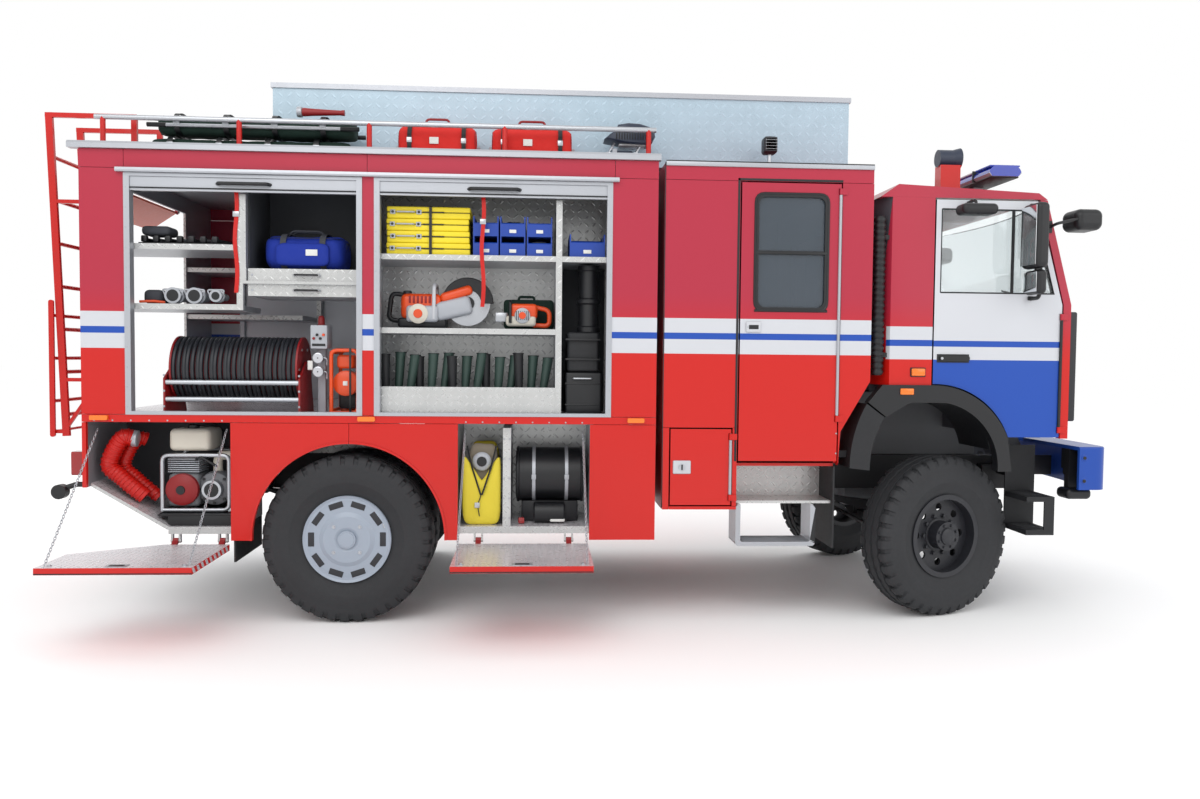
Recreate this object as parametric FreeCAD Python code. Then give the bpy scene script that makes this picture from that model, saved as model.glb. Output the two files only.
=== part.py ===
import FreeCAD, Part
import math
import os

# Fire engine: a two-axle cab-over chassis with a separate crew cabin and an equipment body.
# Lengths are in millimetres. While it is built, x runs forward from the rear axle, y runs to
# the vehicle's left and z runs up from the ground. Each solid is moved to the part's origin
# when it is written. Right-hand pieces are modelled and mirrored for the left.

V = FreeCAD.Vector
os.makedirs("parts", exist_ok=True)

# Overall
WHEELBASE = 3950.0
HALF_WIDTH = 1250.0

# General fits
SEAT = 0.3                # rest gap between pieces that bear on each other
SWING = 8.0               # gap round a door, lid or flap
PIN_FIT = 0.05            # radial clearance of a turning pin

# Wheels and axles
TYRE_RADIUS = 545.0
TYRE_WIDTH = 286.0
TYRE_SHOULDER = 46.0
TYRE_BORE = 262.0
BEAD_HALF = 102.0
AXLE_Z = TYRE_RADIUS
FRONT_WHEEL_SET = 220.0   # from the body's side in to a front wheel's middle
TWIN_SET = 160.0          # from the body's side in to an outer twin's middle
TWIN_PITCH = 332.0
KINGPIN_SET = 70.0
FRONT_WHEEL_Y = HALF_WIDTH - FRONT_WHEEL_SET
KINGPIN_Y = FRONT_WHEEL_Y - KINGPIN_SET
TWIN_OUTER_Y = HALF_WIDTH - TWIN_SET
TWIN_INSIDE_Y = TWIN_OUTER_Y - TWIN_PITCH - TYRE_WIDTH / 2.0
KINGPIN_RADIUS = 24.0
STUB_RADIUS = 34.0
REST_STEER = 20.0
RIM_RADIUS = 284.0
RIM_GAUGE = 12.0
RIM_LIP = 14.0
HUB_RADIUS = 118.0
BEAM_HEIGHT = 96.0
BEAM_WIDTH = 84.0
STEER_ARM = 125.0

# Equipment body
BODY_REAR_X = -1640.0
BODY_AXLE_GAP = 1950.0    # from the body's front to the front axle
BODY_FRONT_X = WHEELBASE - BODY_AXLE_GAP
SKIRT_Z = 545.0
BODY_TOP_Z = 3012.0
SKIN = 28.0
ROOF_DECK = 22.0
WAIST_Z = 1352.0          # lower edge of the upper lockers
LIP_Z = 1302.0            # upper edge of the lower lockers
GUTTER_Z = 2867.0
GUTTER_HEIGHT = 28.0
ARCH_RADIUS = 610.0
ARCH_X = 20.0
ARCH_Z = 560.0
BAY_A = (BODY_REAR_X + 274.0, 104.0)             # rear upper locker, frame outside edges
BAY_B = (BAY_A[1] + 77.0, BODY_FRONT_X - 298.0)  # front upper locker, frame outside edges
LOW_A = (BODY_REAR_X + 28.0, ARCH_X - ARCH_RADIUS - 134.0)   # rear lower locker
LOW_B = (ARCH_X + ARCH_RADIUS + 85.0, BODY_FRONT_X - 433.0)  # front lower locker
LOW_SILL_Z = 594.0        # lower edge of a closed flap
SILL_TOP_Z = 628.0
SILL_HEIGHT = 46.0
SLOPE_TOP_Z = 885.0
SLOPE_LENGTH = 463.0
SLOPE_FOOT_X = LOW_A[0] + SLOPE_LENGTH
FRAME_WIDTH = 35.0
FRAME_DEPTH = 60.0
FRAME_PROUD = 6.0
PANEL_SEAM = 3.0
SPINE_SET = 630.0         # depth of the side lockers
SPINE_Y = HALF_WIDTH - SPINE_SET
WALL = 18.0
SHELF = 36.0
TRIM_HEIGHT = 44.0
TRIM_OUT = 26.0
REAR_POST = 650.0         # width of each rear corner beside the open rear bay
REAR_BAY_HALF = HALF_WIDTH - REAR_POST
REAR_WALL_X = BODY_REAR_X + WALL
FLOOR_Z = (LIP_Z + 4.0, WAIST_Z - 4.0)           # the body's main floor
DECK_Z = BODY_TOP_Z - ROOF_DECK
BULKHEAD_X = BAY_A[1] + 20.0

# Fold-down flaps
FLAP_THICK = 40.0
FLAP_OPEN_Z = 523.0       # top face of an open flap
FLAP_LENGTH = LIP_Z - SWING - LOW_SILL_Z
FLAP_HINGE_Y = (2.0 * HALF_WIDTH - FLAP_THICK + FLAP_OPEN_Z - LOW_SILL_Z) / 2.0
FLAP_HINGE_Z = FLAP_OPEN_Z + HALF_WIDTH - FLAP_THICK - FLAP_HINGE_Y
FLAP_PIN = 9.0
FLAP_EYE = 17.0
ARM_SHARE = 0.153         # a hinge arm's place along its flap, from either end
ARM_WIDTH = 34.0

# Chassis
RAIL_TO_TYRE = 185.0
RAIL_OUTER_Y = TWIN_INSIDE_Y - RAIL_TO_TYRE
RAIL_FLANGE = 80.0
RAIL_HEIGHT = 250.0
RAIL_TOP_Z = 1030.0
RAIL_GAUGE = 9.0
RAIL_REAR_X = BODY_REAR_X + 140.0
RAIL_FRONT_X = WHEELBASE + 830.0
CROSS_SIZE = 110.0
CROSS_XS = (RAIL_REAR_X + 120.0, -520.0, 620.0, WHEELBASE - 2230.0, WHEELBASE - 1200.0, RAIL_FRONT_X - 140.0)
ENGINE_X = (WHEELBASE - 390.0, WHEELBASE + 610.0)
ENGINE_Z = (640.0, 1500.0)
ENGINE_SIDE_GAP = 100.0
ENGINE_HALF = RAIL_OUTER_Y - ENGINE_SIDE_GAP

# Crew cabin
CREW_BODY_GAP = 46.0
CREW_LENGTH = 1376.0
CREW_REAR_X = BODY_FRONT_X + CREW_BODY_GAP
CREW_FRONT_X = CREW_REAR_X + CREW_LENGTH
CREW_TOP_Z = 3010.0
CREW_SKIN = 50.0
CREW_END_WALL = 36.0
CREW_DOOR_X = (CREW_REAR_X + 492.0, CREW_FRONT_X - 210.0)
CREW_DOOR_Z = (1060.0, 2896.0)
CREW_WINDOW_X = (CREW_DOOR_X[0] + 99.0, CREW_DOOR_X[1] - 91.0)
CREW_WINDOW_Z = (2057.0, 2819.0)
WINDOW_RADIUS = 70.0
CREW_LOW_Z = 745.0
CREW_FLOOR_Z = 1060.0
LOCKER_X = (CREW_REAR_X + 43.0, CREW_DOOR_X[0] - 32.0)
LOCKER_Z = (768.0, 1285.0)
CREW_NOSE_Z = 1599.0
CREW_NOSE_FOOT = (CREW_DOOR_X[1] + 16.0, 1264.0)

# Cab
CAB_TUCK = 30.0           # the cab is this much narrower on each side than the body
CAB_HALF = HALF_WIDTH - CAB_TUCK
CAB_CREW_GAP = 58.0
CAB_REAR_X = CREW_FRONT_X + CAB_CREW_GAP
CAB_DOOR_X = (CAB_REAR_X + 370.0, CAB_REAR_X + 1265.0)
CAB_DOOR_Z = (1222.0, 2815.0)
CAB_ROOF_REAR_Z = 2904.0
CAB_ROOF_FRONT_Z = 2862.0
CAB_FLOOR_Z = 1590.0
CAB_FLOOR_GAUGE = 60.0
CAB_WALL = 55.0
CAB_WINDOW_Z = (2196.0, 2747.0)
CAB_WINDOW = ((CAB_DOOR_X[0] + 48.0, CAB_WINDOW_Z[0]), (CAB_DOOR_X[1] - 65.0, CAB_WINDOW_Z[0]),
              (CAB_DOOR_X[1] - 213.0, CAB_WINDOW_Z[1]), (CAB_DOOR_X[0] + 48.0, CAB_WINDOW_Z[1]))
PILLAR_TOP = (CAB_DOOR_X[1] - 184.0, 2800.0)
PILLAR_FOOT = (CAB_DOOR_X[1] - 4.0, 2121.0)
NOSE_CORNER_X = CAB_DOOR_X[1] + 55.0
NOSE_BOW = 190.0
NOSE_X = NOSE_CORNER_X + NOSE_BOW     # cab front on the centre line
NOSE_LOW_Z = 1285.0
TILT_X = WHEELBASE + 980.0
TILT_Z = 960.0
TILT_PIN = 26.0
TILT_EYE = 45.0
TILT_MAX = 45.0
TILT_ARM_Y = (RAIL_OUTER_Y - 68.0, RAIL_OUTER_Y - 12.0)
FOOTWELL_X = CAB_REAR_X + 850.0
FOOTWELL_Z = 1240.0
FOOTWELL_GAUGE = 30.0
TUNNEL_GAP = 15.0
TUNNEL_HALF = ENGINE_HALF + TUNNEL_GAP
BAND_Z = (1459.0, 1576.0)             # lower and upper edge of the arch band over the wheel

# Bumper
BUMPER_TUCK = 40.0
BUMPER_HALF = HALF_WIDTH - BUMPER_TUCK
BUMPER_Z = (872.0, 1165.0)
BUMPER_FRONT_X = WHEELBASE + 1200.0
BUMPER_CORNER_X = WHEELBASE + 1148.0
BUMPER_REAR_X = WHEELBASE + 946.0
BUMPER_WALL = 26.0
LAMP_Y = (BUMPER_HALF - 440.0, BUMPER_HALF - 180.0)
LAMP_Z = (925.0, 1105.0)
STAY_WIDTH = 32.0
STAY_Z = (890.0, 1035.0)

# Rear ladder
LADDER_Y = (290.0 - HALF_WIDTH, 730.0 - HALF_WIDTH)
LADDER_TOP_X = BODY_REAR_X - 306.0
LADDER_FOOT_X = BODY_REAR_X - 222.0
LADDER_TOP_Z = 3290.0
LADDER_FOOT_Z = 1190.0
STILE = 44.0
STILE_WIDTH = 26.0
RUNG_RADIUS = 13.0
RUNG_PITCH = 280.0
DROP_LENGTH = 860.0
DROP_PIN = 9.0
DROP_Z = LADDER_FOOT_Z + 30.0
DROP_X = LADDER_FOOT_X - 76.0

# Roof load
RAIL_Z = 3241.0
RAIL_RADIUS = 17.0
RAIL_SET = 150.0
RAIL_Y = HALF_WIDTH - RAIL_SET
BOX_X = (-590.0, CREW_FRONT_X - 7.0)
BOX_Y = (550.0 - HALF_WIDTH, HALF_WIDTH - 900.0)
BOX_HEIGHT = 516.0
BOX_Z = (BODY_TOP_Z + 62.0, BODY_TOP_Z + 62.0 + BOX_HEIGHT)

# Hose reel
REEL_X = (BAY_A[0] + 226.0, BAY_A[1] - 434.0)
REEL_Y = 320.0 - HALF_WIDTH
REEL_Z = 1640.0
REEL_RADIUS = 215.0
REEL_SHAFT = 20.0
BAG_X0 = BAY_A[1] - 744.0
BAG_Z0 = 2190.0

# Gear: its front and back in a right-hand locker
GEAR_SET = 110.0
GEAR_Y = (GEAR_SET - HALF_WIDTH, -SPINE_Y - 80.0)

# Origin: on the ground, midway between the rearmost and foremost points, and between
# the open right flaps' edge and the left mirrors' edge
REAR_END_X = LADDER_TOP_X - STILE / 2.0
ORIGIN_X = (REAR_END_X + BUMPER_FRONT_X) / 2.0
MIRROR_OUT = 290.0        # from the cab's side to the mirrors' outer edge
ORIGIN_Y = (CAB_HALF + MIRROR_OUT - HALF_WIDTH - FLAP_LENGTH) / 2.0


def box(x0, x1, y0, y1, z0, z1):
    return Part.makeBox(x1 - x0, y1 - y0, z1 - z0, V(x0, y0, z0))


def rod(start, end, radius):
    a = V(*start)
    b = V(*end)
    return Part.makeCylinder(radius, (b - a).Length, a, b - a)


def ring(start, end, outer, inner):
    return rod(start, end, outer).cut(rod(start, end, inner))


def bar(points, radius, bend=40.0):
    """A round tube along straight runs that arcs of one bend radius join."""
    corners = [V(*p) for p in points]
    edges = []
    here = corners[0]
    for before, corner, after in zip(corners[:-2], corners[1:-1], corners[2:]):
        back = (before - corner).normalize()
        on = (after - corner).normalize()
        half = back.getAngle(on) / 2.0
        reach = bend / math.tan(half)
        middle = corner + (back + on).normalize() * (bend / math.sin(half) - bend)
        edges.append(Part.makeLine(here, corner + back * reach))
        edges.append(Part.Arc(corner + back * reach, middle, corner + on * reach).toShape())
        here = corner + on * reach
    edges.append(Part.makeLine(here, corners[-1]))
    ring_wire = Part.Wire([Part.makeCircle(radius, corners[0], corners[1] - corners[0])])
    return Part.Wire(edges).makePipeShell([ring_wire], True, True)


def strut(start, end, width, depth):
    """A square tube between two points, its width across y."""
    a = V(*start)
    b = V(*end)
    solid = Part.makeBox(width, depth, (b - a).Length, V(-width / 2.0, -depth / 2.0, 0))
    solid.Placement = FreeCAD.Placement(a, FreeCAD.Rotation(V(0, 0, 1), b - a))
    return solid


def outline_steps(points):
    """Pairs of ends with the middle point of the arc between them, or None for a line."""
    steps = []
    here = points[0]
    for step in list(points[1:]) + [points[0]]:
        if isinstance(step[0], tuple):
            middle, end = step
            steps.append((here, middle, end))
            here = end
        else:
            steps.append((here, None, step))
            here = step
    return steps


def closed_face(points, place, level):
    """A flat face inside an outline of points and (middle, end) arcs, placed at a level."""
    edges = []
    for here, middle, end in outline_steps(points):
        a, b = place(here, level), place(end, level)
        if (a - b).Length < 1e-6:
            continue
        if middle is None:
            edges.append(Part.makeLine(a, b))
        else:
            edges.append(Part.Arc(a, place(middle, level), b).toShape())
    return Part.Face(Part.Wire(edges))


def prism(points, place, low, high):
    """A plate between two levels of its normal."""
    start = points[0]
    return closed_face(points, place, low).extrude(place(start, high) - place(start, low))


def side(p, level):
    return V(p[0], level, p[1])


def end_on(p, level):
    return V(level, p[0], p[1])


def plan(p, level):
    return V(p[0], p[1], level)


def plate_xz(points, y0, y1):
    return prism(points, side, y0, y1)


def plate_yz(points, x0, x1):
    return prism(points, end_on, x0, x1)


def plate_xy(points, z0, z1):
    return prism(points, plan, z0, z1)


def round_box(x0, x1, y0, y1, z0, z1, radius, along="y"):
    """A box whose four edges along one direction are rounded."""
    solid = box(x0, x1, y0, y1, z0, z1)
    axis = {"x": 0, "y": 1, "z": 2}[along]
    edges = []
    for edge in solid.Edges:
        run = edge.Vertexes[1].Point - edge.Vertexes[0].Point
        if abs(run[axis]) > 1e-6:
            edges.append(edge)
    return solid.makeFillet(radius, edges)


def soft_box(x0, x1, y0, y1, z0, z1, radius):
    """A box with every edge rounded."""
    solid = box(x0, x1, y0, y1, z0, z1)
    return solid.makeFillet(radius, solid.Edges)


def mirrored(shape):
    return shape.mirror(V(0, 0, 0), V(0, 1, 0))


def pair(shapes):
    return list(shapes) + [mirrored(s) for s in shapes]


def turned(shape, centre, axis, angle):
    copy = shape.copy()
    copy.rotate(V(*centre), V(*axis), angle)
    return copy


def spun(profile, x, z):
    """Revolve a (y, radius) outline about an axle line along y."""
    face = closed_face(profile, end_on, x)
    solid = face.revolve(V(x, 0, 0), V(0, 1, 0), 360)
    solid.translate(V(0, 0, z))
    return solid


def between(span, share):
    return span[0] + share * (span[1] - span[0])


def save(node, shapes):
    """Move a node's solids to the part's origin and write them."""
    solids = []
    for shape in shapes if isinstance(shapes, (list, tuple)) else [shapes]:
        solids.extend(shape.Solids)
    whole = Part.Compound(solids)
    whole.translate(V(-ORIGIN_X, -ORIGIN_Y, 0))
    whole.exportStep("parts/" + node + ".step")
    bound = whole.optimalBoundingBox(False, False)
    print("%-24s solids %3d  box %7.0f %7.0f %7.0f %7.0f %7.0f %7.0f  valid %s" % (
        node, len(solids), bound.XMin, bound.XMax, bound.YMin, bound.YMax,
        bound.ZMin, bound.ZMax, all(s.isValid() for s in solids)))


# Door hinges
HINGE_PIN = 5.0
HINGE_BARREL = 10.0
HINGE_IN = 5.0            # from a door's front edge back to its hinge line
HINGE_OUT = 6.0           # from the door's face out to its hinge line
KNUCKLE = 40.0
KNUCKLE_SET = 30.0
KNUCKLE_GAP = 2.0
PIN_REACH = 90.0
EAR_REACH = 43.0


def knuckle_levels(z0, z1):
    """Heights of the two fixed knuckles on a door's hinge line."""
    return ((z0 + KNUCKLE_SET, z0 + KNUCKLE_SET + KNUCKLE), (z1 - KNUCKLE_SET - KNUCKLE, z1 - KNUCKLE_SET))


def hang_door(door, hinge, levels):
    """Give a right-hand door its hinge barrel, with notches and a bore for the fixed knuckles."""
    x, y = hinge
    low, high = knuckle_levels(*levels)
    for a, b in (low, high):
        door = door.cut(rod((x, y, a - KNUCKLE_GAP), (x, y, b + KNUCKLE_GAP), HINGE_BARREL + SWING - 3.0))
    barrel = rod((x, y, low[1] + KNUCKLE_GAP), (x, y, high[0] - KNUCKLE_GAP), HINGE_BARREL)
    bore = rod((x, y, levels[0] - 1.0), (x, y, levels[1] + 1.0), HINGE_PIN + PIN_FIT)
    return door.fuse(barrel).cut(bore)


def fixed_knuckles(hinge, levels):
    """Knuckles and pins that carry a right-hand door, on ears that lie on the panel ahead."""
    x, y = hinge
    low, high = knuckle_levels(*levels)
    parts = []
    for (a, b), pin in ((low, (low[0], low[0] + PIN_REACH)), (high, (high[1] - PIN_REACH, high[1]))):
        ear = box(x, x + EAR_REACH, y - HINGE_OUT, y + HINGE_OUT, a, b)
        knuckle_body = rod((x, y, a), (x, y, b), HINGE_BARREL)
        parts.append(knuckle_body.fuse([ear, rod((x, y, pin[0]), (x, y, pin[1]), HINGE_PIN)]))
    return parts


def chassis_frame():
    web = RAIL_OUTER_Y - RAIL_FLANGE
    low = RAIL_TOP_Z - RAIL_HEIGHT
    section = [(RAIL_OUTER_Y, low), (RAIL_OUTER_Y, RAIL_TOP_Z), (web, RAIL_TOP_Z),
               (web, RAIL_TOP_Z - RAIL_GAUGE), (RAIL_OUTER_Y - RAIL_GAUGE, RAIL_TOP_Z - RAIL_GAUGE),
               (RAIL_OUTER_Y - RAIL_GAUGE, low + RAIL_GAUGE), (web, low + RAIL_GAUGE), (web, low)]
    rail = plate_yz(section, RAIL_REAR_X, RAIL_FRONT_X)
    solids = pair([rail])
    reach = RAIL_OUTER_Y - RAIL_GAUGE - SEAT
    middle = RAIL_TOP_Z - RAIL_HEIGHT / 2.0
    for x in CROSS_XS:
        solids.append(ring((x, -reach, middle), (x, reach, middle), CROSS_SIZE / 2.0,
                           CROSS_SIZE / 2.0 - RAIL_GAUGE))
    solids.append(tow_jaw(middle))
    return solids


JAW_PIN_RADIUS = 22.5
JAW_X = RAIL_REAR_X - 95.0
JAW_HALF = 75.0
JAW_MOUTH = 38.0
JAW_HEIGHT = 80.0


def tow_jaw(middle):
    """Rear beam with the two ears and vertical bore of a drawbar coupling."""
    beam = box(RAIL_REAR_X - 22.0, RAIL_REAR_X - SEAT, -RAIL_OUTER_Y, RAIL_OUTER_Y,
               RAIL_TOP_Z - RAIL_HEIGHT, RAIL_TOP_Z)
    jaw = box(JAW_X - 60.0, RAIL_REAR_X - 10.0, -JAW_HALF, JAW_HALF, middle - JAW_HEIGHT, middle + JAW_HEIGHT)
    mouth = box(JAW_X - 70.0, JAW_X + 50.0, -JAW_HALF - 15.0, JAW_HALF + 15.0, middle - JAW_MOUTH, middle + JAW_MOUTH)
    hole = rod((JAW_X, 0, middle - 2.0 * JAW_HEIGHT), (JAW_X, 0, middle + 2.0 * JAW_HEIGHT), JAW_PIN_RADIUS)
    return beam.fuse(jaw.cut(mouth)).cut(hole)


LEAF_SAG = 70.0
LEAF_STACK = 75.0
LEAF_EYE = 28.0
LEAF_THIN = 14.0
SPRING_WIDTH = 80.0
SPRING_Y = RAIL_OUTER_Y + SEAT + SPRING_WIDTH / 2.0
SADDLE_HALF = 70.0
FRONT_SPAN = 1300.0
REAR_SPAN = 1400.0
HANGER_HALF = 60.0
FRONT_LEAF_Z = 760.0
REAR_LEAF_Z = 784.0


def leaf_pack(x, span, y, top):
    """A curved stack of leaves, thick over the axle, with a rolled eye at each end."""
    half = span / 2.0
    outline = [(x - half, top), ((x, top - LEAF_SAG), (x + half, top)), (x + half, top - LEAF_THIN),
               ((x, top - LEAF_SAG - LEAF_STACK), (x - half, top - LEAF_THIN))]
    low, high = y - SPRING_WIDTH / 2.0, y + SPRING_WIDTH / 2.0
    middle = top - LEAF_THIN / 2.0
    eyes = [rod((x + end * half, low, middle), (x + end * half, high, middle), LEAF_EYE) for end in (-1, 1)]
    return plate_xz(outline, low, high).fuse(eyes)


def leaf_seat(top):
    """Lowest point of a leaf pack, where its axle carries it."""
    return top - LEAF_SAG - LEAF_STACK


def axles_and_springs():
    solids = [front_beam(), rear_axle()]
    for sign in (-1, 1):
        y = sign * SPRING_Y
        for x, span, top in ((WHEELBASE, FRONT_SPAN, FRONT_LEAF_Z), (0.0, REAR_SPAN, REAR_LEAF_Z)):
            solids.append(leaf_pack(x, span, y, top))
            eye_top = top - LEAF_THIN / 2.0 + LEAF_EYE
            for end in (-1, 1):
                hx = x + end * span / 2.0
                low, high = sorted((sign * (RAIL_OUTER_Y + SEAT), y + sign * SPRING_WIDTH / 2.0))
                hanger = [(hx - 34.0, eye_top + SEAT), (hx + 34.0, eye_top + SEAT),
                          (hx + HANGER_HALF, RAIL_TOP_Z - 60.0), (hx - HANGER_HALF, RAIL_TOP_Z - 60.0)]
                solids.append(plate_xz(hanger, low, high))
    return solids


BEAM_BOSS = 62.0
BEAM_DROP = 110.0


def front_beam():
    """Dropped I-beam with a vertical boss for each kingpin."""
    half = BEAM_HEIGHT / 2.0
    reach = KINGPIN_Y - 40.0
    level = KINGPIN_Y - 80.0
    drop = AXLE_Z - BEAM_DROP
    outline = [(-level, AXLE_Z - half), (-reach, AXLE_Z - half), (-reach, AXLE_Z + half),
               (-SPRING_Y - 90.0, AXLE_Z + half - 20.0), (-SPRING_Y + 60.0, drop + half),
               (SPRING_Y - 60.0, drop + half), (SPRING_Y + 90.0, AXLE_Z + half - 20.0),
               (reach, AXLE_Z + half), (reach, AXLE_Z - half), (level, AXLE_Z - half),
               (SPRING_Y, drop - half), (-SPRING_Y, drop - half)]
    beam = plate_yz(outline, WHEELBASE - BEAM_WIDTH / 2.0, WHEELBASE + BEAM_WIDTH / 2.0)
    for sign in (-1, 1):
        y = sign * KINGPIN_Y
        saddle = box(WHEELBASE - SADDLE_HALF, WHEELBASE + SADDLE_HALF, sign * SPRING_Y - 44.0,
                     sign * SPRING_Y + 44.0, drop + 20.0, leaf_seat(FRONT_LEAF_Z) - SEAT)
        boss_rod = rod((WHEELBASE, y, AXLE_Z - half), (WHEELBASE, y, AXLE_Z + half), BEAM_BOSS)
        beam = beam.fuse([saddle, boss_rod])
        beam = beam.cut(rod((WHEELBASE, y, AXLE_Z - 2.0 * half), (WHEELBASE, y, AXLE_Z + 2.0 * half),
                            KINGPIN_RADIUS + PIN_FIT))
    return beam


REAR_TUBE = 78.0
REAR_SPINDLE = 42.0
BANJO_RADIUS = 215.0


def rear_axle():
    """Banjo housing: a round centre with a tapering nose and a tube to each hub."""
    reach = TWIN_OUTER_Y - TWIN_PITCH - 50.0
    tube = rod((0, -reach, AXLE_Z), (0, reach, AXLE_Z), REAR_TUBE)
    bowl = rod((-95.0, 0, AXLE_Z), (95.0, 0, AXLE_Z), BANJO_RADIUS)
    nose = Part.makeCone(BANJO_RADIUS - 65.0, 95.0, 210.0, V(90.0, 0, AXLE_Z), V(1, 0, 0))
    tip = TWIN_OUTER_Y + 40.0
    spindle = rod((0, -tip, AXLE_Z), (0, tip, AXLE_Z), REAR_SPINDLE)
    saddles = [box(-SADDLE_HALF, SADDLE_HALF, sign * SPRING_Y - 44.0, sign * SPRING_Y + 44.0, AXLE_Z + 30.0,
                   leaf_seat(REAR_LEAF_Z) - SEAT) for sign in (-1, 1)]
    return tube.fuse([bowl, nose, spindle] + saddles)


def engine_gearbox():
    """Engine and gearbox as one block, with the propeller shaft to the rear axle's nose."""
    x0, x1 = ENGINE_X
    block = box(x0, x1, -ENGINE_HALF, ENGINE_HALF, *ENGINE_Z)
    gearbox = Part.makeCone(0.575 * ENGINE_HALF, 0.36 * ENGINE_HALF, 700.0, V(x0, 0, 800.0), V(-1, 0, 0))
    shaft = rod((x0 - 680.0, 0, 790.0), (306.0, 0, AXLE_Z + 20.0), 52.0)
    web = RAIL_OUTER_Y - RAIL_GAUGE - SEAT
    mounts = [box(x, x + 90.0, -web, web, RAIL_TOP_Z - 150.0, RAIL_TOP_Z - 90.0) for x in (x0 + 110.0, x1 - 300.0)]
    return block.fuse([gearbox, shaft] + mounts)


def bow_x(front, corner, half, y):
    """Place along x of a bowed front edge at a distance from the centre line."""
    rise = front - corner
    radius = (half * half + rise * rise) / (2.0 * rise)
    return front - radius + math.sqrt(radius * radius - y * y)


HOLLOW_CORNER_X = BUMPER_CORNER_X - 120.0
ARM_SLOT = 6.0
ARM_SLOT_X = TILT_X + 102.0


def front_bumper():
    """A wrapped pressing, open at the back and below, with lamp windows and tilt arm slots."""
    z0, z1 = BUMPER_Z
    c = BUMPER_CORNER_X
    h = BUMPER_HALF
    outline = [(BUMPER_REAR_X, -h), (c, -h), ((BUMPER_FRONT_X, 0), (c, h)), (BUMPER_REAR_X, h)]
    shell = plate_xy(outline, z0, z1)
    upright = [e for e in shell.Edges if abs(e.CenterOfMass.x - c) < 1.0 and abs(abs(e.CenterOfMass.y) - h) < 1.0]
    shell = shell.makeFillet(90.0, upright)
    top_edges = [e for e in shell.Edges
                 if abs(e.CenterOfMass.z - z1) < 1.0 and e.CenterOfMass.x > BUMPER_REAR_X + 1.0]
    shell = shell.makeFillet(12.0, top_edges)
    inside = h - BUMPER_WALL
    rear = BUMPER_REAR_X - 50.0
    hollow = [(rear, -inside), (HOLLOW_CORNER_X, -inside),
              ((BUMPER_FRONT_X - BUMPER_WALL, 0), (HOLLOW_CORNER_X, inside)), (rear, inside)]
    shell = shell.cut(plate_xy(hollow, z0 - 10.0, z1 - BUMPER_WALL))
    for sign in (-1, 1):
        y0, y1 = sorted((sign * LAMP_Y[0], sign * LAMP_Y[1]))
        window = box(c - 100.0, BUMPER_FRONT_X + 20.0, y0, y1, *LAMP_Z)
        y0, y1 = sorted((sign * (TILT_ARM_Y[0] - ARM_SLOT), sign * (TILT_ARM_Y[1] + ARM_SLOT)))
        slot = box(rear, ARM_SLOT_X, y0, y1, z1 - BUMPER_WALL - 10.0, z1 + 10.0)
        shell = shell.cut(window.fuse(slot))
    return shell


def bumper_stays():
    """Outriggers from the rails to the bumper. Each holds a pin that the cab tilts on."""
    inside = RAIL_OUTER_Y + SEAT
    outside = inside + STAY_WIDTH
    tip = bow_x(BUMPER_FRONT_X - BUMPER_WALL, HOLLOW_CORNER_X, BUMPER_HALF - BUMPER_WALL, outside) - SEAT
    stay = box(WHEELBASE + FRONT_SPAN / 2.0 + HANGER_HALF + 2.0, tip, inside, outside, *STAY_Z)
    pin = rod((TILT_X, outside, TILT_Z), (TILT_X, TILT_ARM_Y[0] - 6.0, TILT_Z), TILT_PIN)
    return pair([stay.fuse(pin)])


def body_sides():
    """Outside panels of the right side, each a flat plate up to its seams, then mirrored."""
    outer = -HALF_WIDTH
    inner = -HALF_WIDTH + SKIN
    seam = PANEL_SEAM / 2.0
    top_band = GUTTER_Z + GUTTER_HEIGHT
    plates = []

    def plate(x0, x1, z0, z1):
        plates.append(box(x0 + seam, x1 - seam, outer, inner, z0 + seam, z1 - seam))

    plate(BODY_REAR_X, BAY_A[0], WAIST_Z, top_band)
    plate(BAY_A[1], BAY_B[0], WAIST_Z, top_band)
    plate(BAY_B[1], BODY_FRONT_X, WAIST_Z, top_band)
    plate(BODY_REAR_X, BAY_A[0], top_band, BODY_TOP_Z)
    plate(BAY_A[0], BAY_B[0] - 44.0, top_band, BODY_TOP_Z)
    plate(BAY_B[0] - 44.0, BAY_B[1] + 15.0, top_band, BODY_TOP_Z)
    plate(BAY_B[1] + 15.0, BODY_FRONT_X, top_band, BODY_TOP_Z)
    plate(BODY_REAR_X, BODY_FRONT_X, LIP_Z, WAIST_Z)
    plate(LOW_B[1], BODY_FRONT_X, SKIRT_Z, LIP_Z)
    plate(BODY_REAR_X, LOW_A[0], SLOPE_TOP_Z, LIP_Z)
    plates.extend(arch_panels(outer, inner, seam))
    return pair(plates)


ARCH_BEAD = 14.0


def arch_panels(outer, inner, seam):
    """The two panels that meet over the rear wheels, cut by the arch, with its rolled bead."""
    start = (ARCH_X, outer - SKIN, ARCH_Z)
    cut = rod(start, (ARCH_X, inner + SKIN, ARCH_Z), ARCH_RADIUS)
    bead = ring((ARCH_X, outer - 8.0, ARCH_Z), (ARCH_X, outer + 2.0, ARCH_Z), ARCH_RADIUS + ARCH_BEAD, ARCH_RADIUS)
    solids = []
    for x0, x1 in ((LOW_A[1], ARCH_X), (ARCH_X, LOW_B[0])):
        whole = box(x0 + seam, x1 - seam, outer, inner, SKIRT_Z + seam, LIP_Z - seam)
        half = box(x0 + seam, x1 - seam, outer - 20.0, inner, SKIRT_Z + seam, LIP_Z - seam)
        solids.append(whole.cut(cut).fuse(bead.common(half)))
    return solids


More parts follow.
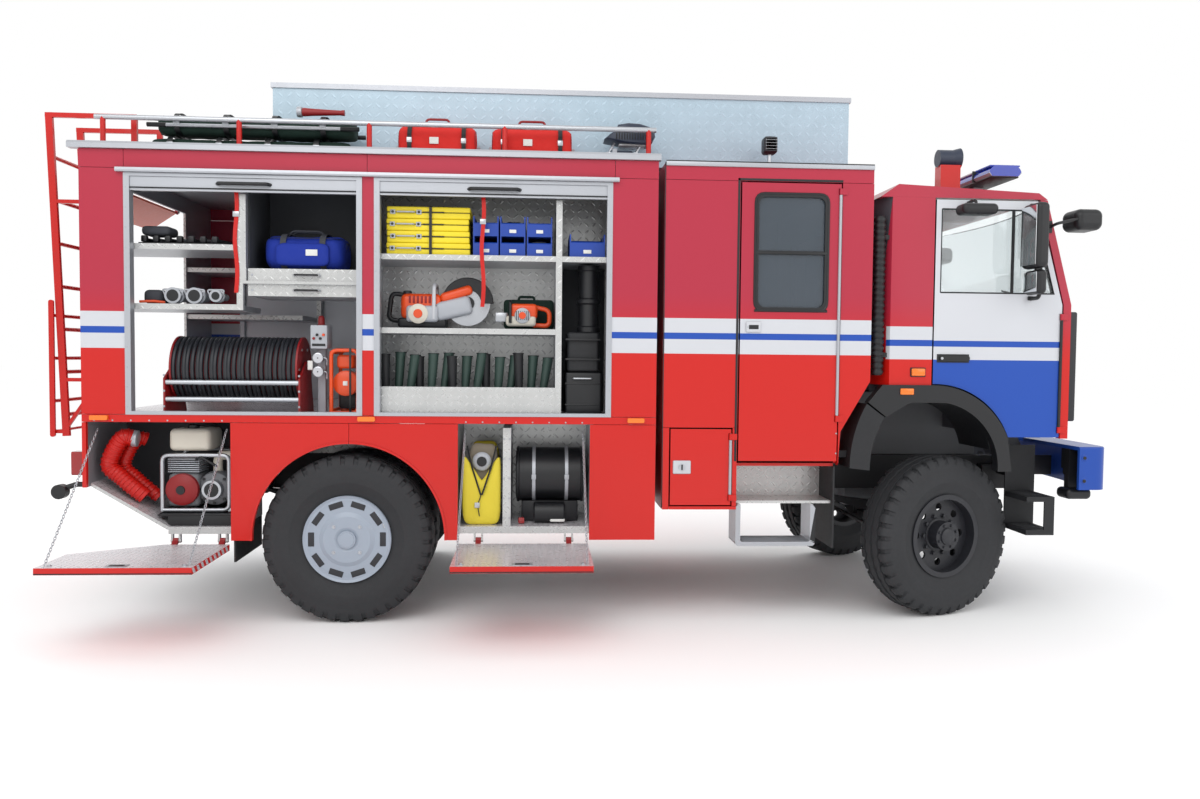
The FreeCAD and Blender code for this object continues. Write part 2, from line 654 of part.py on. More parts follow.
def body_structure():
    """Floors, bulkheads, spine walls, wheel boxes and roof deck behind the panels."""
    inner = HALF_WIDTH - SKIN - SEAT
    g = SEAT
    rear = REAR_WALL_X
    front = BODY_FRONT_X - WALL
    floor0, floor1 = FLOOR_Z
    solids = [box(BODY_REAR_X, BODY_FRONT_X, -inner, inner, DECK_Z, BODY_TOP_Z),
              box(rear + g, front - g, -inner, inner, floor0, floor1),
              box(front, BODY_FRONT_X, -inner, inner, floor0, DECK_Z - g)]
    # rear wall: two posts beside the open rear bay, a header over it and a panel under it
    post = REAR_BAY_HALF
    for sign in (-1, 1):
        y0, y1 = sorted((sign * post, sign * inner))
        solids.append(box(BODY_REAR_X, rear, y0, y1, SLOPE_TOP_Z, DECK_Z - g))
    solids.extend(bearers())
    solids.append(rear_header(post, rear))
    solids.append(box(BODY_REAR_X, rear, -post + g, post - g, RAIL_TOP_Z + 10.0, floor1))
    # upper bulkhead between the two bays, and spine walls of the front bay
    solids.append(box(BULKHEAD_X, BULKHEAD_X + WALL, -inner, inner, floor1 + g, DECK_Z - g))
    for sign in (-1, 1):
        y0, y1 = sorted((sign * SPINE_Y, sign * (SPINE_Y - WALL)))
        solids.append(box(BULKHEAD_X + WALL + g, front - g, y0, y1, floor1 + g, DECK_Z - g))
        solids.extend(lower_walls(sign, inner))
    # the closed box over the reel for the bag and the two trays under it
    front_edge = -HALF_WIDTH + FRAME_DEPTH + 10.0
    solids.append(box(BAG_X0 - WALL, BAG_X0, front_edge, -SPINE_Y, BAG_Z0 + WALL + g, GUTTER_Z - 110.0))
    solids.append(box(BAG_X0 - WALL, BULKHEAD_X - g, -SPINE_Y + g, -SPINE_Y + WALL, BAG_Z0, DECK_Z - g))
    solids.append(box(BAG_X0 - WALL, BULKHEAD_X - g, front_edge, -SPINE_Y, BAG_Z0, BAG_Z0 + WALL))
    return solids


BEARER = 80.0
SUBFRAME_Z = RAIL_TOP_Z + 120.0
WHEEL_BOX_IN = 55.0       # from the twin tyres' inner side in to the wheel box's edge


def bearers():
    """Subframe on the chassis rails and the cross bearers that carry the body's floor."""
    g = SEAT
    half = SPINE_Y - WALL - g
    low = [box(RAIL_REAR_X, BODY_FRONT_X - WALL, y - BEARER / 2.0, y + BEARER / 2.0, RAIL_TOP_Z + g, SUBFRAME_Z)
           for y in (RAIL_OUTER_Y - BEARER / 2.0, BEARER / 2.0 - RAIL_OUTER_Y)]
    places = [(x, half) for x in (RAIL_REAR_X + 60.0, LOW_A[1] - 120.0, LOW_B[0] + 40.0, LOW_B[1] - 80.0)]
    places.append((ARCH_X, TWIN_INSIDE_Y - WHEEL_BOX_IN - 1.0))
    return low + [box(x, x + BEARER, -reach, reach, SUBFRAME_Z + g, FLOOR_Z[0] - g) for x, reach in places]


HATCH_HALF = REAR_BAY_HALF - 130.0
HATCH_LENGTH = 240.0
HATCH_REST = 56.0         # open this far from hanging straight down
HATCH_BARREL = 10.0
HATCH_X = BODY_REAR_X - 16.0
HATCH_Z = GUTTER_Z - 12.0
HATCH_GAUGE = 16.0


def rear_header(post, rear):
    """Panel over the rear bay, with the knuckles and pins that carry the hatch."""
    header = box(BODY_REAR_X, rear, -post + SEAT, post - SEAT, GUTTER_Z, DECK_Z - SEAT)
    parts = []
    for sign in (-1, 1):
        y0 = sign * (HATCH_HALF + KNUCKLE_GAP)
        y1 = sign * (HATCH_HALF + KNUCKLE_GAP + KNUCKLE)
        parts.append(rod((HATCH_X, y0, HATCH_Z), (HATCH_X, y1, HATCH_Z), HATCH_BARREL))
        parts.append(rod((HATCH_X, sign * (HATCH_HALF - PIN_REACH), HATCH_Z), (HATCH_X, y1, HATCH_Z), HINGE_PIN))
        low, high = sorted((y0, y1))
        parts.append(box(HATCH_X - HINGE_OUT, BODY_REAR_X + 2.0, low, high, HATCH_Z, GUTTER_Z + KNUCKLE))
    return header.fuse(parts)


def rear_hatch():
    """Short flap over the rear bay, hinged at its top edge and held half raised."""
    axis = ((HATCH_X, -HATCH_HALF, HATCH_Z), (HATCH_X, HATCH_HALF, HATCH_Z))
    skin = box(HATCH_X - HATCH_GAUGE / 2.0, HATCH_X + HATCH_GAUGE / 2.0, -HATCH_HALF, HATCH_HALF,
               HATCH_Z - HATCH_LENGTH, HATCH_Z)
    lip = box(HATCH_X - 26.0, HATCH_X, -HATCH_HALF, HATCH_HALF, HATCH_Z - HATCH_LENGTH, HATCH_Z - HATCH_LENGTH + 14.0)
    bore = rod((HATCH_X, -HATCH_HALF - 1.0, HATCH_Z), (HATCH_X, HATCH_HALF + 1.0, HATCH_Z), HINGE_PIN + PIN_FIT)
    solid = skin.fuse([lip, rod(*axis, HATCH_BARREL)]).cut(bore)
    return turned(solid, (HATCH_X, 0, HATCH_Z), (0, 1, 0), HATCH_REST)


def lower_walls(sign, inner):
    """Floor, sill, back and end walls of the two lower lockers on one side."""
    g = SEAT
    solids = []

    def wall(x0, x1, y0, y1, z0, z1):
        lo, hi = sorted((sign * y0, sign * y1))
        solids.append(box(x0, x1, lo, hi, z0, z1))

    top = LIP_Z - g
    base = SILL_TOP_Z
    low = base - WALL
    back = SPINE_Y
    edge = HALF_WIDTH - FLAP_THICK - SWING
    x0, x1 = LOW_B[0] - 6.0, LOW_B[1] + 6.0
    y0, y1 = sorted((sign * back, sign * edge))
    floor = box(x0, x1, y0, y1, low, base)
    solids.append(floor.fuse(sill_bar(x0, x1, LOW_B, sign, edge)))
    wall(x0, x1, back - WALL, back - g, low, top)
    wall(x0 - WALL, x0 - g, back - WALL, inner, low, top)
    wall(x1 + g, x1 + WALL, back - WALL, inner, low, top)
    wall(BODY_FRONT_X - WALL, BODY_FRONT_X, back - WALL, inner, low, top)
    split = SLOPE_TOP_Z + 30.0
    end = LOW_A[1] + 6.0
    wall(LOW_A[0], end, back - WALL, back - g, split, top)
    wall(SLOPE_FOOT_X, end, back - WALL, back - g, low, split - g)
    wall(end + g, end + WALL, back - WALL, inner, low, top)
    solids.append(sloped_floor(sign, back, edge))
    # wheel box over the twin tyres
    wall(ARCH_X - ARCH_RADIUS - 60.0, ARCH_X + ARCH_RADIUS + 60.0, TWIN_INSIDE_Y - WHEEL_BOX_IN, inner,
         ARCH_Z + ARCH_RADIUS + 12.0, ARCH_Z + ARCH_RADIUS + 24.0)
    return solids


def arm_places(span):
    """Where a flap's two hinge arms stand along x."""
    first = SLOPE_FOOT_X if span == LOW_A else span[0]
    reach = ARM_SHARE * (span[1] - first)
    return (first + reach, span[1] - reach)


def sill_bar(x0, x1, span, sign, edge):
    """Edge bar under a locker floor, with its hinge brackets and pins."""
    lo, hi = sorted((sign * (edge - 30.0), sign * edge))
    low = SILL_TOP_Z - SILL_HEIGHT
    bar_solid = box(x0, x1, lo, hi, low, SILL_TOP_Z)
    half = ARM_WIDTH / 2.0 + 1.0
    gauge = 12.0
    for x in arm_places(span):
        y = sign * FLAP_HINGE_Y
        reach = half + gauge + 2.0
        parts = [rod((x - reach, y, FLAP_HINGE_Z), (x + reach, y, FLAP_HINGE_Z), FLAP_PIN)]
        for out in (-1, 1):
            c0, c1 = sorted((x + out * half, x + out * (half + gauge)))
            y0, y1 = sorted((sign * (edge - 28.0), sign * edge))
            parts.append(box(c0, c1, y0, y1, FLAP_HINGE_Z - FLAP_PIN - 5.0, low + 10.0))
        bar_solid = bar_solid.fuse(parts)
    return bar_solid


def sloped_floor(sign, back, edge):
    """Floor of the rear lower locker: level in front and rising to the rear."""
    y0, y1 = sorted((sign * back, sign * edge))
    low = SILL_TOP_Z - WALL
    end = LOW_A[1] + 6.0
    outline = [(end, low), (end, SILL_TOP_Z), (SLOPE_FOOT_X + 24.0, SILL_TOP_Z),
               (LOW_A[0] + 4.0, SLOPE_TOP_Z + 26.0), (LOW_A[0] + 4.0, SLOPE_TOP_Z + 4.0), (SLOPE_FOOT_X + 12.0, low)]
    return plate_xz(outline, y0, y1).fuse(sill_bar(SLOPE_FOOT_X + 20.0, end, LOW_A, sign, edge))


def locker_frames():
    """Aluminium frames and rain gutters round the upper lockers, roof trim and door edges."""
    solids = []
    face = -HALF_WIDTH - FRAME_PROUD
    back = -HALF_WIDTH + FRAME_DEPTH
    w = FRAME_WIDTH
    grow = PANEL_SEAM / 2.0 - SEAT
    for x0, x1 in (BAY_A, BAY_B):
        outer = box(x0 - grow, x1 + grow, face, back, WAIST_Z - grow, GUTTER_Z)
        inner = box(x0 + w, x1 - w, face - 10.0, back + 10.0, WAIST_Z + w * 0.6, GUTTER_Z - w * 0.6)
        solids.append(outer.cut(inner))
    y = -HALF_WIDTH
    z = GUTTER_Z
    gutter = [(y - SEAT, z + 2.0), (y - 30.0, z + 2.0), (y - 34.0, z + 12.0), (y - 30.0, z + GUTTER_HEIGHT),
              (y - 24.0, z + GUTTER_HEIGHT), (y - 22.0, z + 10.0), (y - SEAT, z + 10.0)]
    solids.append(plate_yz(gutter, BAY_A[0] - 42.0, BAY_B[1] + 40.0))
    z = BODY_TOP_Z
    out = y - TRIM_OUT
    trim = [(y + 40.0, z + SEAT), (out, z + SEAT), (out, z + 30.0), (out + 10.0, z + TRIM_HEIGHT),
            (y + 4.0, z + TRIM_HEIGHT), (y + 12.0, z + 8.0), (y + 40.0, z + 8.0)]
    solids.append(plate_yz(trim, BODY_REAR_X - 60.0, BODY_FRONT_X + 12.0))
    return pair(solids)


DRUM_RADIUS = 78.0
DRUM_SET = 160.0
SLAT_PITCH = 46.0
SLAT_SET = 12.0
BOTTOM_BAR = 86.0
GRIP_HALF = 165.0


def shutter_drum(a, b):
    """A rolled curtain on the right side, hung from the roof deck by its end plates."""
    y = -HALF_WIDTH + DRUM_SET
    z = GUTTER_Z - 10.0
    drum = rod((a, y, z), (b, y, z), DRUM_RADIUS)
    plates = [box(x, x + 8.0, y - 50.0, y + 50.0, z - 50.0, DECK_Z - SEAT) for x in (a, b - 8.0)]
    return drum.fuse(plates)


def bottom_bar(a, b, z):
    """The curtain's bottom bar with its bent handle, right side."""
    y = -HALF_WIDTH
    lip = box(a, b, y + 4.0, y + 22.0, z, z + BOTTOM_BAR)
    mid = (a + b) / 2.0
    level = z + 48.0
    out = y - 26.0
    grip = bar([(mid - GRIP_HALF, y + 10.0, level), (mid - GRIP_HALF + 15.0, out, level),
                (mid + GRIP_HALF - 15.0, out, level), (mid + GRIP_HALF, y + 10.0, level)], 11.0, 14.0)
    return lip.fuse(grip)


def curtain(a, b, z0, z1):
    """A lowered curtain of hooked slats on the left side."""
    y = HALF_WIDTH - SLAT_SET
    count = int((z1 - z0) / SLAT_PITCH)
    pitch = (z1 - z0) / count
    outline = [(y - 8.0, z0)]
    for i in range(count):
        z = z0 + i * pitch
        outline.extend([(y, z + 3.0), (y + 3.0, z + pitch * 0.5), (y, z + pitch - 3.0), (y - 3.0, z + pitch)])
    outline.append((y - 8.0, z1))
    return plate_yz(outline, a, b)


def shutters():
    """Right side rolled up, left side lowered, each with its drum and bottom bar."""
    solids = []
    for x0, x1 in (BAY_A, BAY_B):
        a = x0 + FRAME_WIDTH + SEAT
        b = x1 - FRAME_WIDTH - SEAT
        drum = shutter_drum(a, b)
        solids.extend([drum, mirrored(drum), bottom_bar(a, b, GUTTER_Z - 108.0)])
        low = WAIST_Z + FRAME_WIDTH * 0.6 + SEAT
        solids.append(mirrored(bottom_bar(a, b, low)))
        solids.append(curtain(a, b, low + BOTTOM_BAR + SEAT, GUTTER_Z - FRAME_WIDTH * 0.6 - SEAT))
    return solids


def flap_outline(span):
    """Edge of a closed flap: (x, height above its lower edge)."""
    g = SWING
    x0, x1 = span[0] + g, span[1] - g
    top = FLAP_LENGTH
    if span != LOW_A:
        return [(x0, 0.0), (x1, 0.0), (x1, top), (x0, top)]
    return [(SLOPE_FOOT_X + 2.0 * g, 0.0), (x1, 0.0), (x1, top), (x0, top), (x0, SLOPE_TOP_Z + g - LOW_SILL_Z)]


def flap(span):
    """A fold-down flap on the right side, lying open, with its two hinge arms."""
    low = FLAP_OPEN_Z - FLAP_THICK
    points = [(x, -HALF_WIDTH - reach) for x, reach in flap_outline(span)]
    solid = plate_xy(points, low, FLAP_OPEN_Z)
    half = ARM_WIDTH / 2.0
    y, z = -FLAP_HINGE_Y, FLAP_HINGE_Z
    out = -HALF_WIDTH - 40.0
    for x in arm_places(span):
        arm = plate_yz([(out, low), (y - 4.0, z - FLAP_EYE + 2.0), (y - 16.0, z + 3.0),
                        (y - 41.0, FLAP_OPEN_Z + 1.0), (out, FLAP_OPEN_Z - 2.0)], x - half, x + half)
        eye = rod((x - half, y, z), (x + half, y, z), FLAP_EYE)
        hole = rod((x - half - 4.0, y, z), (x + half + 4.0, y, z), FLAP_PIN + PIN_FIT)
        solid = solid.fuse([arm, eye]).cut(hole)
    return solid


def closed_flap(span):
    """The same flap folded up against its sill."""
    return turned(flap(span), (0, -FLAP_HINGE_Y, FLAP_HINGE_Z), (1, 0, 0), -90.0)


CHAIN_RADIUS = 6.0
CHAIN_TOP_Z = 1255.0
CHAIN_INSET = 34.0


def flap_chains(span):
    """Two taut chains from the locker's upper corners to the open flap's outer corners."""
    end_y = -HALF_WIDTH - FLAP_LENGTH + 60.0
    end_z = FLAP_OPEN_Z + 4.4
    return [rod((x, -HALF_WIDTH + 16.0, CHAIN_TOP_Z), (x, end_y, end_z), CHAIN_RADIUS)
            for x in (span[0] + CHAIN_INSET, span[1] - CHAIN_INSET)]


def door_levels(span):
    """Lower and upper edge of a door inside its opening."""
    return (span[0] + SWING, span[1] - SWING)


CREW_HINGE = (CREW_DOOR_X[1] - SWING - HINGE_IN, -HALF_WIDTH - HINGE_OUT)
CREW_HINGE_Z = (CREW_NOSE_FOOT[1] + 36.0, CREW_DOOR_Z[1] - SWING)
LOCKER_HINGE = (LOCKER_X[1] - SWING - HINGE_IN, -HALF_WIDTH - HINGE_OUT)


def crew_shell():
    """Crew cabin: side panels round the doors, front, rear, roof and floor."""
    outer = -HALF_WIDTH
    inner = -HALF_WIDTH + CREW_SKIN
    seam = PANEL_SEAM / 2.0
    sides = []

    def panel(points, extra=()):
        solid = plate_xz(points, outer, inner)
        sides.append(solid.fuse(list(extra)) if extra else solid)

    def rect(x0, x1, z0, z1, extra=()):
        x0, x1, z0, z1 = x0 + seam, x1 - seam, z0 + seam, z1 - seam
        panel([(x0, z0), (x1, z0), (x1, z1), (x0, z1)], extra)

    rect(CREW_REAR_X, CREW_DOOR_X[0], LOCKER_Z[1], CREW_DOOR_Z[1])
    rect(CREW_REAR_X, CREW_FRONT_X, CREW_DOOR_Z[1], CREW_TOP_Z)
    rect(CREW_REAR_X, LOCKER_X[0], CREW_LOW_Z, LOCKER_Z[1])
    rect(LOCKER_X[0], CREW_DOOR_X[0], CREW_LOW_Z, LOCKER_Z[0])
    rect(LOCKER_X[1], CREW_DOOR_X[0], *LOCKER_Z, fixed_knuckles(LOCKER_HINGE, door_levels(LOCKER_Z)))
    front = CREW_DOOR_X[1] + seam
    panel([(front, CREW_FLOOR_Z - 20.0), (CREW_NOSE_FOOT[0], CREW_NOSE_FOOT[1]), (CREW_FRONT_X, CREW_NOSE_Z),
           (CREW_FRONT_X, CREW_DOOR_Z[1] - seam), (front, CREW_DOOR_Z[1] - seam)],
          fixed_knuckles(CREW_HINGE, CREW_HINGE_Z))
    solids = pair(sides)
    y = HALF_WIDTH - CREW_SKIN - SEAT
    t = CREW_END_WALL
    g = SEAT
    solids.append(box(CREW_REAR_X, CREW_FRONT_X, -y, y, CREW_TOP_Z - t, CREW_TOP_Z))
    solids.append(box(CREW_REAR_X, CREW_REAR_X + t, -y, y, RAIL_TOP_Z + g, CREW_TOP_Z - t - g))
    solids.extend(pair(crew_locker_walls(y, g)))
    solids.append(crew_front_wall(y, t, g))
    solids.append(box(CREW_REAR_X + t + g, CREW_NOSE_FOOT[0] - 30.0 - g, -y, y, RAIL_TOP_Z + g, CREW_FLOOR_Z - 10.0))
    return solids


def crew_locker_walls(y, g):
    """Open-fronted box behind the low locker door, right side."""
    back = RAIL_OUTER_Y + 210.0
    t = 16.0
    top = RAIL_TOP_Z
    low = CREW_LOW_Z
    x0, x1 = CREW_REAR_X, CREW_DOOR_X[0] - 2.0
    floor = box(x0, x1, -y, -back, low, low + t)
    rear = box(x0, x0 + t, -y, -back, low + t + g, top)
    front = box(x1 - t, x1, -y, -back, low + t + g, top)
    inside = box(x0 + t + g, x1 - t - g, -back - t, -back, low + t + g, top)
    return [floor, rear, front, inside]


def crew_front_wall(y, t, g):
    """Front wall with its wide window towards the cab."""
    foot_x, foot_z = CREW_NOSE_FOOT
    low = CREW_FLOOR_Z - 10.0
    outline = [(CREW_FRONT_X, CREW_NOSE_Z + 6.0), (CREW_FRONT_X, CREW_TOP_Z - t - g),
               (CREW_FRONT_X - t, CREW_TOP_Z - t - g), (CREW_FRONT_X - t, CREW_NOSE_Z + 12.0),
               (foot_x - 30.0, foot_z + 12.0), (foot_x - 30.0, low), (foot_x + 6.0, low), (foot_x + 6.0, foot_z + 6.0)]
    wall = plate_xz(outline, -y, y)
    half = HALF_WIDTH - 550.0
    return wall.cut(box(CREW_FRONT_X - 100.0, CREW_FRONT_X + 20.0, -half, half, 2120.0, 2700.0))


DOOR_THINNER = 4.0
HANDLE_X = (CREW_DOOR_X[0] + 48.0, CREW_DOOR_X[0] + 142.0)
HANDLE_Z = (1916.0, 1982.0)


def crew_door():
    """Right-hand crew door, as thick as the wall, with its window cut and its handle's pocket."""
    z0, z1 = door_levels(CREW_DOOR_Z)
    y = -HALF_WIDTH
    door = box(CREW_DOOR_X[0] + SWING, CREW_DOOR_X[1] - SWING, y, y + CREW_SKIN - DOOR_THINNER, z0, z1)
    window = round_box(*CREW_WINDOW_X, y - 20.0, y + 80.0, *CREW_WINDOW_Z, WINDOW_RADIUS)
    pocket = round_box(*HANDLE_X, y - 10.0, y + 14.0, *HANDLE_Z, 16.0)
    paddle = round_box(HANDLE_X[0] + 6.0, HANDLE_X[1] - 6.0, y - 6.0, y + 20.0, HANDLE_Z[0] + 14.0, HANDLE_Z[1] - 14.0, 12.0)
    door = door.cut(window.fuse(pocket)).fuse(paddle)
    return hang_door(door, CREW_HINGE, CREW_HINGE_Z)


SPLIT_Z = (2424.0, 2448.0)
RUBBER = 22.0


def crew_glass():
    """The window's pane with its middle bar and the rubber that holds it."""
    y = -HALF_WIDTH
    x0, x1 = CREW_WINDOW_X[0] + SEAT, CREW_WINDOW_X[1] - SEAT
    z0, z1 = CREW_WINDOW_Z[0] + SEAT, CREW_WINDOW_Z[1] - SEAT
    r = WINDOW_RADIUS - SEAT
    pane = round_box(x0, x1, y + 14.0, y + 22.0, z0, z1, r)
    rubber = round_box(x0, x1, y - 4.0, y + 30.0, z0, z1, r)
    rubber = rubber.cut(round_box(x0 + RUBBER, x1 - RUBBER, y - 20.0, y + 40.0, z0 + RUBBER, z1 - RUBBER, r - RUBBER))
    split = box(x0 + 2.0, x1 - 2.0, y + 2.0, y + 28.0, *SPLIT_Z)
    return pane.fuse([rubber, split])


def locker_door():
    """Low locker door with its square lock plate."""
    y = -HALF_WIDTH
    z0, z1 = door_levels(LOCKER_Z)
    door = box(LOCKER_X[0] + SWING, LOCKER_X[1] - SWING, y, y + CREW_SKIN - DOOR_THINNER, z0, z1)
    plate = round_box(LOCKER_X[0] + 25.0, LOCKER_X[0] + 143.0, y - 4.0, y + 10.0, 982.0, 1070.0, 8.0)
    return hang_door(door.fuse(plate), LOCKER_HINGE, (z0, z1))


SEAT_Z = (1420.0, 1540.0)


def crew_seats():
    """A bench across the rear of the cabin, with its back and box."""
    rear = CREW_REAR_X + CREW_END_WALL + SEAT
    y = HALF_WIDTH - 100.0
    z0, z1 = SEAT_Z
    cushion = round_box(rear, rear + 478.0, -y, y, z0, z1, 40.0)
    back = round_box(rear, rear + 118.0, -y, y, z1 + SEAT, z1 + 610.0, 36.0)
    stand = box(rear + 38.0, rear + 398.0, -y, y, CREW_FLOOR_Z - 10.0 + SEAT, z0 - SEAT)
    return [cushion, back, stand]


TREAD_Z = 797.0
TREAD_GAUGE = 18.0
FLAP_RUBBER = 12.0


def steps_and_mudguards():
    """Entry steps, mudflaps and the fixed rear legs of the front arches."""
    return pair(crew_step() + [front_mudflap(), rear_mudflap(), arch_leg(), cab_steps()])


def crew_step():
    """Recessed tread, riser and the hanging step frame under the crew door."""
    x0, x1 = CREW_DOOR_X[0] - 2.0 + SEAT, CREW_DOOR_X[1] - 24.0
    y = -HALF_WIDTH
    low = TREAD_Z - TREAD_GAUGE
    tread = box(x0, x1, y + 60.0, y + 330.0, low, TREAD_Z)
    riser = box(x0, x1, y + 330.0 + SEAT, y + 348.0, low, RAIL_TOP_Z)
    end = CREW_DOOR_X[1] - 139.0
    foot = 501.0
    frame = round_box(x0 + 2.0, end, y + 10.0, y + 240.0, foot, low - SEAT, 24.0)
    frame = frame.cut(round_box(x0 + 34.0, end - 34.0, y - 20.0, y + 300.0, foot + 28.0, low + 30.0, 14.0))
    slots = [box(x0 + 60.0, end - 60.0, s, s + 14.0, foot - 10.0, foot + 40.0) for s in
             (y + 50.0, y + 90.0, y + 130.0, y + 170.0)]
    return [tread, riser, frame.cut(slots[0].fuse(slots[1:]))]


def front_mudflap():
    x = CREW_DOOR_X[1] - 22.0
    return box(x, x + FLAP_RUBBER, 20.0 - HALF_WIDTH, 420.0 - HALF_WIDTH, 484.0, RAIL_TOP_Z)


def rear_mudflap():
    x = LOW_A[1] + 8.0
    return box(x, x + FLAP_RUBBER, 40.0 - HALF_WIDTH, -TWIN_INSIDE_Y + 15.0, 400.0, SILL_TOP_Z - WALL - SEAT)


def arch_leg():
    """Fixed rear leg of the front arch, on a bracket from the crew cabin."""
    x = CAB_REAR_X
    y = -CAB_HALF
    leg = plate_xz([(x - 181.0, 1020.0), ((x - 150.0, 1260.0), (x - 73.0, 1450.0)), (x + 48.0, 1360.0),
                    ((x - 25.0, 1180.0), (x - 45.0, 1005.0))], y - 20.0, y + 240.0)
    bracket = box(CREW_NOSE_FOOT[0] + 6.0 + SEAT, x - 140.0, y + 70.0, y + 130.0, 1085.0, 1130.0)
    return leg.fuse(bracket)


STEP_X = (CAB_DOOR_X[1] - 205.0, CAB_DOOR_X[1] - 10.0)
STEP_ZS = (596.0, 823.0)
STEP_DEPTH = 320.0


def cab_steps():
    """Two treads on a pair of straps under the cab door, held from the rail."""
    x0, x1 = STEP_X
    y = -CAB_HALF + 20.0
    back = y + STEP_DEPTH
    foot = STEP_ZS[0] - 15.0
    parts = []
    for z in STEP_ZS:
        tread = box(x0, x1, y, back, z - 34.0, z)
        tread = tread.cut(box(x0 + 12.0, x1 - 12.0, y + 12.0, back - 12.0, z - 40.0, z - 6.0))
        for i in range(4):
            s = y + 60.0 + i * 60.0
            tread = tread.cut(box(x0 + 30.0, x1 - 30.0, s, s + 26.0, z - 20.0, z + 5.0))
        parts.append(tread)
    parts.append(box(x1 - 70.0, x1, y, y + 12.0, foot, STEP_ZS[1]))
    parts.append(box(x1 - 63.0, x1 - 13.0, back + 6.0, -RAIL_OUTER_Y - 2.0 * SEAT - STAY_WIDTH, 900.0, 960.0))
    return box(x0, x1 + 20.0, back, back + 12.0, foot, 1150.0).fuse(parts)


STACK_X = CAB_REAR_X + 4.0
STACK_Y = 25.0 - CAB_HALF
STACK_RADIUS = 34.0
STACK_RIB = 8.0
STACK_PITCH = 40.0
STACK_Z = (1640.0, 2690.0)


def intake_stack():
    """Ribbed bellows of the air intake, clipped to the cab's rear corner."""
    z0, z1 = STACK_Z
    count = int((z1 - z0) / STACK_PITCH)
    pitch = (z1 - z0) / count
    rib = STACK_RADIUS + STACK_RIB
    points = [(0.0, z0)]
    for i in range(count):
        z = z0 + i * pitch
        points.extend([(STACK_RADIUS, z), (rib, z + pitch * 0.35), (rib, z + pitch * 0.65)])
    points.extend([(STACK_RADIUS, z1), (0.0, z1)])
    stack = closed_face(points, side, 0.0).revolve(V(0, 0, 0), V(0, 0, 1), 360)
    stack.translate(V(STACK_X, STACK_Y, 0))
    edges = (STACK_Y + 25.0, STACK_Y - 5.0)
    wall = [(CAB_REAR_X + CORNER_RUN * (CORNER_CUT - CAB_HALF - y) / CORNER_CUT - SEAT, y) for y in edges]
    outline = [(STACK_X, edges[1]), (STACK_X, edges[0])] + wall
    return stack.fuse([plate_xy(outline, z, z + 30.0) for z in (z0 + 120.0, z1 - 150.0)])


def roof_rails_and_ladder():
    """Side rails on posts, and the fixed rear ladder that runs up over the roof edge."""
    r = RAIL_RADIUS
    rails = []
    x0, x1 = BODY_REAR_X + 40.0, BODY_FRONT_X - 4.0
    for sign in (-1, 1):
        y = sign * RAIL_Y
        rail = rod((x0, y, RAIL_Z), (x1, y, RAIL_Z), r)
        for x in (x0 + 50.0, -700.0, 126.0, x1 - 996.0, x1 - 50.0):
            foot = rod((x, y, BODY_TOP_Z + SEAT), (x, y, BODY_TOP_Z + 10.0), 2.2 * r)
            rail = rail.fuse([rod((x, y, BODY_TOP_Z + SEAT), (x, y, RAIL_Z), r), foot])
        rails.append(rail)
    return rails + [rear_ladder()]


def ladder_x(z):
    share = (z - LADDER_FOOT_Z) / (LADDER_TOP_Z - LADDER_FOOT_Z)
    return LADDER_FOOT_X + share * (LADDER_TOP_X - LADDER_FOOT_X)


STAY_LEVELS = (1560.0, 2720.0)


def rear_ladder():
    """Stiles that lean out to the top, with rungs, stays, foot braces and the drop section's pin."""
    parts = []
    half = STILE_WIDTH / 2.0
    over_x = BODY_REAR_X + 250.0
    for y in LADDER_Y:
        parts.append(strut((ladder_x(LADDER_FOOT_Z), y, LADDER_FOOT_Z), (LADDER_TOP_X, y, LADDER_TOP_Z),
                           STILE, STILE_WIDTH))
        parts.append(box(LADDER_TOP_X - STILE / 2.0, over_x, y - half, y + half, LADDER_TOP_Z - 30.0, LADDER_TOP_Z))
        parts.append(box(over_x - 36.0, over_x, y - half, y + half, BODY_TOP_Z + SEAT, LADDER_TOP_Z))
        for z in STAY_LEVELS:
            parts.append(box(ladder_x(z), BODY_REAR_X - SEAT, y - half + 1.0, y + half - 1.0, z - 12.0, z + 12.0))
        z0, z1 = LADDER_FOOT_Z + 50.0, STAY_LEVELS[0] + 8.0
        brace = strut((ladder_x(z0), y, z0), (BODY_REAR_X, y, z1), 22.0, STILE_WIDTH - 6.0)
        parts.append(brace.common(box(LADDER_TOP_X, BODY_REAR_X - SEAT, y - 20.0, y + 20.0, z0, z1)))
        parts.append(box(DROP_X - 12.0, ladder_x(DROP_Z), y - half, y + half, DROP_Z - 12.0, DROP_Z + 12.0))
    for i in range(int((LADDER_TOP_Z - LADDER_FOOT_Z) / RUNG_PITCH)):
        z = LADDER_FOOT_Z + RUNG_PITCH / 2.0 + i * RUNG_PITCH
        parts.append(rod((ladder_x(z), LADDER_Y[0], z), (ladder_x(z), LADDER_Y[1], z), RUNG_RADIUS))
    parts.append(rod((DROP_X, LADDER_Y[0] - 34.0, DROP_Z), (DROP_X, LADDER_Y[1] + 34.0, DROP_Z), DROP_PIN))
    return parts[0].fuse(parts[1:])


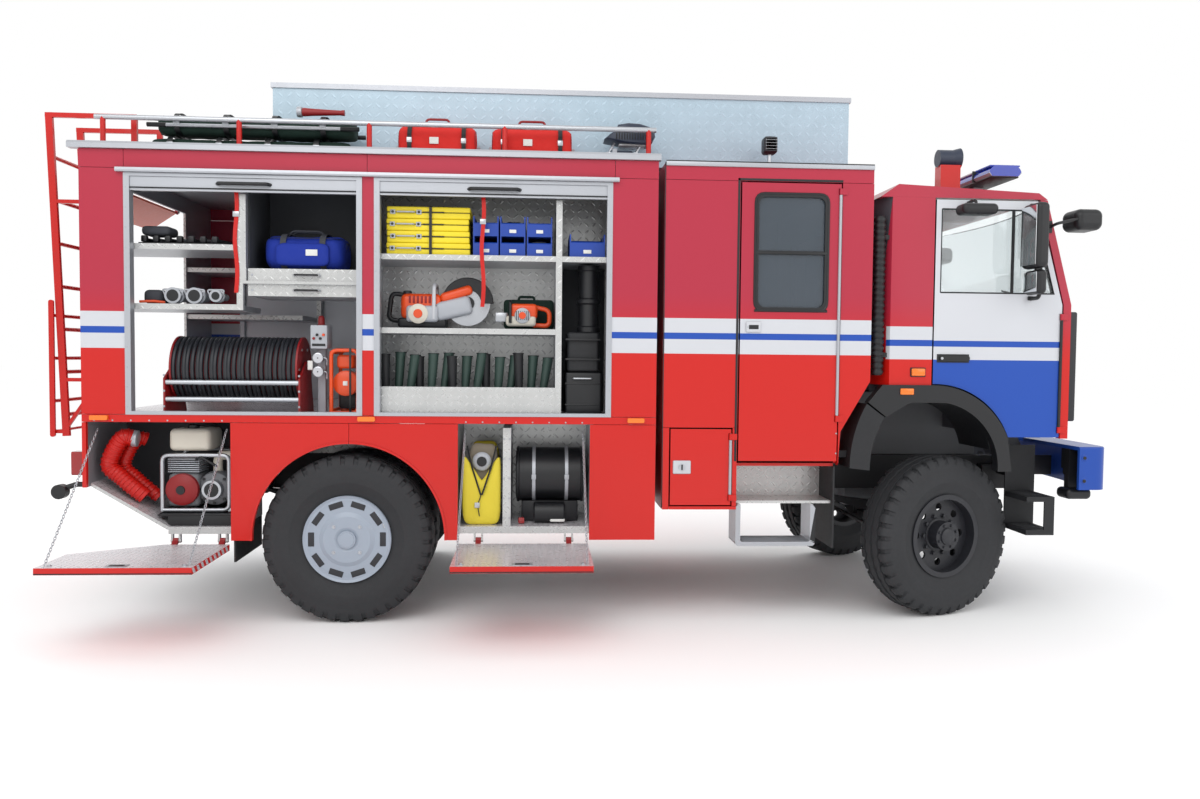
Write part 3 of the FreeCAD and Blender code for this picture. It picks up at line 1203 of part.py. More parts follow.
def drop_ladder():
    """Lower ladder section, folded up behind the fixed one on its foot pins."""
    y0, y1 = LADDER_Y[0] - 25.0, LADDER_Y[1] + 25.0
    parts = [round_box(DROP_X - 16.0, DROP_X + 16.0, y - 8.0, y + 8.0, DROP_Z - 34.0, DROP_Z + DROP_LENGTH, 14.0)
             for y in (y0, y1)]
    for i in range(int(DROP_LENGTH / RUNG_PITCH)):
        z = DROP_Z + 200.0 + i * RUNG_PITCH
        parts.append(rod((DROP_X, y0, z), (DROP_X, y1, z), RUNG_RADIUS - 1.0))
    hole = rod((DROP_X, y0 - 35.0, DROP_Z), (DROP_X, y1 + 35.0, DROP_Z), DROP_PIN + PIN_FIT)
    return parts[0].fuse(parts[1:]).cut(hole)


def roof_box():
    """Long aluminium box with a lid, on feet over the body and the crew cabin."""
    y0, y1 = BOX_Y
    body = box(BOX_X[0], BOX_X[1], y0, y1, BOX_Z[0], BOX_Z[1] - 14.0)
    lid = box(BOX_X[0] - 12.0, BOX_X[1] + 12.0, y0 - 12.0, y1 + 12.0, BOX_Z[1] - 34.0, BOX_Z[1])
    feet = [box(x, x + 80.0, y0 + 40.0, y1 - 40.0, level + SEAT, BOX_Z[0])
            for x, level in ((BOX_X[0] + 200.0, BODY_TOP_Z), (BODY_FRONT_X - 500.0, BODY_TOP_Z),
                             (CREW_FRONT_X - 222.0, CREW_TOP_Z))]
    return body.fuse([lid] + feet)


def roof_gear():
    """Folded stretchers, floodlight cases, a floodlight and the crew cabin's work lamp."""
    z = BODY_TOP_Z + SEAT
    y = 340.0 - HALF_WIDTH
    roof = (BODY_REAR_X, BODY_FRONT_X)
    layers = [soft_box(between(roof, 0.081), between(roof, 0.461), y - 140.0, y + 150.0, z, z + 150.0, 40.0),
              soft_box(between(roof, 0.093), between(roof, 0.467), y - 125.0, y + 135.0, z + 150.0 + SEAT, z + 300.0, 40.0)]
    solids = list(layers)
    radius = 128.0
    for start, end in ((0.53, 0.674), (0.699, 0.849)):
        x0, x1 = between(roof, start), between(roof, end)
        level = z + 12.0 + radius
        barrel = rod((x0, y, level), (x1, y, level), radius)
        bands = [rod((x, y, level), (x + 24.0, y, level), radius + 6.0) for x in (x0 + 70.0, x1 - 94.0)]
        feet = box(x0 + 60.0, x1 - 60.0, y - 80.0, y + 80.0, z, level - 100.0)
        solids.append(barrel.fuse(bands + [feet]))
    front = BODY_FRONT_X - 320.0
    solids.append(round_box(front, front + 270.0, y - 90.0, y + 110.0, z, z + 330.0, 30.0))
    lamp_x = CREW_REAR_X + 704.0
    post = rod((lamp_x + 50.0, y, CREW_TOP_Z + SEAT), (lamp_x + 50.0, y, CREW_TOP_Z + 140.0), 14.0)
    head = soft_box(lamp_x, lamp_x + 100.0, y - 60.0, y + 60.0, CREW_TOP_Z + 130.0, CREW_TOP_Z + 250.0, 24.0)
    solids.append(post.fuse(head))
    return solids


REEL_FRONT_Y = 85.0 - HALF_WIDTH
GUIDE_ZS = (1446.0, 1555.0)
GUIDE_RADIUS = 17.0
REEL_PLATE = 12.0
REEL_GAP = 14.0


def hose_reel_frame():
    """Two end plates with the drum's shaft and the guide rollers between them."""
    x0, x1 = REEL_X
    floor = FLOOR_Z[1] + SEAT
    left, right = x0 - REEL_GAP - REEL_PLATE, x1 + REEL_GAP + REEL_PLATE
    outline = [(REEL_FRONT_Y - 5.0, floor), (REEL_Y + 160.0, floor), (REEL_Y + 50.0, REEL_Z + 50.0),
               (REEL_Y - 50.0, REEL_Z + 50.0), (REEL_FRONT_Y - 5.0, GUIDE_ZS[1] + 25.0)]
    parts = [plate_yz(outline, x, x + REEL_PLATE) for x in (left, right - REEL_PLATE)]
    parts.append(rod((left, REEL_Y, REEL_Z), (right, REEL_Y, REEL_Z), REEL_SHAFT))
    for z in GUIDE_ZS:
        parts.append(rod((left, REEL_FRONT_Y + 15.0, z), (right, REEL_FRONT_Y + 15.0, z), GUIDE_RADIUS))
    return parts[0].fuse(parts[1:])


def hose_reel_drum():
    """Drum wound with hose between two flanges that have round windows."""
    x0, x1 = REEL_X
    gauge = REEL_PLATE
    core = rod((x0 + gauge, REEL_Y, REEL_Z), (x1 - gauge, REEL_Y, REEL_Z), REEL_RADIUS - 30.0)
    flanges = []
    for x in (x0, x1 - gauge):
        flange = rod((x, REEL_Y, REEL_Z), (x + gauge, REEL_Y, REEL_Z), REEL_RADIUS)
        flanges.append(flange)
    bore = rod((x0 - 5.0, REEL_Y, REEL_Z), (x1 + 5.0, REEL_Y, REEL_Z), REEL_SHAFT + PIN_FIT)
    return core.fuse(flanges).cut(bore)


SHELF_A_TOPS = (2056.0, 2436.0)
SHELF_B_TOPS = (1920.0, 2395.0)
DIVIDER = 40.0
DIVIDER_B_X = between(BAY_B, 0.762)
UPRIGHT_X = BAG_X0 - WALL - DIVIDER - SEAT
BAY_FLOOR = FLOOR_Z[1] + SEAT
SHELF_EDGE_Y = 70.0 - HALF_WIDTH
LOW_SPLIT_X = (between(LOW_B, 0.337), between(LOW_B, 0.398))


def shelves():
    """Shelf boards, uprights and dividers inside the lockers, and the two drawers."""
    g = SEAT
    inner = SHELF_EDGE_Y
    back = -SPINE_Y - g
    left = REAR_WALL_X + g
    up = UPRIGHT_X
    solids = [box(left, up - g, inner, back, z - SHELF, z) for z in SHELF_A_TOPS]
    solids.append(box(up, up + DIVIDER, inner, inner + DIVIDER, SHELF_A_TOPS[0] - SHELF, GUTTER_Z - 110.0))
    x0 = BULKHEAD_X + WALL + g
    mid = DIVIDER_B_X
    solids.append(box(mid, mid + DIVIDER, inner, back, BAY_FLOOR, GUTTER_Z - 110.0))
    solids.extend([box(x0, mid - g, inner, back, z - SHELF, z) for z in SHELF_B_TOPS])
    end = BODY_FRONT_X - WALL - 2.0 * g
    solids.append(box(mid + DIVIDER + g, end, inner, back, SHELF_B_TOPS[1] - SHELF, SHELF_B_TOPS[1]))
    solids.append(box(x0, mid - g, inner, inner + 10.0, BAY_FLOOR, BAY_FLOOR + 190.0))
    low, high = LOW_SPLIT_X
    solids.append(box(low, high, inner, -SPINE_Y - WALL, SILL_TOP_Z + g, LIP_Z - 30.0))
    return pair(solids) + drawers()


DRAWER_UPPER = (BAG_Z0 + WALL + 2.0 * SEAT, BAG_Z0 + 100.0)
DRAWER_LOWER = (BAG_Z0 - 77.0, BAG_Z0 - SEAT)


def drawers():
    """Two trays with grips, one on the bag's floor and one hung under it."""
    x0, x1 = BAG_X0 + 4.0, BULKHEAD_X - 12.0
    y0, y1 = GEAR_Y[0] - 10.0, -SPINE_Y - 30.0
    trays = []
    for z0, z1 in (DRAWER_UPPER, DRAWER_LOWER):
        tray = box(x0, x1, y0, y1, z0, z1)
        tray = tray.cut(box(x0 + 14.0, x1 - 14.0, y0 + 16.0, y1 - 14.0, z0 + 12.0, z1 - 8.0))
        mid = (x0 + x1) / 2.0
        level = (z0 + z1) / 2.0
        grip = bar([(mid - 80.0, y0 + 5.0, level), (mid - 80.0, y0 - 30.0, level),
                    (mid + 80.0, y0 - 30.0, level), (mid + 80.0, y0 + 5.0, level)], 8.0, 12.0)
        trays.append(tray.fuse(grip))
    return trays


def stowed_cases():
    """Four yellow cases in pairs, and the yellow folded sheet in the lower locker."""
    y0, y1 = GEAR_Y
    wide = DIVIDER_B_X - BAY_B[0]
    solids = []
    for i in range(2):
        for k in range(2):
            x0 = BAY_B[0] + (0.051 + 0.237 * i) * wide
            z0 = SHELF_B_TOPS[1] + SEAT + k * (156.0 + SEAT)
            solids.append(round_box(x0, x0 + 0.2287 * wide, y0, y1, z0, z0 + 156.0, 24.0))
    z = SILL_TOP_Z + SEAT
    x0, x1 = between(LOW_B, 0.105), LOW_SPLIT_X[0] - 14.0
    solids.append(soft_box(x0, x1, y0 - 20.0, y1, z, z + 440.0, 0.16 * (x1 - x0)))
    return solids


def stowed_bins():
    """Seven open bins: six in two rows and one in the front compartment."""
    z = SHELF_B_TOPS[1] + SEAT
    y0, y1 = GEAR_Y[0], GEAR_Y[1] - 60.0
    wide = DIVIDER_B_X - BAY_B[0]
    height = 128.0
    places = [(BAY_B[0] + (0.534 + 0.151 * i) * wide, z + k * (height + SEAT), 0.142 * wide, height)
              for i in range(3) for k in range(2)]
    places.append((DIVIDER_B_X + 90.0, z, 232.0, 150.0))
    solids = []
    for x0, z0, width, height in places:
        tub = box(x0, x0 + width, y0, y1, z0, z0 + height)
        tub = tub.cut(box(x0 + 8.0, x0 + width - 8.0, y0 + 8.0, y1 - 8.0, z0 + 8.0, z0 + height + 5.0))
        mouth = plate_yz([(y0 - 5.0, z0 + 0.6 * height), (y0 + 60.0, z0 + height + 5.0), (y0 - 5.0, z0 + height + 5.0)],
                         x0 + 8.0, x0 + width - 8.0)
        solids.append(tub.cut(mouth))
    return solids


def kit_bag():
    """Big soft bag on the upper drawer."""
    z = DRAWER_UPPER[1] + SEAT
    return soft_box(BAG_X0 + 70.0, BAG_X0 + 600.0, GEAR_Y[0] + 30.0, GEAR_Y[1], z, z + 270.0, 80.0)


def stowed_tools():
    """Saws, pumps, hoses and tools on their shelves."""
    y0, y1 = GEAR_Y
    solids = cutting_tools(y0, y1)
    floor = BAY_FLOOR
    pitch = 0.207 * (DIVIDER_B_X - BAY_B[0])
    radius = 0.5 * (pitch - SEAT)
    for i in range(4):
        x = BAY_B[0] + 0.16 * pitch * 4.0 + i * pitch
        solids.append(rod((x, y0 + 90.0, floor + radius), (x, y1, floor + radius), radius))
    column_x = DIVIDER_B_X + 220.0
    solids.append(round_box(column_x - 84.0, column_x + 84.0, y0 + 20.0, y0 + 200.0,
                            floor + 558.0 + SEAT, SHELF_B_TOPS[1] - SHELF - SEAT, 60.0, "z"))
    solids.append(round_box(DIVIDER_B_X + 70.0, DIVIDER_B_X + 310.0, y0, y1, floor, floor + 558.0, 14.0))
    solids.extend(fan_and_controls(y0, y1, floor))
    for shelf, height, radius in ((SHELF_A_TOPS[1], 60.0, 24.0), (SHELF_A_TOPS[0], 150.0, 44.0)):
        z = shelf + SEAT
        for k in range(3):
            y = y0 + 70.0 + k * 140.0
            solids.append(round_box(-1330.0, -800.0, y - 50.0, y + 50.0, z, z + height, radius, "x"))
    return solids


SAW_SHELF = 1159.0        # shelf length that the two saws are drawn for


def cutting_tools(y0, y1):
    """A disc saw and a chain saw on the middle shelf of the front bay."""
    z = SHELF_B_TOPS[0] + SEAT
    x = BAY_B[0] + 80.0
    mid = y0 + 170.0
    body = soft_box(x + 210.0, x + 520.0, mid - 110.0, mid + 110.0, z, z + 250.0, 40.0)
    disc = rod((x + 160.0, mid - 60.0, z + 175.0), (x + 160.0, mid - 52.0, z + 175.0), 165.0)
    arm = box(x + 140.0, x + 300.0, mid - 52.0, mid - 20.0, z + 130.0, z + 200.0)
    grip = bar([(x + 480.0, mid, z + 40.0), (x + 640.0, mid, z + 60.0), (x + 640.0, mid, z + 230.0),
                (x + 480.0, mid, z + 230.0)], 14.0, 30.0)
    saw = body.fuse([disc, arm, grip])
    x = BAY_B[0] + 780.0
    engine = soft_box(x, x + 230.0, mid - 90.0, mid + 90.0, z, z + 190.0, 36.0)
    blade = box(x + 200.0, x + 350.0, mid - 20.0, mid - 8.0, z + 50.0, z + 130.0)
    saws = []
    for tool in (saw, engine.fuse(blade)):
        tool.scale((DIVIDER_B_X - BAY_B[0]) / SAW_SHELF, V(BAY_B[0], y0, z))
        saws.append(tool)
    return saws


def fan_and_controls(y0, y1, floor):
    """Tube-framed fan, and the reel's control box with its lamp, ahead of the reel."""
    x0, x1 = REEL_X[1] + 194.0, BULKHEAD_X - 60.0
    mid = (x0 + x1) / 2.0
    z = floor + 205.0
    shroud = ring((mid, y0 + 80.0, z), (mid, y1 - 60.0, z), 136.0, 122.0)
    motor = rod((mid, y0 + 120.0, z), (mid, y1 - 100.0, z), 52.0)
    bars = [box(mid - 128.0, mid + 128.0, y0 + 150.0, y0 + 164.0, z - 7.0, z + 7.0)]
    feet = [box(mid + s * 100.0 - 12.0, mid + s * 100.0 + 12.0, y0 + 90.0, y1 - 70.0, floor, z - 72.0) for s in (-1, 1)]
    fan = shroud.fuse([motor] + bars + feet)
    box_x = x0 - 130.0
    control = round_box(box_x, box_x + 110.0, y0 + 90.0, y0 + 260.0, floor + 430.0, floor + 585.0, 10.0)
    post = box(box_x + 30.0, box_x + 80.0, y0 + 180.0, y0 + 230.0, floor, floor + 432.0)
    dials = [rod((box_x + 55.0, y0 + 60.0, zz), (box_x + 55.0, y0 + 200.0, zz), 34.0)
             for zz in (floor + 280.0, floor + 370.0)]
    return [fan, control.fuse([post] + dials)]


def motor_pump():
    """Portable pump on its base in the rear lower locker, and a hose drum in the front one."""
    z = SILL_TOP_Z + SEAT
    x = LOW_A[1] - 36.0
    y = GEAR_Y[0] + 40.0
    base = box(x - 360.0, x, y, y + 380.0, z, z + 24.0)
    engine = soft_box(x - 340.0, x - 150.0, y + 20.0, y + 300.0, z + 20.0, z + 250.0, 24.0)
    tank = soft_box(x - 330.0, x - 60.0, y + 10.0, y + 280.0, z + 300.0, z + 450.0, 30.0)
    posts = [box(c - 10.0, c + 10.0, y + 100.0, y + 180.0, z + 20.0, z + 320.0) for c in (x - 300.0, x - 100.0)]
    starter = rod((x - 245.0, y - 30.0, z + 150.0), (x - 245.0, y + 40.0, z + 150.0), 84.0)
    volute = rod((x - 85.0, y + 40.0, z + 110.0), (x - 85.0, y + 210.0, z + 110.0), 82.0)
    port = ring((x - 85.0, y - 40.0, z + 110.0), (x - 85.0, y + 50.0, z + 110.0), 44.0, 34.0)
    pump = base.fuse([engine, tank, starter, volute, port] + posts)
    span = (LOW_SPLIT_X[1] + 30.0, LOW_B[1] - 24.0)
    level = z + 310.0
    mid = y + 200.0
    drum = rod((span[0], mid, level), (span[1], mid, level), 190.0)
    bands = [rod((c, mid, level), (c + 20.0, mid, level), 196.0) for c in (between(span, 0.25), between(span, 0.7))]
    foot = box(between(span, 0.1), between(span, 0.9), mid - 90.0, mid + 90.0, z, level - 150.0)
    return [pump, drum.fuse(bands + [foot])]


def lamps():
    """Amber side markers, tail lamps and the rubber-armed rear markers."""
    solids = []
    y = -HALF_WIDTH
    for x in (BODY_REAR_X + 112.0, BAY_A[1] + 29.0, BODY_FRONT_X - 134.0):
        solids.append(round_box(x - 55.0, x + 55.0, y - 24.0, y - SEAT, 1316.0, 1346.0, 8.0))
    rear = BODY_REAR_X
    solids.append(round_box(rear - 80.0, rear - SEAT, y + 32.0, y + 130.0, 960.0, 1110.0, 14.0, "x"))
    arm = bar([(rear - SEAT, y + 60.0, 900.0), (rear - 60.0, y + 60.0, 900.0), (rear - 120.0, y + 30.0, 880.0)], 17.0)
    disc = rod((rear - 140.0, y - 15.0, 860.0), (rear - 140.0, y + 45.0, 860.0), 46.0)
    solids.append(arm.fuse(disc))
    return pair(solids)


def front_lamps():
    """Fog lamps under the bumper and headlamps behind its windows, hung from its top."""
    top = BUMPER_Z[1] - BUMPER_WALL - SEAT
    rear = BUMPER_REAR_X
    edge = -BUMPER_HALF
    fog = soft_box(rear - 46.0, rear + 132.0, edge + 60.0, edge + 220.0, 798.0, BUMPER_Z[0] - SEAT, 30.0)
    stalk = box(rear - 6.0, rear + 54.0, edge + 120.0, edge + 180.0, BUMPER_Z[0] - 20.0, top)
    back = BUMPER_CORNER_X - 78.0
    y = -(LAMP_Y[0] + LAMP_Y[1]) / 2.0
    mid = (LAMP_Z[0] + LAMP_Z[1]) / 2.0
    gap = 4.0
    body = round_box(back, back + 65.0, gap - LAMP_Y[1], -LAMP_Y[0] - gap, LAMP_Z[0] + gap, LAMP_Z[1] - gap, 20.0, "x")
    neck = box(back - 60.0, back + 5.0, y - 40.0, y + 40.0, mid - 30.0, mid + 30.0)
    hanger = box(back - 60.0, back - 30.0, y - 40.0, y + 40.0, mid - 30.0, top)
    return pair([fog.fuse(stalk), body.fuse([neck, hanger])])


CAB_FLOOR_LOW = CAB_FLOOR_Z - CAB_FLOOR_GAUGE
FOOTWELL_END = CAB_DOOR_X[1] - 10.0
TONGUE_END = TILT_X - 130.0
CORNER_CUT = 150.0        # the cab's rear corners are cut off this far across
CORNER_RUN = 80.0         # and this far along
REAR_WINDOW_Z = (2150.0, 2650.0)


def cab_shell():
    """Corner panels, rear wall, roof, floor with its footwells and tilt arms, and pillars."""
    g = SEAT
    x0, x1 = CAB_REAR_X, CAB_DOOR_X[0] - PANEL_SEAM / 2.0
    y = CAB_HALF
    w = CAB_WALL
    corner = [(x0, CORNER_CUT - y), (x0 + CORNER_RUN, -y), (x1, -y), (x1, w - y),
              (x0 + CORNER_RUN + 20.0, w - y), (x0 + w, CORNER_CUT + 15.0 - y)]
    top = CAB_DOOR_Z[1] + 4.0
    solids = pair([plate_xy(corner, BAND_Z[1] + g, top)])
    inner = y - CORNER_CUT - 15.0 - g
    wall = box(x0, x0 + w, -inner, inner, CAB_FLOOR_LOW, top)
    half = inner - 470.0
    solids.append(wall.cut(box(x0 - 20.0, x0 + w + 20.0, -half, half, *REAR_WINDOW_Z)))
    solids.append(cab_roof(top))
    edge = y - w - g
    tunnel = TUNNEL_HALF + FOOTWELL_GAUGE / 2.0
    floor = [(x0 + w + g, -inner), (x0 + 150.0, -edge), (FOOTWELL_X, -edge), (FOOTWELL_X, -tunnel),
             (FOOTWELL_END, -tunnel), (FOOTWELL_END, tunnel), (FOOTWELL_X, tunnel), (FOOTWELL_X, edge),
             (x0 + 150.0, edge), (x0 + w + g, inner)]
    solids.append(plate_xy(floor, CAB_FLOOR_LOW, CAB_FLOOR_Z))
    solids.extend(pair([footwell(tunnel), cab_pillar()]))
    return solids


def footwell(tunnel):
    """Riser, tunnel side and floor of the right footwell, with the arm the cab tilts on."""
    door = CAB_HALF - CAB_WALL - SWING
    gauge = FOOTWELL_GAUGE
    low = FOOTWELL_Z
    high = CAB_FLOOR_LOW - SEAT
    riser = box(FOOTWELL_X - gauge, FOOTWELL_X, -door, -TUNNEL_HALF, low, high)
    wall = box(FOOTWELL_X - gauge, FOOTWELL_END, -tunnel, -TUNNEL_HALF, low, high)
    floor = box(FOOTWELL_X - gauge, FOOTWELL_END, -door, -TUNNEL_HALF, low, low + gauge)
    y0, y1 = -TILT_ARM_Y[1], -TILT_ARM_Y[0]
    tongue = box(FOOTWELL_END - 20.0, TONGUE_END, y0 - 2.0, y1 + 2.0, low, low + gauge)
    arm = plate_xz([(TILT_X - 40.0, TILT_Z - 20.0), (TILT_X + 35.0, TILT_Z + 25.0), (TONGUE_END, low + 4.0),
                    (TONGUE_END - 75.0, low + 4.0)], y0 + 1.0, y1 - 1.0)
    eye = rod((TILT_X, y0, TILT_Z), (TILT_X, y1, TILT_Z), TILT_EYE)
    bore = rod((TILT_X, y0 - 5.0, TILT_Z), (TILT_X, y1 + 5.0, TILT_Z), TILT_PIN + PIN_FIT)
    return riser.fuse([wall, floor, tongue, arm, eye]).cut(bore)


def cab_roof(z0):
    """Crowned roof with a sloping rear edge, falling slightly to the windscreen."""
    front = PILLAR_TOP[0] - 6.0
    outline = [(CAB_REAR_X, z0 + SEAT), (CAB_REAR_X + 120.0, CAB_ROOF_REAR_Z), (front, CAB_ROOF_FRONT_Z),
               (front + 60.0, z0 + SEAT)]
    return plate_xz(outline, -CAB_HALF, CAB_HALF)


CAB_HINGE = (CAB_DOOR_X[1] - SWING - HINGE_IN, -CAB_HALF - HINGE_OUT)
CAB_HINGE_Z = (CAB_DOOR_Z[0] + SWING, PILLAR_FOOT[1] - 31.0)


def cab_pillar():
    """Windscreen pillar and lower corner of the cab's front, right side, with the door's knuckles."""
    y = -CAB_HALF
    rear = CAB_DOOR_X[1] + 2.0
    front = [(rear, CAB_DOOR_Z[0]), (NOSE_CORNER_X, CAB_DOOR_Z[0]),
             (NOSE_CORNER_X, PILLAR_FOOT[1]), (PILLAR_TOP[0] + 54.0, PILLAR_TOP[1] + 16.0),
             (PILLAR_TOP[0] + 4.0, PILLAR_TOP[1] + 16.0), (rear, PILLAR_FOOT[1])]
    return plate_xz(front, y, y + CAB_WALL).fuse(fixed_knuckles(CAB_HINGE, CAB_HINGE_Z))


GRILLE_HALF = 620.0
GRILLE_Z = (1400.0, 1960.0)
GRILLE_SLOTS = 6
NOSE_GAUGE = 60.0


def cab_front():
    """Front panel below the windscreen, with its grille slots."""
    y = CAB_HALF - CAB_WALL - SEAT
    corner = NOSE_CORNER_X
    outline = [(corner, -y), ((NOSE_X, 0), (corner, y)), (corner - NOSE_GAUGE, y),
               ((NOSE_X - NOSE_GAUGE, 0), (corner - NOSE_GAUGE, -y))]
    panel = plate_xy(outline, NOSE_LOW_Z, PILLAR_FOOT[1])
    pitch = (GRILLE_Z[1] - GRILLE_Z[0]) / GRILLE_SLOTS
    for i in range(GRILLE_SLOTS):
        z = GRILLE_Z[0] + i * pitch
        panel = panel.cut(box(corner, NOSE_X + 20.0, -GRILLE_HALF, GRILLE_HALF, z, z + 0.55 * pitch))
    return panel


SCREEN_GAUGE = 30.0


def cab_screen():
    """The curved windscreen between the pillars."""
    y = CAB_HALF - CAB_WALL - SEAT
    z0, z1 = PILLAR_FOOT[1] + SEAT, CAB_DOOR_Z[1]
    corner = NOSE_CORNER_X
    low = [(corner, -y), ((NOSE_X, 0), (corner, y)), (corner - SCREEN_GAUGE, y),
           ((NOSE_X - SCREEN_GAUGE, 0), (corner - SCREEN_GAUGE, -y))]
    shift = PILLAR_TOP[0] - PILLAR_FOOT[0]
    return closed_face(low, plan, z0).extrude(V(shift, 0, z1 - z0))


SEAT_Y = CAB_HALF - 580.0


def cab_interior():
    """Two seats, and the dash on its console with the steering wheel."""
    solids = []
    rear = CAB_REAR_X
    z = CAB_FLOOR_Z + SEAT
    for y in (-SEAT_Y, SEAT_Y):
        solids.append(box(rear + 280.0, rear + 680.0, y - 200.0, y + 200.0, z, z + 220.0 - SEAT))
        cushion = soft_box(rear + 240.0, rear + 750.0, y - 250.0, y + 250.0, z + 220.0, z + 340.0, 40.0)
        back = soft_box(rear + 140.0, rear + 260.0, y - 240.0, y + 240.0, z + 345.0, z + 1000.0, 40.0)
        hinge = box(rear + 200.0, rear + 320.0, y - 180.0, y + 180.0, z + 290.0, z + 400.0)
        solids.append(cushion.fuse([back, hinge]))
    front = CAB_DOOR_X[1]
    half = CAB_HALF - 100.0
    dash = plate_xz([(front - 265.0, 1850.0), (front - 240.0, 2050.0), (front - 200.0, 2080.0),
                     (front - 45.0, 2080.0), (front - 45.0, 1800.0), (front - 200.0, 1800.0)], -half, half)
    console = box(front - 190.0, front - 60.0, -200.0, 200.0, z, 1830.0)
    solids.append(dash.fuse([console, steering_wheel(front - 375.0)]))
    return solids


def steering_wheel(x):
    """Rim, spokes and column, placed over the left seat's front."""
    torus = Part.makeTorus(225.0, 16.0)
    spoke = [box(-215.0, 215.0, -16.0, 16.0, -8.0, 8.0), box(-16.0, 16.0, -215.0, 0, -8.0, 8.0)]
    hub = Part.makeCylinder(45.0, 60.0, V(0, 0, -50.0))
    column = Part.makeCylinder(30.0, 250.0, V(0, 0, -290.0))
    wheel = torus.fuse(spoke + [hub, column])
    wheel.rotate(V(0, 0, 0), V(0, 1, 0), -28.0)
    wheel.translate(V(x, SEAT_Y, 2190.0))
    return wheel


ARCH_FRONT_X = WHEELBASE
LINER = 8.0


def cab_arches():
    """Black flares and liners over the front wheels and the intake bellows, carried by the cab."""
    x = ARCH_FRONT_X
    low, high = BAND_Z
    band = [(x - 535.0, low), (x - 440.0, high), (x - 80.0, high),
            ((x + 260.0, 1450.0), (x + 425.0, 1225.0)), (x + 455.0, 1000.0), (x + 360.0, 1000.0),
            ((x + 270.0, 1290.0), (x - 5.0, low)), (x - 250.0, low), (x - 410.0, 1362.0)]
    edge = CAB_WALL - CAB_HALF
    flare = plate_xz(band, -CAB_HALF - 24.0, edge - 1.0)
    t = LINER
    liner = plate_xz([(x + 336.0, 1140.0), ((x + 232.0, 1340.0), (x - 5.0, low)), (x - 250.0, low),
                      (x - 410.0, 1362.0), (x - 416.0, 1362.0 + t), (x - 253.0, low + t), (x - 5.0, low + t),
                      ((x + 238.0, 1346.0), (x + 345.0, 1140.0))], edge - 3.0, -RAIL_OUTER_Y - 250.0)
    hangers = [box(x - c, x - c + 40.0, -900.0, -860.0, low + 2.0, CAB_FLOOR_LOW - SEAT) for c in (230.0, 60.0)]
    return pair([flare.fuse([liner] + hangers)]) + [intake_stack()]


BAR_X = (CAB_REAR_X + 850.0, CAB_REAR_X + 1080.0)
BAR_Z = (CAB_ROOF_FRONT_Z + 158.0, CAB_ROOF_FRONT_Z + 233.0)


def light_bar():
    """Domed blue light bar across the cab roof, on two feet."""
    x0, x1 = BAR_X
    z0, z1 = BAR_Z
    half = CAB_HALF - 260.0
    body = plate_xz([(x0, z0 + 20.0), (x0 + 20.0, z0), (x1 - 20.0, z0), (x1, z0 + 20.0),
                     ((x1 - 22.0, z1 - 14.0), (x1 - 70.0, z1)), (x0 + 70.0, z1),
                     ((x0 + 22.0, z1 - 14.0), (x0, z0 + 20.0))], -half, half)
    mid = (x0 + x1) / 2.0
    feet = [on_cab_roof(box(mid - 35.0, mid + 35.0, y - 40.0, y + 40.0, CAB_ROOF_FRONT_Z - 40.0, z0 + 5.0))
            for y in (-500.0, 500.0)]
    return [body.fuse(feet)]


def on_cab_roof(shape):
    """Trim the foot of a piece so that it stands on the cab's roof."""
    roof = cab_roof(CAB_DOOR_Z[1] + 4.0)
    roof.translate(V(0, 0, SEAT))
    return shape.cut(roof)


HORN_Z = CAB_ROOF_FRONT_Z + 278.0


def roof_horn():
    """Horn on its block at the right of the cab roof."""
    x = CAB_REAR_X + 510.0
    y = 320.0 - CAB_HALF
    z = HORN_Z
    block = on_cab_roof(box(x, x + 140.0, y - 50.0, y + 50.0, CAB_ROOF_FRONT_Z - 10.0, z - 50.0))
    horn = rod((x - 5.0, y, z), (x + 100.0, y, z), 60.0)
    bell = Part.makeCone(60.0, 74.0, 50.0, V(x + 98.0, y, z), V(1, 0, 0))
    return [block.fuse([horn, bell])]


def cab_door():
    """Right-hand cab door: whole height, cut by the wheel arch, with its window."""
    g = SWING
    y0 = -CAB_HALF
    x0, x1 = CAB_DOOR_X[0] + g, CAB_DOOR_X[1] - g
    z0, z1 = CAB_DOOR_Z[0] + g, CAB_DOOR_Z[1] - g
    x = ARCH_FRONT_X
    outline = [(x0, BAND_Z[1] + g), (x - 70.0, BAND_Z[1] + g), ((x + 270.0, 1462.0), (x + 436.0, z0)), (x1, z0),
               (x1, PILLAR_FOOT[1]), (PILLAR_TOP[0] - 10.0, z1), (x0, z1)]
    door = plate_xz(outline, y0, y0 + CAB_WALL)
    door = door.cut(plate_xz(list(CAB_WINDOW), y0 - 20.0, y0 + 100.0))
    handle = round_box(x0 + 40.0, x0 + 244.0, y0 - 16.0, y0 + 5.0, 1738.0, 1774.0, 14.0)
    return hang_door(door.fuse(handle), CAB_HINGE, CAB_HINGE_Z)


def inset(points, amount):
    """Corner points of a quadrilateral moved towards its centre."""
    cx = sum(p[0] for p in points) / len(points)
    cz = sum(p[1] for p in points) / len(points)
    moved = []
    for x, z in points:
        moved.append((x - math.copysign(amount, x - cx), z - math.copysign(amount, z - cz)))
    return moved


def cab_door_glass():
    return plate_xz(inset(CAB_WINDOW, 1.0), 20.0 - CAB_HALF, 28.0 - CAB_HALF)


MIRROR_ARM_X = CAB_DOOR_X[1] - 230.0


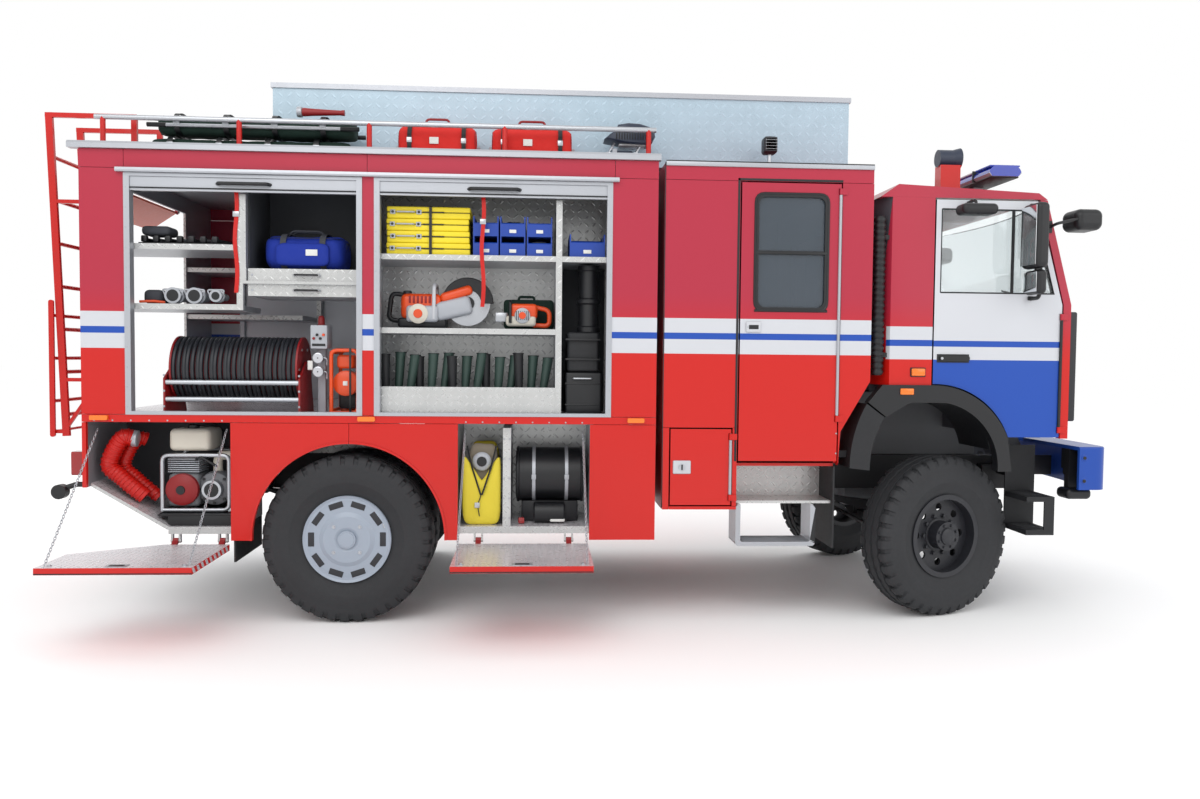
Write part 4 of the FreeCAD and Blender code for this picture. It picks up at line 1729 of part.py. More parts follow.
def door_mirrors():
    """Main, wide-angle and kerb mirrors with their arms, on the right-hand door."""
    y = -CAB_HALF
    x = MIRROR_ARM_X
    g = SEAT
    arm = bar([(x, y - g, 2775.0), (x, y - 120.0, 2775.0), (x, y - 120.0, 2160.0), (x, y - g, 2160.0)], 13.0)
    main = soft_box(x - 115.0, x - 25.0, y - MIRROR_OUT, y - 70.0, 2345.0, 2764.0, 34.0)
    wide = soft_box(x - 95.0, x - 25.0, y - 270.0, y - 80.0, 2177.0, 2335.0, 28.0)
    link = box(x - 35.0, x, y - 132.0, y - 108.0, 2200.0, 2700.0)
    kerb_x = CAB_DOOR_X[0] + 220.0
    kerb = soft_box(kerb_x - 120.0, kerb_x + 120.0, y - 210.0, y - 60.0, 2690.0, 2760.0, 32.0)
    kerb_arm = bar([(kerb_x, y - g, 2790.0), (kerb_x, y - 120.0, 2790.0), (kerb_x, y - 120.0, 2740.0)], 10.0, 24.0)
    return [arm.fuse([main, wide, link]), kerb.fuse(kerb_arm)]


def front_mirror():
    """Close-view mirror ahead of the right end of the windscreen, on a foot plate."""
    y = -CAB_HALF
    x = PILLAR_TOP[0]
    g = SEAT
    foot = box(x + 64.0, x + 87.0, y - 6.0 - g, y - g, 2600.0, 2680.0)
    arm = bar([(x + 76.0, y - 5.0, 2640.0), (x + 89.0, y - 62.0, 2655.0), (x + 239.0, y - 40.0, 2690.0)], 10.0, 24.0)
    head = soft_box(x + 229.0, x + 419.0, y - 60.0, y + 160.0, 2620.0, 2760.0, 46.0)
    return arm.fuse([foot, head])


def tyre(y):
    """A tyre centred at y over the axle line, plain but for its rounded shoulders."""
    half = TYRE_WIDTH / 2.0
    s = TYRE_SHOULDER
    r = TYRE_RADIUS
    b = TYRE_BORE
    bead = BEAD_HALF
    profile = [(y - bead, b), (y - bead, RIM_RADIUS + 4.0), ((y - half, (b + r) / 2.0), (y - half * 0.93, r - s)),
               ((y - half * 0.84, r - s * 0.3), (y - half * 0.68, r)), (y + half * 0.68, r),
               ((y + half * 0.84, r - s * 0.3), (y + half * 0.93, r - s)),
               ((y + half, (b + r) / 2.0), (y + bead, RIM_RADIUS + 4.0)), (y + bead, b)]
    return spun(profile, 0.0, AXLE_Z)


HAND_HOLES = 8
HAND_HOLE = 26.0
HAND_CIRCLE = 190.0


def rim(y, out):
    """A well-based rim and dished disc. The disc's face looks towards out (+1 or -1)."""
    w = BEAD_HALF + SEAT
    r = TYRE_BORE - SEAT
    t = RIM_GAUGE
    edge = w + RIM_LIP
    profile = [(y - edge, RIM_RADIUS), (y - edge, r - t), (y + edge, r - t), (y + edge, RIM_RADIUS),
               (y + w, RIM_RADIUS), (y + w, r), (y - w, r), (y - w, RIM_RADIUS)]
    hoop = spun(profile, 0.0, AXLE_Z)
    disc_y = y + out * 30.0
    disc = ring((0, disc_y - 8.0, AXLE_Z), (0, disc_y + 8.0, AXLE_Z), r - t + 1.0, 60.0)
    for i in range(HAND_HOLES):
        angle = 2.0 * math.pi * i / HAND_HOLES
        cx, cz = HAND_CIRCLE * math.cos(angle), AXLE_Z + HAND_CIRCLE * math.sin(angle)
        disc = disc.cut(rod((cx, disc_y - 20.0, cz), (cx, disc_y + 20.0, cz), HAND_HOLE))
    return hoop.fuse(disc)


def front_wheel():
    """Right front rim and hub, before steering."""
    y = -FRONT_WHEEL_Y
    hub = rod((0, y - 130.0, AXLE_Z), (0, y - 17.0, AXLE_Z), HUB_RADIUS - 20.0)
    bore = rod((0, y - 60.0, AXLE_Z), (0, y + 60.0, AXLE_Z), STUB_RADIUS + PIN_FIT)
    return rim(y, -1).fuse(hub).cut(bore)


COVER_SLOTS = 10
SLOT_CIRCLE = 222.0


def wheel_cover(y):
    """Pressed cover over the rear wheel: a raised middle, a slotted ring and a turned-out edge."""
    t = 12.0
    face = [(y - 118.0, 50.0), (y - 128.0, 80.0), (y - 128.0, 150.0), (y - 114.0, 178.0),
            (y - 114.0, 262.0), (y - 124.0, RIM_RADIUS - 2.0)]
    back = [(a + t, b) for a, b in reversed(face)]
    cover = spun(face + back, 0.0, AXLE_Z)
    for i in range(COVER_SLOTS):
        slot = box(-30.0, 30.0, y - 140.0, y - 90.0, AXLE_Z + SLOT_CIRCLE - 10.0, AXLE_Z + SLOT_CIRCLE + 10.0)
        cover = cover.cut(turned(slot, (0, 0, AXLE_Z), (0, 1, 0), 360.0 * (i + 0.5) / COVER_SLOTS))
    return cover


def rear_wheel():
    """Right-hand twin rims on one hub with the outer cover."""
    outer = -TWIN_OUTER_Y
    inner = outer + TWIN_PITCH
    hub = rod((0, outer - 110.0, AXLE_Z), (0, inner + 30.0, AXLE_Z), HUB_RADIUS)
    cap = rod((0, outer - 136.0, AXLE_Z), (0, outer - 100.0, AXLE_Z), 58.0)
    bore = rod((0, outer - 60.0, AXLE_Z), (0, inner + 60.0, AXLE_Z), REAR_SPINDLE + PIN_FIT)
    return rim(outer, -1).fuse([rim(inner, 1), hub, cap, wheel_cover(outer)]).cut(bore)


EAR_GAUGE = 34.0
EAR_HALF = 50.0
ARM_Z = AXLE_Z - BEAM_HEIGHT / 2.0 - SEAT - EAR_GAUGE
ARM_HEIGHT = 24.0


def knuckle():
    """Right stub axle: two ears round the beam end, kingpin, spindle and steering arm."""
    y = -KINGPIN_Y
    ear = BEAM_HEIGHT / 2.0 + SEAT
    top, low = AXLE_Z + ear, AXLE_Z - ear
    h = EAR_HALF
    ears = [box(-h, h, y - 60.0, y + 45.0, top, top + EAR_GAUGE),
            box(-h, h, y - 60.0, y + 45.0, low - EAR_GAUGE, low)]
    back = box(-h, h, y - 84.0, y - 66.0, low - EAR_GAUGE, top + EAR_GAUGE)
    bridge = [box(-h, h, y - 70.0, y - 55.0, top, top + EAR_GAUGE),
              box(-h, h, y - 70.0, y - 55.0, low - EAR_GAUGE, low)]
    pin = rod((0, y, low - 40.0), (0, y, top + 40.0), KINGPIN_RADIUS)
    spindle = rod((0, y - 70.0, AXLE_Z), (0, -FRONT_WHEEL_Y - 50.0, AXLE_Z), STUB_RADIUS)
    arm = box(-STEER_ARM - 24.0, -30.0, y - 18.0, y + 18.0, ARM_Z, ARM_Z + ARM_HEIGHT)
    return ears[0].fuse(ears[1:] + [back, pin, spindle, arm] + bridge)


def on_front_axle(shape, sign):
    """Carry a right-hand piece to the front axle, turned by the rest steering angle."""
    solid = shape if sign < 0 else mirrored(shape)
    solid = solid.copy()
    solid.translate(V(WHEELBASE, 0, 0))
    return turned(solid, (WHEELBASE, sign * KINGPIN_Y, 0), (0, 0, 1), REST_STEER)


def tie_rod():
    """Rod under the two steering arms, placed for the rest steering angle."""
    a = math.radians(REST_STEER)
    ends = []
    for sign in (-1, 1):
        x = WHEELBASE - STEER_ARM * math.cos(a)
        y = sign * KINGPIN_Y - STEER_ARM * math.sin(a)
        ends.append((x, y))
    z = ARM_Z - SEAT
    eyes = [rod((x, y, z - 34.0), (x, y, z), 26.0) for x, y in ends]
    tube = rod((ends[0][0], ends[0][1], z - 17.0), (ends[1][0], ends[1][1], z - 17.0), 15.0)
    return tube.fuse(eyes)


def build():
    save("chassis_frame", chassis_frame() + bumper_stays())
    save("axles_and_springs", axles_and_springs())
    save("engine_gearbox", engine_gearbox())
    save("front_bumper", [front_bumper()])
    save("body_sides", body_sides())
    save("body_structure", body_structure())
    save("locker_frames", locker_frames())
    save("shutters", shutters())
    save("crew_shell", crew_shell())
    save("crew_seats", crew_seats())
    save("steps_and_mudguards", steps_and_mudguards())
    save("roof_rails_and_ladder", roof_rails_and_ladder())
    save("roof_box", roof_box())
    save("roof_gear", roof_gear())
    save("shelves", shelves())
    save("hose_reel_frame", hose_reel_frame())
    save("hose_reel_drum", hose_reel_drum())
    save("stowed_cases", stowed_cases())
    save("stowed_bins", stowed_bins())
    save("stowed_tools", stowed_tools() + motor_pump())
    save("kit_bag", kit_bag())
    save("lamps", lamps() + front_lamps())
    save("flap_chains", flap_chains(LOW_A) + flap_chains(LOW_B))
    save("drop_ladder", drop_ladder())
    save("rear_hatch", rear_hatch())
    save("cab_shell", cab_shell())
    save("cab_front", cab_front())
    save("cab_screen", cab_screen())
    save("cab_interior", cab_interior())
    save("cab_arches", cab_arches())
    save("cab_beacons", light_bar() + roof_horn())
    save("front_mirrors", pair([front_mirror()]))
    save("flap_rear_right", flap(LOW_A))
    save("flap_mid_right", flap(LOW_B))
    save("flap_rear_left", mirrored(closed_flap(LOW_A)))
    save("flap_mid_left", mirrored(closed_flap(LOW_B)))
    for name, sign in (("right", -1), ("left", 1)):
        flip = (lambda s: s) if sign < 0 else mirrored
        save("cab_door_" + name, flip(cab_door()))
        save("cab_glass_" + name, flip(cab_door_glass()))
        save("mirrors_" + name, [flip(s) for s in door_mirrors()])
        save("crew_door_" + name, flip(crew_door()))
        save("crew_glass_" + name, flip(crew_glass()))
        save("locker_door_" + name, flip(locker_door()))
        save("tyre_front_" + name, on_front_axle(tyre(-FRONT_WHEEL_Y), sign))
        save("wheel_front_" + name, on_front_axle(front_wheel(), sign))
        save("knuckle_" + name, on_front_axle(knuckle(), sign))
        save("tyres_rear_" + name, [flip(tyre(-TWIN_OUTER_Y)), flip(tyre(TWIN_PITCH - TWIN_OUTER_Y))])
        save("wheel_rear_" + name, flip(rear_wheel()))
    save("tie_rod", tie_rod())


build()
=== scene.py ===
"""Fire engine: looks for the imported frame, laid out as a Blender add-on."""
import math

import bpy
import bmesh
from bpy.props import FloatProperty, FloatVectorProperty, PointerProperty
from mathutils import Matrix, Vector
from mathutils.noise import noise as wave


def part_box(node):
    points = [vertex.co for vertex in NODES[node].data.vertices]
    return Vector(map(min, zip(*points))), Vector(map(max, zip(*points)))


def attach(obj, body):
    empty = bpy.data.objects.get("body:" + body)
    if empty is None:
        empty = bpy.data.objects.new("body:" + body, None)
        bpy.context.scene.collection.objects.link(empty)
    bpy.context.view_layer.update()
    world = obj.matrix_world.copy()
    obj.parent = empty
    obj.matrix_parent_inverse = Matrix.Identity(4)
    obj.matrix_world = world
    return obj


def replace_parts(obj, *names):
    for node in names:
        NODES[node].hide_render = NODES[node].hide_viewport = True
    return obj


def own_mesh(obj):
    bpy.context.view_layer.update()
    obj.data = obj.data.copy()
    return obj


bl_info = {"name": "Fire engine", "version": (1, 0, 0), "blender": (4, 5, 0),
    "location": "View3D > Sidebar > Fire engine",
    "description": "Builds the visible pieces and finishes of a two-axle fire engine",
    "category": "Object", }

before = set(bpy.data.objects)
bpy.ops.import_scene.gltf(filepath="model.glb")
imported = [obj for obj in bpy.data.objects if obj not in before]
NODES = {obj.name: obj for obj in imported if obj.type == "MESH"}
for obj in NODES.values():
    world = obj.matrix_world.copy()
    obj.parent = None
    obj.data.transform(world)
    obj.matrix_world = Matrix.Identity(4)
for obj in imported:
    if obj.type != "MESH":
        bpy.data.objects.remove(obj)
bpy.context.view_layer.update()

# AXLE_BACK is how far the frame's origin lies ahead of the rear axle, MIDDLE_Y the y of the
# vehicle's middle plane, both in metres.
WHEEL_LOW, WHEEL_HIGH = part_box("wheel_rear_right")
AXLE_BACK = -0.5 * (WHEEL_LOW.x + WHEEL_HIGH.x)
MIDDLE_Y = 0.5 * (WHEEL_LOW.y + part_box("wheel_rear_left")[1].y)


def at(x, y, z):
    """A point given in millimetres from the rear axle, in the frame's metres."""
    return Vector((x / 1000 - AXLE_BACK, y / 1000 + MIDDLE_Y, z / 1000))


def sided(sign, a, b):
    """A range of y on the left (1) or right (-1) side, lower end first."""
    return tuple(sorted((sign * a, sign * b)))


def around(count, phase=0):
    """Angles of equal steps round a circle."""
    return [2 * math.pi * (k + phase) / count for k in range(count)]


MATERIALS = {}
SIDES = (("right", -1), ("left", 1))
RIGHT, LEFT, AHEAD, UP = (0, -1, 0), (0, 1, 0), (1, 0, 0), (0, 0, 1)

# Heights in millimetres: cabin roof, open bays' floor, lower lockers' floor and shelves. Then the y
# between which gear stands on a shelf, and the least radius that is drawn.
ROOF_Z = 3012
BAY_FLOOR = 1349
LOW_FLOOR = 628.5
MID_SHELF = 1922
TOP_SHELF = 2395.3
GEAR_OUT, GEAR_IN = -1140, -700
THINNEST = 0.01


class Sock:
    """A node's output socket, with arithmetic that adds Math nodes."""

    def __init__(self, tree, socket):
        self.tree = tree
        self.socket = socket

    def math(self, operation, *values):
        inputs = {i: v for i, v in enumerate((self,) + values)}
        return self.tree.node("ShaderNodeMath", {"operation": operation}, inputs)

    def __add__(self, other):
        return self.math("ADD", other)

    def __mul__(self, other):
        return self.math("MULTIPLY", other)

    def __sub__(self, other):
        return self.math("SUBTRACT", other)

    def __rsub__(self, other):
        return self * -1 + other

    def __gt__(self, other):
        return self.math("GREATER_THAN", other)

    def __lt__(self, other):
        return self.math("LESS_THAN", other)

    def fract(self):
        return self.math("FRACT")

    def floor(self):
        return self.math("FLOOR")

    def clamp(self):
        return self.tree.node("ShaderNodeClamp", {}, {"Value": self})


class Tree:
    """A material's nodes around one Principled shader."""

    def __init__(self, name, **fixed):
        self.material = bpy.data.materials.new(name)
        self.material.use_nodes = True
        self.nodes = self.material.node_tree.nodes
        self.links = self.material.node_tree.links
        self.shader = self.nodes["Principled BSDF"]
        MATERIALS[name] = self.material
        for socket, value in fixed.items():
            self.shader.inputs[socket.replace("_", " ")].default_value = value

    def node(self, kind, settings=None, inputs=None, out=0):
        """Add a node: its settings first, then the values or links of its sockets."""
        node = self.nodes.new(kind)
        stops = (settings or {}).get("stops")
        for key, value in (settings or {}).items():
            if key != "stops":
                setattr(node, key, value)
        if stops:
            ramp = node.color_ramp
            while len(ramp.elements) < len(stops):
                ramp.elements.new(0.5)
            for element, (position, colour) in zip(ramp.elements, stops):
                element.position = position
                element.color = colour
        for key, value in (inputs or {}).items():
            socket = node.inputs[key]
            if isinstance(value, Sock):
                self.links.new(value.socket, socket)
            else:
                socket.default_value = value
        return Sock(self, node.outputs[out])

    def feed(self, socket, value):
        self.links.new(value.socket, self.shader.inputs[socket])

    def place(self):
        return self.node("ShaderNodeTexCoord", out="Object")

    def noise(self, scale, detail=4, rough=0.55, where=None, stretch=None):
        point = where or self.place()
        if stretch:
            point = self.node("ShaderNodeMapping", {}, {"Vector": point, "Scale": stretch})
        return self.node("ShaderNodeTexNoise", {}, {"Vector": point, "Scale": scale, "Detail": detail,
                                                     "Roughness": rough}, out="Fac")

    def mix(self, factor, a, b):
        """Mix two colours."""
        return self.node("ShaderNodeMix", {"data_type": "RGBA"}, {"Factor": factor, 6: a, 7: b}, out=2)

    def axis(self, index, point=None):
        return self.node("ShaderNodeSeparateXYZ", {}, {"Vector": point or self.place()}, out=index)

    def band(self, value, low, high, soft=0.0004):
        """1 where low < value < high."""
        up, down = (self.node("ShaderNodeMapRange", {}, {"Value": value, "From Min": edge - soft,
                                                         "From Max": edge + soft})
                    for edge in (low, high))
        return up * (1 - down)

    def bump(self, height, strength=0.2, distance=0.001):
        inputs = {"Height": height, "Strength": strength, "Distance": distance}
        self.feed("Normal", self.node("ShaderNodeBump", {}, inputs, out="Normal"))


def rgb(r, g, b):
    """A linear colour from 0-255 screen values."""
    return tuple((v / 255) ** 2.2 for v in (r, g, b)) + (1,)


def plain(name, colour, rough=0.45, grain=0, wear=0.08, **fixed):
    """A material of one colour, slightly uneven in shade and roughness, with an optional grain."""
    tree = Tree(name, **fixed)
    soft = tree.noise(3)
    darker = tuple(c * (1 - 2 * wear) for c in colour[:3]) + (1,)
    tree.feed("Base Color", tree.mix(soft, darker, colour))
    tree.feed("Roughness", (tree.noise(40) * 0.16 + (rough - 0.08)).clamp())
    if grain:
        tree.bump(tree.noise(grain, detail=2), strength=0.25)
    return tree


def lozenges(across, up, pitch):
    """Height of a raised pattern: short bars that change direction from cell to cell."""
    u, v = across * (1 / pitch), up * (1 / pitch)
    parity = ((u.floor() + v.floor()) * 0.5).fract() * 2
    a = u.fract() - 0.5
    b = v.fract() - 0.5
    along = (a + b) * 0.7071
    over = (a - b) * 0.7071
    first = along * along * 5.5 + over * over * 60
    second = along * along * 60 + over * over * 5.5
    shape = first * parity + second * (1 - parity)
    return (1 - shape).clamp()


def plate(name, colour, index_u, index_v, pitch, rough=0.3, metal=0.85, rise=0.35):
    """Aluminium plate with a raised pattern in the plane of two axes."""
    tree = Tree(name, Metallic=metal)
    place = tree.place()
    height = lozenges(tree.axis(index_u, place), tree.axis(index_v, place), pitch)
    dull = tuple(c * 0.8 for c in colour[:3]) + (1,)
    tree.feed("Base Color", tree.mix(height, tree.mix(tree.noise(6), dull, colour), colour))
    tree.feed("Roughness", (tree.noise(30) * 0.2 + rough - 0.1 + height * -0.08).clamp())
    tree.bump(height, strength=rise, distance=0.004)
    return tree


class Shape:
    """A mesh in the making. Lengths are millimetres from the rear axle, or from an origin there."""

    def __init__(self, name, origin=(0, 0, 0)):
        self.name = name
        self.origin = Vector(origin)
        self.bm = bmesh.new()
        self.slots = []

    def paint(self, material, faces):
        if material not in self.slots:
            self.slots.append(material)
        index = self.slots.index(material)
        for face in faces:
            face.material_index = index

    def box(self, material, x, y, z, round_by=3, segments=2, turn=None):
        """A block with rounded edges. turn is (centre, axis, degrees)."""
        verts = bmesh.ops.create_cube(self.bm, size=1)["verts"]
        size = Vector((x[1] - x[0], y[1] - y[0], z[1] - z[0]))
        mid = Vector((x[0] + x[1], y[0] + y[1], z[0] + z[1])) * 0.5
        for vert in verts:
            vert.co = Vector((vert.co.x * size.x, vert.co.y * size.y, vert.co.z * size.z)) + mid
        if round_by:
            edges = {edge for vert in verts for edge in vert.link_edges}
            verts = bmesh.ops.bevel(self.bm, geom=list(edges), offset=min(round_by, 0.49 * min(size)),
                                    segments=segments, affect="EDGES", profile=0.5)["verts"]
        faces = {face for vert in verts for face in vert.link_faces}
        if turn:
            spin = Matrix.Rotation(math.radians(turn[2]), 3, Vector(turn[1]))
            centre = Vector(turn[0])
            for vert in {vert for face in faces for vert in face.verts}:
                vert.co = spin @ (vert.co - centre) + centre
        self.paint(material, faces)

    def rings(self, material, loops, closed=False, caps=True):
        """Skin a list of equal vertex loops."""
        made = [[self.bm.verts.new(point) for point in loop] for loop in loops]
        faces = []
        count = len(made[0])
        pairs = list(zip(made[:-1], made[1:]))
        if closed:
            pairs.append((made[-1], made[0]))
        for first, second in pairs:
            for i in range(count):
                j = (i + 1) % count
                faces.append(self.bm.faces.new((first[i], first[j], second[j], second[i])))
        if caps and not closed:
            faces.append(self.bm.faces.new(list(reversed(made[0]))))
            faces.append(self.bm.faces.new(made[-1]))
        self.paint(material, faces)

    def turned(self, material, centre, axis, profile, steps=32, closed=False):
        """Revolve (along, radius) pairs about an axis through a centre."""
        axis = Vector(axis).normalized()
        side = axis.orthogonal().normalized()
        other = axis.cross(side)
        loops = [[Vector(centre) + axis * along
                  + (side * math.cos(a) + other * math.sin(a)) * max(radius, THINNEST)
                  for a in around(steps)] for along, radius in profile]
        self.rings(material, loops, closed=closed, caps=not closed)

    def pipe(self, material, points, radius, sides=10, closed=False, flat=1):
        """A tube along points, or a strap where flat is less than 1."""
        points = [Vector(p) for p in points]
        count = len(points)
        loops = []
        side = None
        for i, here in enumerate(points):
            before = points[i - 1] if i or closed else here
            after = points[(i + 1) % count] if i < count - 1 or closed else here
            ahead = (after - before).normalized()
            side = ahead.orthogonal() if side is None else side - ahead * side.dot(ahead)
            side.normalize()
            other = ahead.cross(side)
            loops.append([here + (side * math.cos(a) + other * math.sin(a) * flat) * radius
                          for a in around(sides)])
        self.rings(material, loops, closed=closed, caps=not closed)

    def bent(self, material, points, radius, bend=30, sides=10):
        """A tube whose corners are rounded by short curves."""
        corners = [Vector(p) for p in points]
        path = [corners[0]]
        for before, here, after in zip(corners[:-2], corners[1:-1], corners[2:]):
            reach = min(bend, 0.45 * (here - before).length, 0.45 * (after - here).length)
            a = here + (before - here).normalized() * reach
            b = here + (after - here).normalized() * reach
            path.extend([(1 - t) ** 2 * a + 2 * t * (1 - t) * here + t * t * b
                         for t in (0, 0.25, 0.5, 0.75, 1)])
        path.append(corners[-1])
        self.pipe(material, path, radius, sides)

    def done(self, body="chassis", crease=40, move=None):
        """Close the mesh, hand it to the scene and let it ride on a body."""
        for vert in self.bm.verts:
            point = vert.co + self.origin
            vert.co = at(*(move(point) if move else point))
        bmesh.ops.recalc_face_normals(self.bm, faces=self.bm.faces)
        mesh = bpy.data.meshes.new(self.name)
        self.bm.to_mesh(mesh)
        self.bm.free()
        for name in self.slots:
            mesh.materials.append(MATERIALS[name])
        obj = bpy.data.objects.new(self.name, mesh)
        bpy.context.scene.collection.objects.link(obj)
        mesh.shade_smooth()
        mesh.set_sharp_from_angle(angle=math.radians(crease))
        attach(obj, body)
        return obj


class EngineColours(bpy.types.PropertyGroup):
    red: FloatVectorProperty(name="Red paint", description="Body colour", subtype="COLOR",
                             size=4, min=0, max=1, default=(0.56, 0.01, 0.006, 1))
    # Painted shade: the darker, bluer red that the body red turns to above the stripe.
    shaded_upper_red: FloatVectorProperty(name="Upper red", description="Painted shade on the body red above the stripe",
                                 subtype="COLOR", size=4, min=0, max=1,
                                 default=(0.4, 0.022, 0.05, 1))
    blue: FloatVectorProperty(name="Blue paint", description="Stripe and bumper colour",
                              subtype="COLOR", size=4, min=0, max=1,
                              default=(0.01, 0.066, 0.38, 1))
    white: FloatVectorProperty(name="White paint", description="Stripe edges and cab door colour",
                               subtype="COLOR", size=4, min=0, max=1,
                               default=(0.56, 0.575, 0.61, 1))


class EngineSizes(bpy.types.PropertyGroup):
    lens: FloatProperty(name="Lens", description="Focal length on a 36 mm frame",
                        default=29.7135, unit="CAMERA")
    floor: FloatProperty(name="Floor", description="Half size of the floor", default=90, unit="LENGTH")
    stripe_low: FloatProperty(name="Stripe foot", description="Lower edge of the white stripe",
                              default=1.77, unit="LENGTH")
    stripe_high: FloatProperty(name="Stripe top", description="Upper edge of the white stripe",
                               default=2.001, unit="LENGTH")


# The photograph's camera, in radians, and its place in millimetres from the rear axle.
CAMERA_YAW, CAMERA_PITCH, CAMERA_ROLL = 0.0656, -0.0435, -0.0098
CAMERA_PLACE = (1209.4, -7673.5, 1746.6)
FLOOR_Z = -0.002


class FIRE_OT_stage(bpy.types.Operator):
    """Floor, backdrop, lamps and camera"""
    bl_idname = "fire.stage"
    bl_label = "Stage"

    def execute(self, context):
        scene = context.scene
        scene.view_settings.view_transform = "Standard"
        sizes = scene.fire_sizes
        mesh = bpy.data.meshes.new("floor")
        h = sizes.floor
        corners = [(x * h, y * h, FLOOR_Z) for x, y in ((-1, -1), (1, -1), (1, 1), (-1, 1))]
        mesh.from_pydata(corners, [], [(0, 1, 2, 3)])
        floor = bpy.data.objects.new("floor", mesh)
        scene.collection.objects.link(floor)
        tree = Tree("floor_white", Roughness=1, Specular_IOR_Level=0)
        tree.shader.inputs["Base Color"].default_value = (1, 1, 1, 1)
        mesh.materials.append(tree.material)
        world = bpy.data.worlds.new("studio")
        scene.world = world
        world.use_nodes = True
        world.node_tree.nodes["Background"].inputs["Color"].default_value = (1, 1, 1, 1)
        for name, place, aim, size, power in (("key", (-3, -9, 8), (0, -1, 1), 7, 330),
                ("fill", (7, -7, 5), (1.5, 0, 1.2), 6, 120),
                ("back", (-4, 8, 8), (0, 0, 1.5), 7, 200)):
            lamp = bpy.data.lights.new(name, "AREA")
            lamp.shape = "SQUARE"
            lamp.size = size
            lamp.energy = power
            holder = bpy.data.objects.new(name, lamp)
            holder.location = place
            holder.rotation_euler = (Vector(aim) - Vector(place)).to_track_quat("-Z", "Y").to_euler()
            scene.collection.objects.link(holder)
        camera = bpy.data.cameras.new("camera")
        camera.lens = sizes.lens
        camera.clip_end = 200
        eye = bpy.data.objects.new("camera", camera)
        yaw, pitch = CAMERA_YAW, CAMERA_PITCH
        forward = Vector((math.sin(yaw) * math.cos(pitch), math.cos(yaw) * math.cos(pitch),
                          math.sin(pitch)))
        right = Vector((math.cos(yaw), -math.sin(yaw), 0))
        up = right.cross(forward)
        spin = Matrix.Rotation(CAMERA_ROLL, 3, forward)
        turn = Matrix((spin @ right, spin @ up, -forward)).transposed()
        eye.matrix_world = Matrix.Translation(at(*CAMERA_PLACE)) @ turn.to_4x4()
        scene.collection.objects.link(eye)
        scene.camera = eye
        return {"FINISHED"}


def named(names):
    """The CAD nodes of a list in which * stands for either side."""
    return [name.replace("*", side) for name in names.split()
            for side in (("right", "left") if "*" in name else ("",))]


def dress(nodes, names):
    """Give CAD nodes their materials, the first one everywhere."""
    for node in named(nodes):
        mesh = NODES[node].data
        mesh.materials.clear()
        for name in names.split():
            mesh.materials.append(MATERIALS[name])
        for polygon in mesh.polygons:
            polygon.material_index = 0


def where(nodes, index, test):
    """Give the faces that pass a test, on centre and normal, another of their node's materials."""
    for node in named(nodes):
        for polygon in NODES[node].data.polygons:
            centre = polygon.center * 1000
            centre.x += AXLE_BACK * 1000
            centre.y -= MIDDLE_Y * 1000
            if test(centre, polygon.normal):
                polygon.material_index = index


# Gloss paint. The stripe is painted where the skin lies further out than this, with a line in it.
GLOSS = {"Coat_Weight": 0.2, "Coat_Roughness": 0.08, "Roughness": 0.34, "Specular_IOR_Level": 0.3}
STRIPE_FROM_MIDDLE = 1.19
HALF_LINE = 0.021
CAB_STRIPE_END = 2.27


def red_paint(name, colours, sizes, stripe_end=None):
    """Gloss red that turns a darker, bluer red above the white stripe with its blue line; that upper
    red is painted shade.
    """
    tree = Tree(name, **GLOSS)
    place = tree.place()
    z = tree.axis(2, place)
    # Painted shade: the red darkens from 1.7 m up to 2.2 m.
    shade_fade = tree.node("ShaderNodeMapRange", {"interpolation_type": "SMOOTHSTEP"},
                     {"Value": z, "From Min": 1.7, "From Max": 2.2})
    base = tree.mix(shade_fade, colours.red, colours.shaded_upper_red)
    base = tree.mix(tree.noise(1.4) * 0.12, base, tuple(c * 0.7 for c in colours.red[:3]) + (1,))
    low, high = sizes.stripe_low, sizes.stripe_high
    if stripe_end is not None:
        low, high = low - 0.023, high - 0.036
    mid = 0.5 * (low + high)
    side = tree.axis(1, place) - MIDDLE_Y
    outside = (side * side) > STRIPE_FROM_MIDDLE ** 2
    band = tree.band(z, low, high) * outside
    line = tree.band(z, mid - HALF_LINE, mid + HALF_LINE) * outside
    if stripe_end is not None:
        reach = tree.axis(0, place) < stripe_end
        band, line = band * reach, line * reach
    tree.feed("Base Color", tree.mix(line, tree.mix(band, base, colours.white), colours.blue))
    tree.bump(tree.noise(2.2, detail=1), strength=0.05, distance=0.01)


def door_paint(colours):
    """Cab door: white above, a blue line, a white stripe and blue below."""
    tree = Tree("door_paint", **GLOSS)
    z = tree.axis(2)
    lower = tree.band(z, 1, 1.747)
    line = tree.band(z, 1.834, 1.874)
    tree.feed("Base Color", tree.mix((lower + line).clamp(), colours.white, colours.blue))


